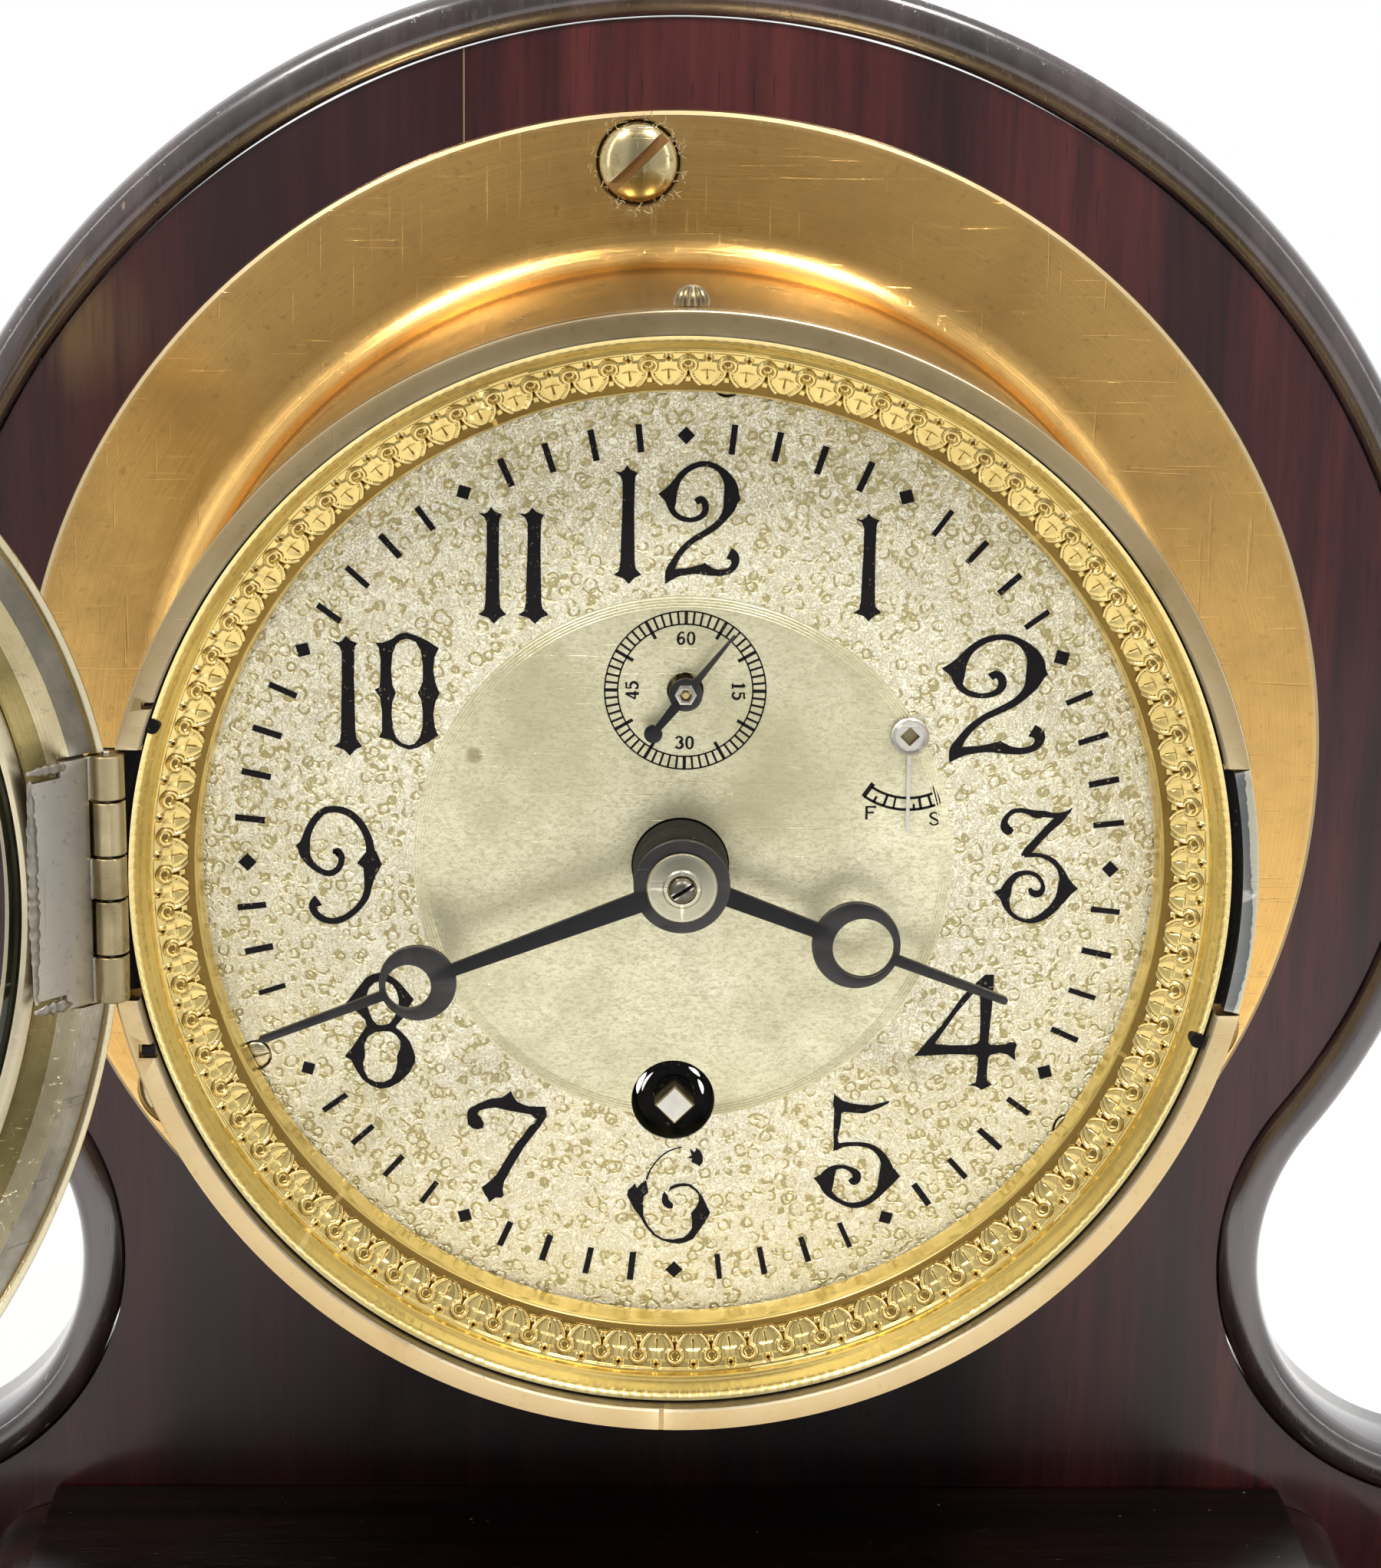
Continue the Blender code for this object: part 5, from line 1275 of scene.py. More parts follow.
    def build_scratches(self) -> None:
        """Short scratches round the top screw, where a driver slipped."""
        hand = random.Random(21)
        middle = polar(self.screw_ring_r, self.screw_angles[0])
        marks = Draft()
        for _ in range(self.scratches):
            x, z = polar(self.head_r + hand.uniform(0.65, 1.1) ** 4, hand.uniform(0.0, 360.0))
            angle, long = hand.uniform(0.0, 180.0), hand.uniform(0.15, 0.6)
            bent = hand.uniform(-0.25, 0.25)
            line = smooth([(-long, 0.0), (0.0, bent), (long, 0.0)], 3)
            wide = hand.uniform(0.03, 0.07)
            edge = [(a, b + wide) for a, b in line] + [(a, b - wide) for a, b in reversed(line)]
            turned = [clockwise(angle, a, b) for a, b in edge]
            marks.plate([(middle[0] + x + a, middle[1] + z + b) for a, b in turned], self.flange_d - 0.02,
                        self.flange_d + 0.02)
        place_piece("flange_scratches", marks, [Finish.SCRATCH])

    def build_stud(self) -> None:
        """The small stud on top of the drum, a dome with flutes that meet at its top."""
        count = self.flutes * 8
        low, high = self.stud_low, self.stud_high
        dome = [(self.stud_r, low), (self.stud_r, low + 0.55), (1.95, low + 1.05), (1.6, low + 1.6),
                (1.05, low + 2.05), (0.5, high - 0.05), (0.2, high)]
        rows = []
        for radius, height in dome:
            deep = 0.16 * step_up(0.0, 1.2, radius)
            row = []
            for i in range(count):
                a = TURN * i / count
                r = radius - deep * (0.5 - 0.5 * math.cos(self.flutes * a)) ** 0.6
                row.append(
                    (self.stud_place[0] + r * math.cos(a), self.stud_place[1] + r * math.sin(a), height))
            rows.append(row)
        draft = Draft().skin(rows)
        draft.add(upright(1.0, self.bore_r + GAP, low, self.stud_place, 32, 0.05))
        place_piece("top_stud", draft, [Finish.KNUCKLE], ["fluted_stud"], sharp=50.0)

    def notch(self, mid: float, half: float) -> Pair:
        """Middle and half of a notch in the rim as angles, from its heights."""
        return (math.asin(mid / self.catch_r), math.asin((half - GAP) / self.catch_r))

    def build_catch(self) -> None:
        """The curved spring that closes the catch's notch, and black sheets of painted shade in the catch's
        and the hinge's notches and in the rim's pits.
        """
        mid, half = self.notch(self.catch_mid, self.catch_notch)
        hand = random.Random(3)
        floor = self.notch_floor - GAP
        rows = []
        for a in spread(mid - half, mid + half, 70):
            rubbed = 66.9 - 0.35 * math.sin(14.0 * a) + hand.uniform(-0.1, 0.1)
            section = ((65.8, floor), (65.8, -12.5), (65.9, -12.6), (rubbed, -12.6), (67.5, -12.55),
                       (67.65, -12.35), (67.65, floor))
            rows.append([(r * math.cos(a), d, r * math.sin(a)) for r, d in section])
        draft = Draft().skin(rows)
        # Painted shade: the spring's inner face is black; its rubbed outer edge is washer silver.
        section_marks = (2, 0, 0, 1, 1, 0, 0)
        draft.marks = [section_marks[i % 7] for i in range(len(draft.faces) - 2)] + [0, 0]
        place_piece(
            "catch_strip", draft, [Finish.CATCH, Finish.WASHER, Finish.BLACK], ["catch_spring"])
        hinge_mid, hinge_half = self.notch(HINGE_Z, NOTCH_HALF)
        floor = self.notch_floor
        shade = Draft()
        for mid, half, outer, near, far in (
                (mid, half, 65.75, floor - 0.2, floor - 0.05),
                (math.pi - hinge_mid, hinge_half, 67.7, floor + 0.05, floor + 0.2)):
            slot = arc((0.0, 0.0), outer, mid - half, mid + half, 40)
            slot += arc((0.0, 0.0), self.shade_r, mid + half, mid - half, 40)
            shade.plate(slot, near, far)
        # Black plates as painted shade in the rim's pits, so they read as dark holes.
        for x, z, half in self.pits:
            shade.block((x - half + GAP, self.rim_d + 0.3, z - half + GAP),
                        (x + 1.0, self.rim_d + 1.1, z + half - GAP))
        place_piece("catch_slot_shade", shade, [Finish.BLACK])

    def build(self) -> None:
        """Build the case."""
        self.build_drum()
        self.build_screws()
        self.build_scratches()
        self.build_stud()
        self.build_catch()


@dataclass
class Bezel:
    """The hinged bezel with its glass, drawn closed and swung open. Sizes in millimetres."""

    sides: int = 216
    out_r: float = 68.4
    glass_r: float = 59.4
    glass_d: float = -19.9
    glass_t: float = 1.6

    def build_ring(self) -> None:
        """The turned ring, with the pockets for the hinge leaf."""
        outside = [(self.out_r, -13.35), (self.out_r, -16.2), (68.25, -17.0),
                   *smooth([(67.2, -19.8), (65.9, -21.1), (64.0, -22.0), (62.0, -22.5), (60.0, -22.6),
                            (58.5, -22.3), (57.4, -21.7)], 4), (57.0, -21.0), (56.8, -20.2)]
        inside = [(59.8, -20.2), (59.8, -17.6), (60.3, -17.1), (61.6, -16.2), (62.0, -15.7), (63.4, -14.4),
                  (64.0, -13.95), (67.15, -13.9), (67.3, -13.75), (67.45, -13.25), (68.2, -13.2)]
        # Marks: outside face; then patina, gold band, painted highlight band, rabbet, dark groove line, and
        # painted highlight on the back edge.
        marks = [0] * (len(outside) - 1) + [1, 1, 2, 2, 2, 3, 3, 4, 5, 6, 6, 6]
        draft = Draft().turned(outside + inside, self.sides, marks=marks)
        low, high = HINGE_Z - NOTCH_HALF, HINGE_Z + NOTCH_HALF
        pocket = Draft().block((-72.0, -17.2, low), (-64.0, -11.0, high))
        shallow = Draft().block((-66.0, -14.8, low), (-54.0, -11.0, high))
        bands = [Finish.BEZEL, Finish.PATINA, Finish.BEZEL_GOLD, Finish.BEZEL_CREAM, Finish.RABBET,
                 Finish.GROOVE, Finish.BEZEL_CREAM]
        cutters = [pocket.moved(SWING), shallow.moved(SWING)]
        place_piece("bezel_turned_ring", draft.moved(SWING), bands, ["bezel_ring"],
                    body="bezel", sharp=28.0, tools=cutters)

    def build_glass(self) -> None:
        """The flat glass with a ground edge, and the ring that keeps it in."""
        front, back = self.glass_d, self.glass_d + self.glass_t
        draft = Draft().turned([(0.0, front), (self.glass_r - 1.6, front), (self.glass_r, front + 0.4),
                                (self.glass_r, back), (0.0, back)], self.sides, closed=False)
        place_piece("bezel_pane", draft.moved(SWING), [Finish.GLASS], ["bezel_glass"],
                    body="bezel", sharp=10.0)
        keep = back + GAP
        draft = Draft().turned([(57.5, keep), (59.5, keep), (59.5, keep + 0.7), (59.1, keep + 1.1),
                                (58.3, keep + 1.2), (57.6, keep + 0.9)], self.sides)
        place_piece("bezel_keeper", draft.moved(SWING), [Finish.BEZEL_INSIDE],
                    ["glass_retaining_ring"], body="bezel")

    def build(self) -> None:
        """Build the bezel."""
        self.build_ring()
        self.build_glass()


Stroke = tuple[tuple[float, float, float], ...]


@dataclass(frozen=True)
class Figure:
    """A numeral: strokes of changing width, and flat shapes of which the first has holes. Y runs down."""

    strokes: tuple[Stroke, ...] = ()
    shapes: tuple[tuple[Pair, ...], ...] = ()
    hole: tuple[Pair, ...] = ()
    second_hole: tuple[Pair, ...] = ()
    layer: float = 0.004

    def ribbons(self) -> list[list[tuple[Pair, Pair]]]:
        """Left and right edge of each stroke.

        Returns:
            For each stroke, its pairs of edge points.
        """
        made = []
        for stroke in self.strokes:
            middle = smooth([(x, y) for x, y, _ in stroke], 4)
            half = [w for w, _ in smooth([(w, 0.0) for _, _, w in stroke], 4)]
            pairs = []
            for i, (x, y) in enumerate(middle):
                before, after = middle[max(i - 1, 0)], middle[min(i + 1, len(middle) - 1)]
                length = math.dist(before, after) or 1.0
                nx, ny = -(after[1] - before[1]) / length, (after[0] - before[0]) / length
                pairs.append(((x + nx * half[i], y + ny * half[i]), (x - nx * half[i], y - ny * half[i])))
            made.append(pairs)
        return made

    def draw(self, draft: Draft, low: Pair, high: Pair, turn: float = 0.0) -> None:
        """Draw the numeral into a box on the dial.

        Args:
            draft: Where it is drawn.
            low: Left and lower edge of its box.
            high: Right and upper edge.
            turn: Degrees that it is turned clockwise about the box's middle.
        """
        front, back = PAINT
        ribbons = self.ribbons()
        every = [p for pairs in ribbons for pair in pairs for p in pair]
        every += [p for shape in self.shapes for p in shape]
        x0, x1 = min(p[0] for p in every), max(p[0] for p in every)
        y0, y1 = min(p[1] for p in every), max(p[1] for p in every)
        middle = ((low[0] + high[0]) / 2.0, (low[1] + high[1]) / 2.0)

        def fit(p: Pair) -> Pair:
            """A drawn point as a place on the dial.

            Args:
                p: The point.

            Returns:
                The place.
            """
            x = (p[0] - x0) / (x1 - x0) * (high[0] - low[0]) + low[0] - middle[0]
            z = (y1 - p[1]) / (y1 - y0) * (high[1] - low[1]) + low[1] - middle[1]
            dx, dz = clockwise(turn, z, x)
            return (middle[0] + dx, middle[1] + dz)

        for layer, pairs in enumerate(ribbons):
            near = front - self.layer * layer
            rows = []
            for left, right in pairs:
                (ax, az), (bx, bz) = fit(left), fit(right)
                rows.append([(ax, near, az), (bx, near, bz), (bx, back, bz), (ax, back, az)])
            draft.skin(rows)
        for number, shape in enumerate(self.shapes):
            both = (self.hole, self.second_hole) if number == 0 else ()
            holes = [[fit(p) for p in hole] for hole in both if hole]
            draft.plate([fit(p) for p in shape], front - self.layer * (len(ribbons) + number), back, holes)


FIGURES = {
    "1": Figure(shapes=(((13.5, 13.5), (20, 14.5), (24, 12), (27, 7.5), (31, 12), (38.5, 15), (36, 19),
        (35.5, 24), (35, 50), (35.5, 80), (36, 105), (37, 112), (43, 119), (36, 122), (30, 128.5),
        (24, 122.5), (13.5, 119), (19.5, 115), (21, 105), (21.5, 80), (22.5, 50), (22.5, 24), (20, 18)),)),
    "2": Figure(strokes=(((92, 47, 3.5), (97, 44, 3.5), (101.5, 48, 3.6), (102, 56, 3.4), (97, 62, 2.8),
        (88, 65, 2.4), (79, 64, 2.6), (71, 60, 2.8), (66, 53, 3.4), (65, 44, 5.5), (68, 33, 5),
        (73, 24, 3.6), (79, 17, 3.2), (87, 11.5, 3), (96, 8.5, 2.8), (106, 8.5, 2.8), (116, 13, 3.2),
        (124, 21, 5), (129, 31, 7), (130, 42, 7.5), (127, 53, 6), (121, 63, 4), (112, 72, 3.4),
        (100, 79.5, 3.2), (89, 86, 3), (79, 95, 3.2), (71, 106, 3.4), (65, 118, 4.4), (61.5, 128, 1.2)),
        ((61, 130, 0.6), (66, 122.5, 4.4), (74, 119, 4), (84, 117.5, 3.4), (94, 116, 4.2),
        (102, 115.5, 5.6), (111, 118, 3.8), (121, 118.5, 3.2), (130, 115.5, 3.2), (134.5, 109, 4),
        (133.5, 102, 5.4), (128, 98.5, 6))), shapes=(((52, 39), (60, 33), (69, 24.5), (73, 29), (71, 47),
        (69, 56), (62.5, 49)), ((122, 28), (132, 28), (137, 36), (139.5, 44), (133, 51), (126, 60),
        (121, 55)), ((97, 112), (102.5, 108.5), (108, 113)))),
    "3": Figure(strokes=(((31, 36, 2.4), (27, 38.5, 5), (22.5, 35, 5.4), (21.5, 29, 4), (24.5, 22.5, 2.8),
        (31, 17, 2.6), (40, 15.5, 2.6), (50, 17.5, 3.2), (58, 20, 4.4), (68, 19.5, 3.6), (78, 21, 3),
        (88, 21, 3.4), (96, 17, 2), (100, 12.5, 0.4)), ((93, 18.5, 3), (86, 25, 4.8), (76, 33.5, 4.6),
        (66, 44, 4.4), (56, 55, 4.6), (49, 62.5, 4.6), (42.5, 66.5, 0.5)), ((46, 67, 2), (55, 66, 2.4),
        (64, 66.5, 2.2), (73, 69, 2.6), (81, 73.5, 3), (88, 81, 3.2), (93, 91, 5), (95, 103, 8),
        (90, 116, 6), (82, 127, 5), (72, 135.5, 4.5), (60, 141, 3.2), (49, 141, 2.2), (38, 137, 2.2),
        (30, 129, 3), (26, 119, 5), (26, 108, 6.5), (30, 98, 4.6), (37, 90, 3.6), (46, 86.5, 2.6),
        (56, 87, 2.4), (64, 91.5, 2.4), (69, 99, 2.2), (69, 106, 3.2), (64, 110.5, 4), (57, 109, 3.6),
        (54, 104, 2))), shapes=(((90, 88), (99, 92), (105, 99), (111, 104), (103, 111), (94, 122)),
        ((34, 94), (22, 104), (12, 108.5), (19, 116), (29, 130)))),
    "4": Figure(shapes=(((77, 20), (86.5, 11), (96.5, 10.5), (96.5, 29), (95.5, 50), (94, 70), (93, 87),
        (95, 90), (103, 90), (112, 89.5), (118, 86.5), (123.5, 87.5), (125, 90.5), (123, 98), (124.5, 108),
        (115, 101), (106, 99), (96, 101.5), (93.5, 105), (92.5, 120), (93, 131), (98.5, 135.5),
        (87.5, 141.5), (80, 137), (72, 136.5), (80.5, 133), (81.5, 120), (82, 105), (79, 101.5), (50, 101),
        (30, 102.5), (10.5, 103.5), (14, 99), (25, 85), (40, 68), (52, 50), (63, 34)),), hole=((82, 38),
        (83, 60), (83, 85), (80, 88.5), (73, 90.5), (50, 90.8), (34, 90), (33.5, 88), (46, 69), (56, 54),
        (71, 36), (79, 26))),
    "5": Figure(strokes=(((36, 71, 3.4), (45, 67.5, 2.8), (56, 66.5, 2.3), (68, 67, 2.6), (79, 70.5, 3),
        (88, 78, 4), (94, 88, 5.5), (96, 100, 8.5), (94, 111, 8), (89, 121.5, 5), (81, 130.5, 3.8),
        (71, 137, 3.5), (60, 139.5, 3.4), (50, 138, 2.6), (40, 133, 2.6), (31, 126, 4), (26, 117, 6),
        (25.5, 107, 7), (30, 99, 4.6), (37, 94.5, 3), (45, 93.5, 2.2), (53, 96, 2.8), (60, 101, 4.6),
        (61.5, 107, 5), (58, 111, 4.4), (53.5, 108, 2.4)),), shapes=(((33.5, 6), (34.5, 8.5), (43, 15),
        (52, 18), (62, 19.5), (76, 20.5), (85, 18), (96, 15), (96, 17.5), (88, 22), (80, 25.5), (68, 30),
        (59, 29.5), (45, 28.5), (42, 30), (41.5, 42), (38.8, 58), (39, 63), (41, 66), (46, 66.5), (40, 72),
        (34, 75), (34, 68), (33.5, 56), (33.5, 40), (33.5, 25), (32, 20)), ((91, 88), (105, 96),
        (111.5, 104.5), (104, 113), (95, 122), (86, 120)), ((38, 94), (26, 100), (12, 107), (19, 116),
        (25, 125), (33, 125)))),
    "6": Figure(strokes=(((86, 12.5, 0.7), (75, 15, 0.8), (64, 21, 0.9), (54, 31, 0.9), (46, 43, 1.0),
        (42, 55, 1.2)),), shapes=(((27, 60), (30, 66), (35, 60), (41.5, 56), (44.5, 72), (38.5, 77),
        (38, 90), (38.5, 103), (44, 115), (54, 127), (64, 133), (76, 134), (87, 131.5), (90, 133),
        (85, 139.5), (74, 138.5), (62, 135), (52, 129), (43, 119), (38, 111), (33, 102), (26, 93), (21, 83),
        (17.5, 76), (18.5, 69), (24, 64)), ((84, 134), (91, 130), (97, 125), (100, 118), (100, 108),
        (98.5, 99), (105, 91), (108.5, 82), (107.5, 74), (102, 68), (95, 63.5), (86, 63.5), (77, 66),
        (70, 70), (72, 64), (80, 60.5), (89, 59.5), (98, 61), (106, 68), (113, 77), (118.5, 89), (123, 98),
        (120, 105), (115, 113), (108, 124), (102, 133), (93, 137), (85, 139.5)), ((64, 70), (69, 76),
        (70, 81), (76, 88), (75, 93), (69, 92.5), (64, 89.5), (61.5, 84), (62, 76)), ((104.5, 13),
        (110, 18), (112.5, 25), (112.5, 32), (108.5, 37), (104, 34), (98, 31), (99, 27), (93, 26),
        (98.5, 23), (96, 14), (102, 19)))),
    "7": Figure(shapes=(((18, 37), (20.5, 32), (31, 26), (45, 20), (60, 18), (64, 15), (70, 10), (74, 18),
        (78, 23.5), (85, 27), (92, 29), (111.5, 29.5), (112.5, 42), (106, 53), (96, 66), (86, 80), (78, 94),
        (70, 108), (65, 118), (61.5, 125), (60.5, 133), (61.5, 141), (59, 144), (52, 143.5), (44, 150),
        (43, 145.5), (39, 140), (35, 131), (44, 124), (52, 116), (58, 106), (64, 95), (70, 85), (78, 73),
        (85, 65), (90, 57), (93, 53), (99, 50), (100, 45), (94, 39), (85, 37.5), (70, 35), (62, 33),
        (52, 30.5), (42, 32), (33, 34.5), (30, 38.5), (34, 42.5), (38, 51), (37, 56), (31, 58), (25, 57),
        (19, 52), (18, 44)),)),
    "8": Figure(shapes=(((51, 22), (43, 23.5), (35, 28), (27, 37), (19, 47), (11, 56), (18, 60), (27, 67),
        (34, 74), (35.5, 80), (27, 92), (20, 102), (9.5, 114), (17, 118), (23, 129), (30, 139), (40, 146),
        (51, 149.5), (62, 148), (74, 142), (85, 132), (92, 120), (92.5, 114), (90, 106), (86, 97), (78, 88),
        (70, 82), (70.5, 79.5), (78, 72), (84, 61), (91, 51), (84, 43), (77, 35), (70, 29), (62, 24)),),
        hole=((52, 31), (45, 33), (38.5, 39), (36, 47), (36.5, 57), (39, 66), (43, 74), (48, 79),
        (56, 79.5), (63, 77), (69, 69), (73, 60), (73.5, 51), (71, 42), (66, 35), (59, 31.5)),
        second_hole=((56, 86), (46, 87), (37, 92), (32.5, 101), (33.5, 110), (33.5, 114), (31, 121),
        (32, 129), (37, 138), (46, 142), (56, 142), (64, 138), (69, 130), (71, 121), (71, 113), (74.5, 105),
        (75, 97), (70, 90), (64, 86.5))),
    "9": Figure(strokes=(((55, 68, 3), (56.5, 65, 4.6), (61, 70, 3.8), (61, 77, 3.4), (57.5, 84, 3.4),
        (51, 88.5, 3.3), (43, 88.5, 3.2), (34, 83.5, 3.4), (25.5, 75, 4.4), (21, 64, 6.4), (23.5, 50, 4.6),
        (28, 38, 4), (35, 27.5, 3.8), (44, 20, 3.6), (56, 18.5, 3.6), (68, 21.5, 3.8), (78, 29, 3.9),
        (86, 40, 4), (91, 52, 4.2), (93, 65, 5), (95, 78, 8.6), (92, 90, 6.4), (90, 103, 4.2),
        (87, 115, 3.8), (80, 125.5, 3.4), (71, 134, 3.4), (60, 140.5, 3.4), (49, 142, 3.4), (39, 139, 3.6),
        (31.5, 132, 4), (30.5, 124, 5), (36, 119, 6.6)),), shapes=(((25, 42), (19, 52), (12, 59), (19, 70),
        (27, 78), (27.5, 55)), ((88, 65), (78, 77.5), (85, 83), (86, 100), (93, 100), (105, 79),
        (99, 64)))),
    "0": Figure(shapes=(((53, 29), (60, 29), (70, 25), (78, 19.5), (86, 18.5), (96, 21.5), (108, 27),
        (119, 34), (114.5, 43), (113, 56), (115, 69), (119.5, 80.5), (115, 90), (113, 102), (114.5, 116),
        (118, 124), (108, 131), (96, 137), (87, 139), (76, 135), (68, 129), (55.5, 126.5), (59, 120),
        (59, 100), (57, 85), (51.5, 77), (56.5, 75), (57.5, 65), (58, 45), (56.5, 35)),),
        hole=((86.5, 24.5), (95, 28), (100, 37), (102, 52), (102, 68), (98.5, 77), (96.5, 80), (100, 87),
        (101.8, 100), (101.5, 115), (98.5, 126), (93, 133), (87, 134.5), (80, 132.5), (74, 127),
        (70.5, 118), (69, 102), (70, 90), (73.8, 80), (70, 72), (69, 56), (70.5, 40), (74, 31),
        (79, 26.2))),
    "F": Figure(strokes=(((20, 0, 8), (20, 50, 8), (20, 100, 8)), ((20, 6, 6), (50, 6, 6), (82, 6, 8)),
        ((20, 48, 6), (45, 48, 6), (68, 48, 8)))),
    "S": Figure(strokes=(((78, 22, 7), (65, 8, 6), (45, 2, 6), (25, 12, 7), (22, 32, 8), (45, 50, 9),
        (68, 66, 8), (74, 84, 7), (58, 98, 6), (38, 100, 6), (18, 82, 8)),)),
    "small 0": Figure(strokes=(((50, 0, 7), (22, 15, 12), (14, 50, 15), (22, 85, 12), (50, 100, 7),
        (78, 85, 12), (86, 50, 15), (78, 15, 12), (50, 0, 7)),)),
    "small 1": Figure(strokes=(((24, 20, 6), (50, 3, 8)), ((52, 0, 15), (52, 50, 15), (52, 100, 15)),
        ((22, 97, 6), (50, 97, 6), (82, 97, 6)))),
    "small 3": Figure(strokes=(((16, 18, 11), (45, 2, 7), (76, 14, 11), (78, 32, 13), (50, 46, 7)),
        ((50, 47, 7), (82, 60, 13), (82, 82, 14), (50, 98, 8), (14, 84, 12)))),
    "small 4": Figure(strokes=(((66, 0, 9), (38, 35, 8), (8, 70, 7)), ((4, 71, 7), (50, 71, 7),
        (98, 71, 7)), ((68, 0, 12), (68, 60, 15), (68, 100, 15)))),
    "small 5": Figure(strokes=(((84, 6, 9), (50, 8, 7), (24, 6, 7)), ((24, 5, 7), (23, 24, 7), (22, 44, 7)),
        ((22, 46, 7), (50, 38, 8), (80, 54, 12), (82, 74, 14), (64, 94, 10), (40, 98, 8), (14, 84, 12)))),
    "small 6": Figure(strokes=(((82, 12, 10), (55, 1, 7), (26, 22, 11), (14, 60, 15), (26, 90, 11),
        (50, 99, 8), (76, 86, 12), (84, 66, 13), (70, 48, 9), (46, 46, 8), (20, 64, 9)),)),
}


@dataclass
class Dial:
    """The dial: punched ring, satin middle, numerals, marks, seconds circle and the regulator's scale."""

    middle: Pair = (0.35, 0.5)
    satin_r: float = 31.0
    edge_lines: tuple[float, ...] = (31.15, 31.5, 31.85, 32.2)
    edge_ridge: tuple[float, float, float] = (0.11, 0.03, 0.13)
    edge_r: float = 32.5
    outer_r: float = 63.8
    thick: float = 1.2
    centre_hole_r: float = 5.9
    pivot_hole_r: float = 1.5
    screw_hole_r: float = 1.95
    seconds_hole_r: float = 2.2
    seconds_r: Pair = (8.05, 9.6)
    seconds_figures_r: float = 6.35
    mark_r: Pair = (50.1, 53.6)
    mark_half: float = 0.36
    diamond_r: float = 52.0
    diamond_half: float = 1.05
    screws: tuple[Pair, ...] = ((56.9, 205.4), (58.6, 325.4), (58.6, 85.4))
    scale_ends: Pair = (214.8, 155.3)
    scale_r: Pair = (7.75, 9.2)

    # Angle clockwise from the top, inner end, half the width
    scale_bars: tuple[tuple[float, float, float], ...] = (
        (215.0, 7.3, 0.28), (206.3, 8.45, 0.15), (198.2, 7.75, 0.16), (190.6, 7.75, 0.12),
        (175.0, 8.5, 0.14), (169.8, 7.75, 0.16), (161.5, 7.9, 0.16), (155.2, 6.95, 0.28))

    # Figure, left and right edge, lower and upper edge
    numerals: tuple[tuple[str, Pair, Pair], ...] = (
        ("1", (-8.4, -5.1), (34.3, 48.4)), ("2", (-3.2, 6.5), (34.4, 49.0)),
        ("1", (20.1, 23.4), (30.1, 43.0)), ("2", (30.8, 43.5), (13.0, 28.7)),
        ("3", (38.0, 48.2), (-7.0, 7.5)), ("4", (29.0, 41.5), (-28.3, -13.5)),
        ("5", (17.0, 27.7), (-43.8, -28.8)), ("6", (-6.0, 4.3), (-48.6, -35.9)),
        ("7", (-25.7, -16.0), (-43.3, -28.8)), ("8", (-40.6, -32.0), (-28.6, -13.8)),
        ("9", (-46.2, -35.9), (-7.7, 7.0)), ("1", (-41.5, -38.1), (13.2, 27.8)),
        ("0", (-36.6, -28.9), (14.0, 28.2)), ("1", (-24.3, -21.0), (29.4, 43.3)),
        ("1", (-19.6, -16.0), (29.4, 43.3)))

    def build_face(self) -> None:
        """The plate in one piece, with its holes cut."""
        top, floor, deep = self.edge_ridge
        lines: list[Pair] = []
        for r in self.edge_lines:
            lines += [(r - top, 0.0), (r - floor, -deep), (r + floor, -deep), (r + top, 0.0)]
        profile = [(0.0, 0.0), (self.satin_r, 0.0), *lines, (self.edge_r, 0.0), (self.outer_r, 0.0),
                   (self.outer_r, self.thick), (0.0, self.thick)]
        satin = [1] * (len(lines) + 2)
        draft = Draft().turned(profile, 240, self.middle, marks=[*satin, 0, 0, 0])
        tools = Draft()
        holes = [((0.0, 0.0), self.centre_hole_r), (SECONDS, self.seconds_hole_r),
                 (WINDING, WINDING_HOLE_R), (PIVOT, self.pivot_hole_r)]
        holes += [(polar(*place), self.screw_hole_r) for place in self.screws]
        for centre, radius in holes:
            tools.turned(band(0.0, radius, -1.0, self.thick + 1.0), 64, centre)
        place_piece("dial_face", draft, [Finish.PUNCHED, Finish.SATIN], ["dial_plate"],
                    sharp=60.0, tools=[tools])

    def build_numerals(self) -> None:
        """The twelve hours."""
        draft = Draft()
        for figure, (left, right), (low, high) in self.numerals:
            FIGURES[figure].draw(draft, (left, low), (right, high))
        place_piece("dial_hour_numerals", draft, [Finish.BLACK])

    def mark_at(self, draft: Draft, centre: Pair, angle: float, span: Pair, half: float) -> None:
        """A bar that points at a centre.

        Args:
            draft: Where it is drawn.
            centre: What it points at.
            angle: Degrees clockwise from the top.
            span: Its distances from the centre.
            half: Half its width.
        """
        corners = [clockwise(angle, along, aside) for along, aside in (
                       (span[0], -half), (span[1], -half), (span[1], half), (span[0], half))]
        draft.plate([(centre[0] + x, centre[1] + z) for x, z in corners], *PAINT)

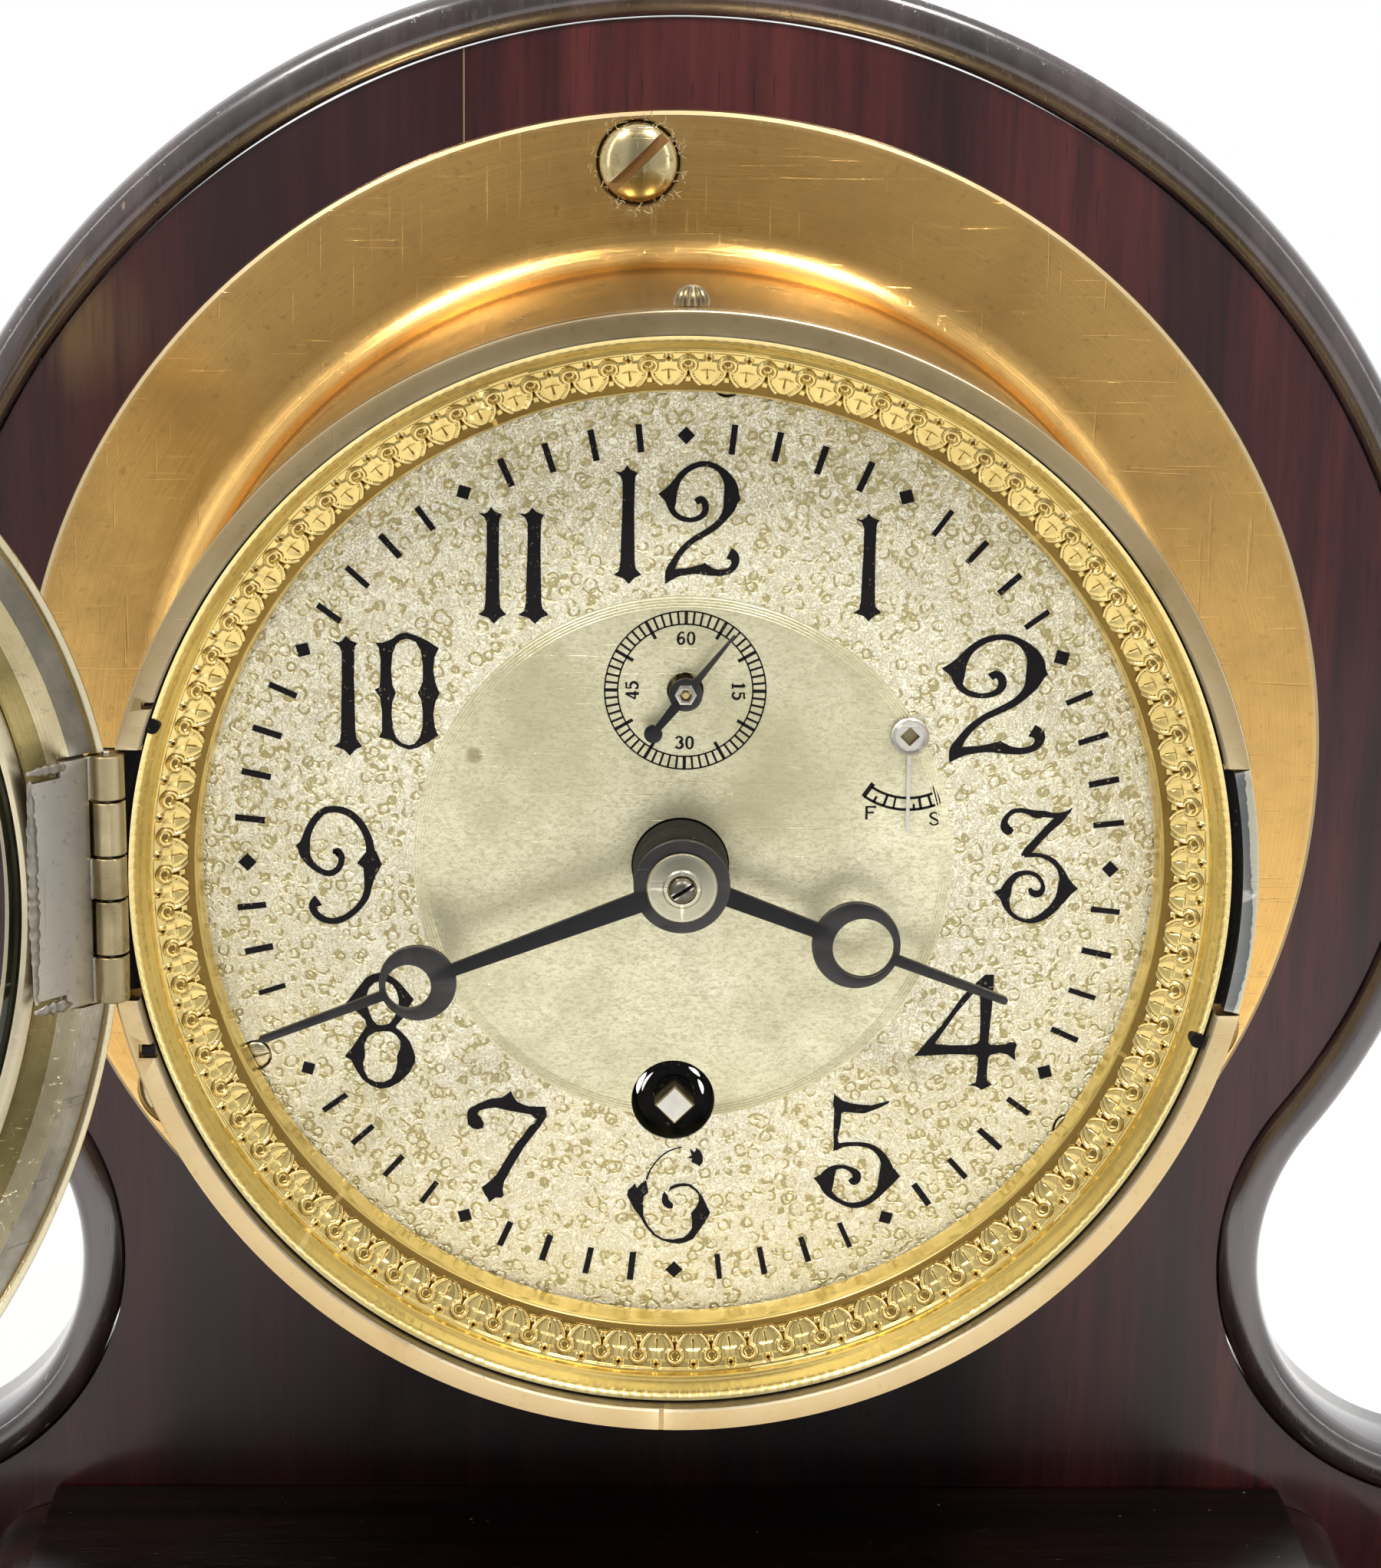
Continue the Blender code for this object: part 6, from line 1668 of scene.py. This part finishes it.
    def build_minutes(self) -> None:
        """Minute bars, and a diamond at each hour; cut by hand, so no two are quite alike."""
        draft = Draft()
        hand = random.Random(11)
        for minute in range(60):
            angle = minute * 6.0 + hand.uniform(-0.12, 0.12)
            if minute % 5:
                span = (self.mark_r[0] + hand.uniform(-0.15, 0.15),
                        self.mark_r[1] + hand.uniform(-0.15, 0.15))
                self.mark_at(draft, (0.0, 0.0), angle, span, self.mark_half + hand.uniform(-0.05, 0.04))
            else:
                h = self.diamond_half + hand.uniform(-0.06, 0.06)
                corners = [
                    clockwise(angle, self.diamond_r + a, b) for a, b in ((h, 0), (0, h), (-h, 0), (0, -h))]
                draft.plate(corners, *PAINT)
        place_piece("dial_minute_marks", draft, [Finish.BLACK])

    def circle_line(self, draft: Draft, centre: Pair, radius: float, half: float) -> None:
        """A thin painted circle."""
        draft.turned(band(radius - half, radius + half, *PAINT), 96, centre)

    def build_seconds(self) -> None:
        """The seconds circle with its bars and its four numbers."""
        draft = Draft()
        inner, outer = self.seconds_r
        self.circle_line(draft, SECONDS, inner, 0.09)
        self.circle_line(draft, SECONDS, outer, 0.09)
        for second in range(60):
            fifth = second % 5 == 0
            start = inner - 0.85 if fifth and second % 15 else inner
            self.mark_at(draft, SECONDS, second * 6.0, (start, outer), 0.2 if fifth else 0.13)
        for number, at, turn in (
                ("60", 0.0, 0.0), ("15", 90.0, 90.0), ("30", 180.0, 0.0), ("45", 270.0, -90.0)):
            x, z = clockwise(at, self.seconds_figures_r)
            for figure, side in zip(number, (-0.6, 0.6)):
                across, up = clockwise(turn, 0.0, side)
                place = (SECONDS[0] + x + across, SECONDS[1] + z + up)
                half = 0.34 if figure == "1" else 0.52
                FIGURES[f"small {figure}"].draw(
                    draft, (place[0] - half, place[1] - 0.83), (place[0] + half, place[1] + 0.83), turn)
        place_piece("dial_seconds_circle", draft, [Finish.BLACK])

    def build_scale(self) -> None:
        """The regulator's scale: two arcs between thick ends, bars, and the letters for fast and slow."""
        draft = Draft()
        first, last = self.scale_ends
        inner, outer = self.scale_r
        for radius in (inner, outer):
            rows = []
            for angle in spread(first, last, 24):
                row = []
                for r, d in band(radius - 0.16, radius + 0.16, *PAINT):
                    x, z = clockwise(angle, r)
                    row.append((PIVOT[0] + x, d, PIVOT[1] + z))
                rows.append(row)
            draft.skin(rows)
        for angle, start, half in self.scale_bars:
            self.mark_at(draft, PIVOT, angle, (start, outer + 0.1), half)
        for letter, (x, z) in (("F", (22.8, 6.7)), ("S", (30.5, 6.0))):
            FIGURES[letter].draw(draft, (x - 0.65, z - 0.85), (x + 0.65, z + 0.85))
        place_piece("dial_regulator_scale", draft, [Finish.BLACK])

    def build_screws(self) -> None:
        """The three slotted screws that hold the dial to the case's ledge."""
        head = [(0.0, -0.08), (1.2, -0.08), (1.5, 0.02), (1.65, 0.2), (1.65, 0.8), (0.8, 0.8), (0.8, 4.5),
                (0.0, 4.5)]
        for number, place in enumerate(self.screws, 1):
            draft = Draft().turned(head, 40, polar(*place))
            place_piece(
                f"dial_slotted_screw_{number}", draft, [Finish.SCREW], [f"dial_screw_{number}"],
                tools=[slot_tool(polar(*place), -0.08, 0.45, 2.4, 0.5, 15.0)])

    def build(self) -> None:
        """Build the dial."""
        self.build_face()
        self.build_numerals()
        self.build_minutes()
        self.build_seconds()
        self.build_scale()
        self.build_screws()


@dataclass
class OrnamentRing:
    """The embossed gilt ring round the dial: loops round pits, and slit leaves. Sizes in millimetres."""

    repeats: int = 84
    steps_around: int = 32
    eye_b: float = 3.7
    eye_r: float = 0.85
    waist_b: float = 2.9
    rib: float = 0.27
    rim_b: float = 5.3
    foot_b: float = 1.0
    leaf_b: float = 4.25
    knop_b: float = 4.75
    knop_r: float = 0.52
    band: Pair = (57.9, 62.7)
    band_d: Pair = (-3.9, -6.5)
    steps_across: int = 38
    nicked: tuple[int, ...] = (5, 6, 7)
    nick: float = 0.0012
    inner: tuple[Pair, ...] = (
        (58.6, -0.3), (57.2, -0.3), (57.3, -1.3), (57.5, -1.9), (57.45, -2.6), (57.6, -3.4))
    outer: tuple[Pair, ...] = (
        (62.75, -6.75), (62.95, -7.3), (63.0, -7.9), (63.25, -8.1), (63.6, -9.1), (63.85, -9.8),
        (64.05, -10.2), (64.35, -10.55), (64.75, -10.75), (64.8, -8.5), (62.9, -4.9), (58.9, -2.9))
    holes: tuple[Pair, ...] = ((61.7, -18.3), (-61.6, 19.0))

    def relief(self, a: float, b: float) -> tuple[float, bool]:
        """The pattern at one place: ribs that loop round a pit, and slit leaves with a knop between them.

        Args:
            a: Distance along the ring from the middle of a leaf.
            b: Distance from the band's inner edge.

        Returns:
            The height over the ground, and whether a dark groove lies there.
        """
        a = abs(a)
        half = math.pi * (self.band[0] + self.band[1]) / 2.0 / self.repeats
        u = half - a
        if math.hypot(a, b - self.knop_b) < self.knop_r:
            off = math.hypot(a, b - self.knop_b) / self.knop_r
            return (0.1, True) if off < 0.3 else (0.22 + 0.42 * math.sqrt(1.0 - off * off), False)
        if b > self.rim_b:
            return 0.32, False
        if b < self.foot_b:
            return 0.08, True
        if b > self.waist_b:
            edge = math.hypot(u, b - self.eye_b) - self.eye_r
        else:
            edge = u - 0.3 - 1.05 * ((self.waist_b - b) / 1.9) ** 2
        if abs(edge) < self.rib:
            return 0.26 + 0.40 * math.sqrt(1.0 - (edge / self.rib) ** 2), False
        if edge < 0.0:
            if b < 2.2 and math.hypot(u, b - 1.6) < 0.42:
                return 0.34, False
            return 0.05, math.hypot(u, b - self.eye_b) < 0.42 or b < self.waist_b
        if b > self.leaf_b:
            return 0.12, edge < self.rib + 0.1
        if a < 0.09 and 1.5 < b < 3.0:
            return 0.12, True
        limit = max(u - edge - self.rib + a, 0.3)
        share = max(0.0, 1.0 - (max(a - 0.1, 0.0) / (a + edge + 0.05)) ** 2)
        return min(0.16 + 0.30 * math.sqrt(share), 0.14 + 0.26 * limit), edge < self.rib + 0.1

    def build(self) -> None:
        """Build the ring."""
        count = self.repeats * self.steps_around
        low_r, high_r = self.band
        low_d, high_d = self.band_d
        length = math.hypot(high_r - low_r, high_d - low_d)
        normal = (-(low_d - high_d) / length, -(high_r - low_r) / length)
        hand = random.Random(4)
        wear = [hand.uniform(0.86, 1.1) for _ in range(self.repeats)]
        pitch = math.pi * (low_r + high_r) / self.repeats

        def circle_row(r: float, d: float) -> list[Point]:
            """One plain circle of the ring."""
            return [(r * math.cos(TURN * j / count), d,
                     r * math.sin(TURN * j / count)) for j in range(count)]

        rows = [circle_row(r, d) for r, d in self.inner]
        grooves: set[tuple[int, int]] = set()
        for i in range(self.steps_across + 1):
            share = i / self.steps_across
            r, d = low_r + (high_r - low_r) * share, low_d + (high_d - low_d) * share
            row = []
            for j in range(count):
                a = (j % self.steps_around / self.steps_around - 0.5) * pitch
                up, groove = self.relief(a, share * length)
                up *= wear[j // self.steps_around]
                if groove:
                    grooves.add((len(rows), j))
                angle = TURN * j / count
                row.append(((r + normal[0] * up) * math.cos(angle), d + normal[1] * up,
                            (r + normal[0] * up) * math.sin(angle)))
            rows.append(row)
        for number, (r, d) in enumerate(self.outer):
            row = circle_row(r, d)
            if number in self.nicked:
                row = [(x * k, d, z * k) for (x, d, z), k in zip(
                           row, (1.0 - self.nick * hand.random() * (j % 9 < 4) for j in range(count)))]
            rows.append(row)
        draft = Draft().grid(rows, around=True, along=True, mark=lambda i, j: int((i, j) in grooves))
        place_piece("ornament_gilt_ring", draft, [Finish.GILT, Finish.GROOVE],
                    ["ornament_ring"], sharp=70.0)
        # Black discs in the pin holes, painted shade.
        pins = Draft()
        for place in self.holes:
            pins.turned(band(0.0, 0.9, -10.85, -9.0), 24, place)
        place_piece("ornament_pin_hole_painted_shade", pins, [Finish.BLACK])


@dataclass
class RingHand:
    """A hand with a ring in its length. Sizes in millimetres."""

    name: str
    body: str
    angle: float
    reach: float
    ring_at: float
    ring_r: float
    eye_r: float
    eye_shift: float
    widths: tuple[float, float, float, float]
    depth: Pair
    hub_r: float
    bore: float

    def build(self) -> None:
        """Build the hand."""
        root, neck, past, tip = self.widths
        start = math.asin(root / 2.0 / self.hub_r)
        near = math.asin(neck / 2.0 / self.ring_r)
        far = math.asin(past / 2.0 / self.ring_r)
        line = arc((0.0, 0.0), self.hub_r, start, TURN - start, 60)
        line += arc((self.ring_at, 0.0), self.ring_r, -math.pi + near, -far, 36)
        line += [(self.reach - 0.3, -tip / 2.0), (self.reach, -tip / 2.0 + 0.2),
                 (self.reach, tip / 2.0 - 0.2), (self.reach - 0.3, tip / 2.0)]
        line += arc((self.ring_at, 0.0), self.ring_r, far, math.pi - near, 36)
        outline = [clockwise(self.angle, along, aside) for along, aside in line]
        eye = ring_of(clockwise(self.angle, self.ring_at + self.eye_shift), self.eye_r, 56)
        draft = Draft().plate(outline, *self.depth, [eye, ring_of((0.0, 0.0), self.bore, 48)])
        place_piece(f"blackened_{self.name}", draft, [Finish.HANDS], [self.name],
                    body=self.body, sharp=50.0, bevel=0.09)


@dataclass
class Hands:
    """The hands and what holds them."""

    hour: RingHand = field(
        default_factory=lambda: RingHand("hour_hand", "hour", 110.7, 42.0, 22.4, 5.3, 3.65, 0.9,
                                         (2.2, 1.8, 1.3, 0.9), (-7.1, -6.1), 5.7, 2.9))
    minute: RingHand = field(
        default_factory=lambda: RingHand("minute_hand", "centre", 248.8, 53.6, 33.4, 4.6, 2.7, 1.2,
                                         (2.5, 1.5, 1.2, 0.9), (-10.0, -9.2), 5.7, 1.8))
    seconds_angle: float = 38.4
    slot_angle: float = 33.0

    def build_washer(self) -> None:
        """The dished washer, and a black sleeve round the side of the hour hand's hub, painted shade under
        the minute hand's hub.
        """
        washer = Draft().turned(
            [(1.55, -10.3), (1.55, -11.1), (1.75, -11.3), (2.15, -11.25), (2.35, -11.05), (3.3, -10.9),
             (4.05, -10.75), (4.2, -10.55), (4.2, -10.3)], 96)
        place_piece(
            "silvered_washer", washer, [Finish.WASHER], ["hand_washer"], body="centre")
        # Painted shade: a black sleeve where the hour hand's hub lies in the minute hub's shadow.
        sleeve = Draft().turned(band(5.0, 5.72, -9.0, -0.3), 72)
        place_piece("hour_hub_painted_shade", sleeve, [Finish.BLACK], body="hour")

    def build_screw(self) -> None:
        """The screw of the hands, with the bright edges of its slot, worn and painted highlight, and the
        black floor of its slot, painted shade.
        """
        edges = Draft()
        turn = Matrix.Rotation(-math.radians(self.slot_angle), 4, "Y")
        # Bright strips along the slot's edges: wear, and painted highlight.
        for side in (-1.0, 1.0):
            low, high = sorted((side * 0.24, side * 0.36))
            edges.block((-1.35, -12.25, low), (1.35, -12.0, high))
        # Painted shade: a black sheet on the slot's floor.
        edges.block((-1.45, -11.75, -0.24), (1.45, -11.7, 0.24), 1)
        place_piece("hand_screw_slot_highlight_and_shade", edges.moved(turn), [Finish.BRIGHT, Finish.BLACK],
                    body="centre")
        screw = Draft().turned([(0.0, -12.4), (0.7, -12.35), (1.15, -12.15), (1.45, -11.8), (1.5, -11.4),
                                (0.7, -11.4), (0.7, -9.6), (0.0, -9.6)], 48)
        place_piece("slotted_hand_screw", screw, [Finish.DARK_SCREW], ["hand_screw"],
                    body="centre", tools=[slot_tool((0.0, 0.0), -12.4, 0.8, 2.6, 0.46, self.slot_angle)])

    def build_seconds(self) -> None:
        """The seconds hand with its collet."""
        line = [(9.2, 0.14), (1.95, 0.42), *arc((0.0, 0.0), 2.0, 0.3, math.pi - 0.3, 16)]
        line += [(-5.3, 0.42)] + arc((-6.1, 0.0), 1.1, 0.55, TURN - 0.55, 24) + [(-5.3, -0.42)]
        line += arc((0.0, 0.0), 2.0, math.pi + 0.3, TURN - 0.3, 16) + [(1.95, -0.42), (9.2, -0.14)]
        outline = [clockwise(self.seconds_angle, along, aside) for along, aside in line]
        outline = [(SECONDS[0] + x, SECONDS[1] + z) for x, z in outline]
        draft = Draft().plate(outline, -2.6, -2.1, [ring_of(SECONDS, 0.7, 24)])
        draft.turned([(0.72, -2.0), (0.72, -2.75), (0.95, -2.85), (1.35, -2.75), (1.5, -2.4), (1.5, -2.0)],
                     6, SECONDS, marks=[1] * 6)
        place_piece("seconds_black_hand", draft, [Finish.HANDS, Finish.STEEL],
                    ["seconds_hand"], body="fourth", sharp=50.0, bevel=0.04)

    def build(self) -> None:
        """Build the hands."""
        self.hour.build()
        self.minute.build()
        self.build_washer()
        self.build_screw()
        self.build_seconds()


@dataclass
class Regulator:
    """The regulator's index: a disc with a square hole, and a long needle. Sizes in millimetres."""

    ring_r: float = 2.3
    needle: float = 11.8
    depth: Pair = (-1.15, -0.35)

    def build(self) -> None:
        """Build the index with its post."""
        front, back = self.depth
        x, z = PIVOT
        disc = Draft().plate(ring_of(PIVOT, self.ring_r, 64), front + 0.3, back, [ring_of(PIVOT, 1.2, 4)])
        disc.turned([(1.6, front + 0.4), (1.68, front + 0.06), (1.8, front), (2.1, front),
                     (self.ring_r, front + 0.15), (self.ring_r, front + 0.4)], 64, PIVOT)
        place_piece("regulator_disc", disc, [Finish.STEEL], ["regulator_index"], body="regulator")
        post = Draft().turned(band(0.0, 1.15, back + 0.3, 9.3), 32, PIVOT)
        place_piece("regulator_post", post, [Finish.PIPE], body="regulator")
        rows = []
        for down, half in (
                (1.9, 0.42), (2.6, 0.32), (6.0, 0.28), (self.needle - 0.5, 0.24), (self.needle, 0.12)):
            rows.append([(x - half, back, z - down), (x - half * 0.75, back - 0.42, z - down),
                         (x + half * 0.75, back - 0.42, z - down), (x + half, back, z - down)])
        place_piece(
            "regulator_needle", Draft().skin(rows), [Finish.STEEL], body="regulator", sharp=50.0)


@dataclass
class Winding:
    """The winding hole, and the worn square end of the arbor in it. Sizes in millimetres."""

    place: Pair = (-0.3, -30.2)
    corner_r: float = 2.45
    front: float = -1.0
    ridge: float = 0.06

    # Radius, half the width, and the angles at which each painted glint starts and ends
    glints: tuple[tuple[float, float, float, float], ...] = (
        (4.35, 0.30, 138.0, 178.0), (3.8, 0.14, 130.0, 172.0), (4.1, 0.22, 36.0, 62.0),
        (3.7, 0.22, 2.0, 34.0))

    def build_hole(self) -> None:
        """The collar of the hole with black painted shade inside it, and painted glints where the edges of
        the bush behind it would shine.
        """
        hole_r = WINDING_HOLE_R
        collar = Draft().turned([(hole_r, 0.35), (hole_r + 0.6, 0.35), (hole_r + 0.6, 3.8), (3.4, 3.8),
                                 (3.4, 3.5), (hole_r - 0.3, 3.5)], 72, WINDING, marks=[0, 0, 1, 1, 1, 0])
        # Painted shade: the collar's back and a black ring behind it keep the hole dark.
        collar.turned(band(2.6, 4.6, 3.05, 3.2), 48, self.place, marks=[1] * 4)
        place_piece("winding_hole_collar", collar, [Finish.PATINA, Finish.BLACK])
        glints = Draft()
        for r, wide, start, end in self.glints:
            near, far = [], []
            for t in spread(0.0, 1.0, 12):
                half = wide * math.sin(math.pi * t) ** 0.7 + 0.02
                for edge, radius in ((near, r + half), (far, r - half)):
                    x, z = polar(radius, start + (end - start) * t)
                    edge.append((WINDING[0] + x, WINDING[1] + z))
            glints.plate(near + far[::-1], 1.9, 2.1)
        place_piece("winding_bush_painted_glints", glints, [Finish.BRIGHT])

    def build_arbor(self) -> None:
        """The square, filed to a ridge at its end, and the round arbor behind it, with a black ring as
        painted shade in the hole.
        """
        rows = []
        for d, r in ((self.front, 2.2), (self.front + 0.2, self.corner_r), (6.4, self.corner_r)):
            rows.append([(a, d, b) for a, b in ring_of(self.place, r, 4)])
        arbor = Draft().grid(rows, around=True, mark=2)
        right, top, left, bottom = rows[0]
        near, far = ((x, d - self.ridge, z) for x, d, z in (left, right))
        for corners in ([top, near, far], [bottom, far, near], [left, near, top], [left, bottom, near],
                        [right, top, far], [right, far, bottom]):
            arbor.face(corners, 3)
        # Painted shade: a black ring on the arbor darkens the hole round the square.
        arbor.turned(band(0.0, 2.5, 3.0, 3.3), 32, self.place, marks=[4] * 4)
        arbor.turned([(0.0, 6.3), (2.6, 6.3), (2.6, 28.6), (1.8, 28.6), (1.8, 31.6), (0.0, 31.6)], 32,
                     self.place, marks=[1] * 6)
        finishes = [Finish.BRIGHT, Finish.PIPE, Finish.PIPE, Finish.STEEL, Finish.BLACK]
        place_piece(
            "winding_square_end", arbor, finishes, ["winding_arbor"], body="winding", sharp=20.0)

    def build(self) -> None:
        """Build the hole and the arbor."""
        self.build_hole()
        self.build_arbor()


@dataclass
class Studio:
    """Camera, pale floor, backdrop colour and soft lamps."""

    lens: float = 88.0
    sensor: float = 36.0
    camera_place: Point = (-10.55, -417.85, 240.9)
    look: tuple[Point, Point, Point] = (
        (0.99962, -0.02359, 0.01423), (0.00823, -0.23721, -0.97142), (0.02629, 0.97117, -0.23693))
    floor_half: float = 3.0
    floor_front: float = -0.90
    ambient: float = 0.60
    front_level: float = 0.30
    side_level: float = 0.6
    white_from: float = 0.24
    clock: Point = (0.0, -0.03, 0.13)

    def add_camera(self) -> None:
        """The camera at the photograph's place."""
        data = bpy.data.cameras.new("camera")
        data.lens = self.lens
        data.sensor_width = self.sensor
        data.sensor_fit = "HORIZONTAL"
        camera = bpy.data.objects.new("camera", data)
        bpy.context.scene.collection.objects.link(camera)
        right, down, ahead = (Vector(row) for row in self.look)
        turn = Matrix((right, -down, -ahead)).transposed().to_4x4()
        camera.matrix_world = Matrix.Translation(Vector(self.camera_place) * MM) @ turn
        bpy.context.scene.camera = camera

    def add_floor(self) -> None:
        """A pale floor that keeps the shadow and shows white to the camera further out."""
        half, front = self.floor_half, self.floor_front
        mesh = bpy.data.meshes.new("floor")
        corners = [(-half, front, 0.0), (half, front, 0.0), (half, half, 0.0), (-half, half, 0.0)]
        mesh.from_pydata(corners, [], [(0, 1, 2, 3)])
        floor = bpy.data.objects.new("floor", mesh)
        bpy.context.scene.collection.objects.link(floor)
        s = Shader("pale_floor")
        s.set(Base_Color=(0.86, 0.86, 0.86), Roughness=0.7, Specular_IOR_Level=0.2)
        far = s.node("ShaderNodeVectorMath", {0: s.place}, operation="LENGTH").outputs["Value"]
        white = s.times(s.span(far, self.white_from, self.white_from + 0.25), s.seen())
        plain = s.node("ShaderNodeEmission", {"Color": (1.0, 1.0, 1.0), "Strength": 1.0})
        both = s.node("ShaderNodeMixShader", {0: white, 1: s.surface.outputs[0], 2: plain.outputs[0]})
        s.links.new(both.outputs[0], s.nodes["Material Output"].inputs["Surface"])
        floor.data.materials.append(s.material)

    def add_world(self) -> None:
        """White behind the object, a little less in front of it, and even soft light."""
        world = bpy.data.worlds.new("world")
        world.use_nodes = True
        bpy.context.scene.world = world
        w = Wiring(world.node_tree)
        seen = w.seen()
        direction = w.node("ShaderNodeTexCoord").outputs["Generated"]
        apart = w.node("ShaderNodeSeparateXYZ", {0: direction}).outputs
        behind = w.span(apart["Y"], -0.75, -0.1, self.front_level, 1.0)
        beside = w.span(w.math("ABSOLUTE", apart["X"]), 0.14, 0.30, self.front_level, self.side_level)
        camera = w.node("ShaderNodeLightPath").outputs["Is Camera Ray"]
        shown = w.math("MAXIMUM", w.math("MAXIMUM", behind, beside), camera)
        back = w.nodes["Background"]
        w.feed(back.inputs["Strength"], w.span(seen, 0.0, 1.0, self.ambient, shown))
        back.inputs["Color"].default_value = (1.0, 1.0, 1.0, 1.0)

    def add_lamp(self, name: str, place: Point, size: Pair, power: float, colour: Colour) -> None:
        """A soft lamp that points at the clock.

        Args:
            name: Its name.
            place: Where it hangs, in metres.
            size: Its width and height in metres.
            power: Its power in watts.
            colour: Its colour.
        """
        data = bpy.data.lights.new(name, "AREA")
        data.shape = "RECTANGLE"
        data.size, data.size_y = size
        data.energy = power
        data.color = colour
        lamp = bpy.data.objects.new(name, data)
        bpy.context.scene.collection.objects.link(lamp)
        lamp.location = place
        lamp.rotation_mode = "QUATERNION"
        lamp.rotation_quaternion = (Vector(self.clock) - Vector(place)).to_track_quat("-Z", "Y")

    def build(self) -> None:
        """Set up the studio."""
        bpy.context.scene.view_settings.view_transform = "Standard"
        self.add_camera()
        self.add_floor()
        self.add_world()
        warm, plain = (1.0, 0.96, 0.90), (1.0, 1.0, 1.0)
        for name, place, size, power, colour in (
                ("left_lamp", (-0.46, -0.50, 1.00), (0.09, 0.09), 6.5, warm),
                ("right_lamp", (0.34, -0.50, 1.05), (0.09, 0.09), 6.0, warm),
                ("back_lamp", (0.25, 0.85, 0.80), (0.5, 0.5), 5.0, plain),
                ("top_strip", (0.0, -0.75, 1.15), (0.9, 0.03), 0.22, plain),
                ("left_strip", (-0.95, -0.62, 0.45), (0.05, 1.2), 1.4, plain),
                ("right_strip", (0.95, -0.62, 0.45), (0.05, 1.2), 1.4, plain)):
            self.add_lamp(name, place, size, power, colour)


# CAD nodes that keep their own shape, by the record's material slot
SLOT_FINISHES = {
    "rosewood": Finish.ROSEWOOD, "walnut": Finish.WALNUT, "ebony": Finish.EBONY, "felt": Finish.FELT,
    "case_brass": Finish.DRUM, "silver_brass": Finish.BEZEL, "movement_brass": Finish.MOVEMENT,
    "blue_black_steel": Finish.HANDS, "steel": Finish.STEEL, "glass": Finish.GLASS}


def dress_frame(frame: dict) -> None:
    """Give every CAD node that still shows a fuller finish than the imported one.
    """
    for name, node in frame["nodes"].items():
        for slot in node.material_slots:
            found = next((f for key, f in SLOT_FINISHES.items() if slot.material
                          and slot.material.name.startswith(key)), Finish.STEEL)
            slot.material = found.dressed()
        # The hour wheel's pipe takes the dark finish, painted shade under the hands.
        if name == "hour_wheel":
            for slot in node.material_slots:
                slot.material = Finish.PIPE.dressed()
        log.debug("dressed %s", name)


def main() -> None:
    """Load the frame, set up the studio, dress the frame and build every sub-assembly."""
    logging.basicConfig(level=logging.INFO, format="%(message)s")
    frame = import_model()
    Studio().build()
    dress_frame(frame)
    for part in (
            Stand(), Hinge(), Case(), Bezel(), OrnamentRing(), Dial(), Hands(), Regulator(), Winding()):
        part.build()


if __name__ == "__main__":
    main()
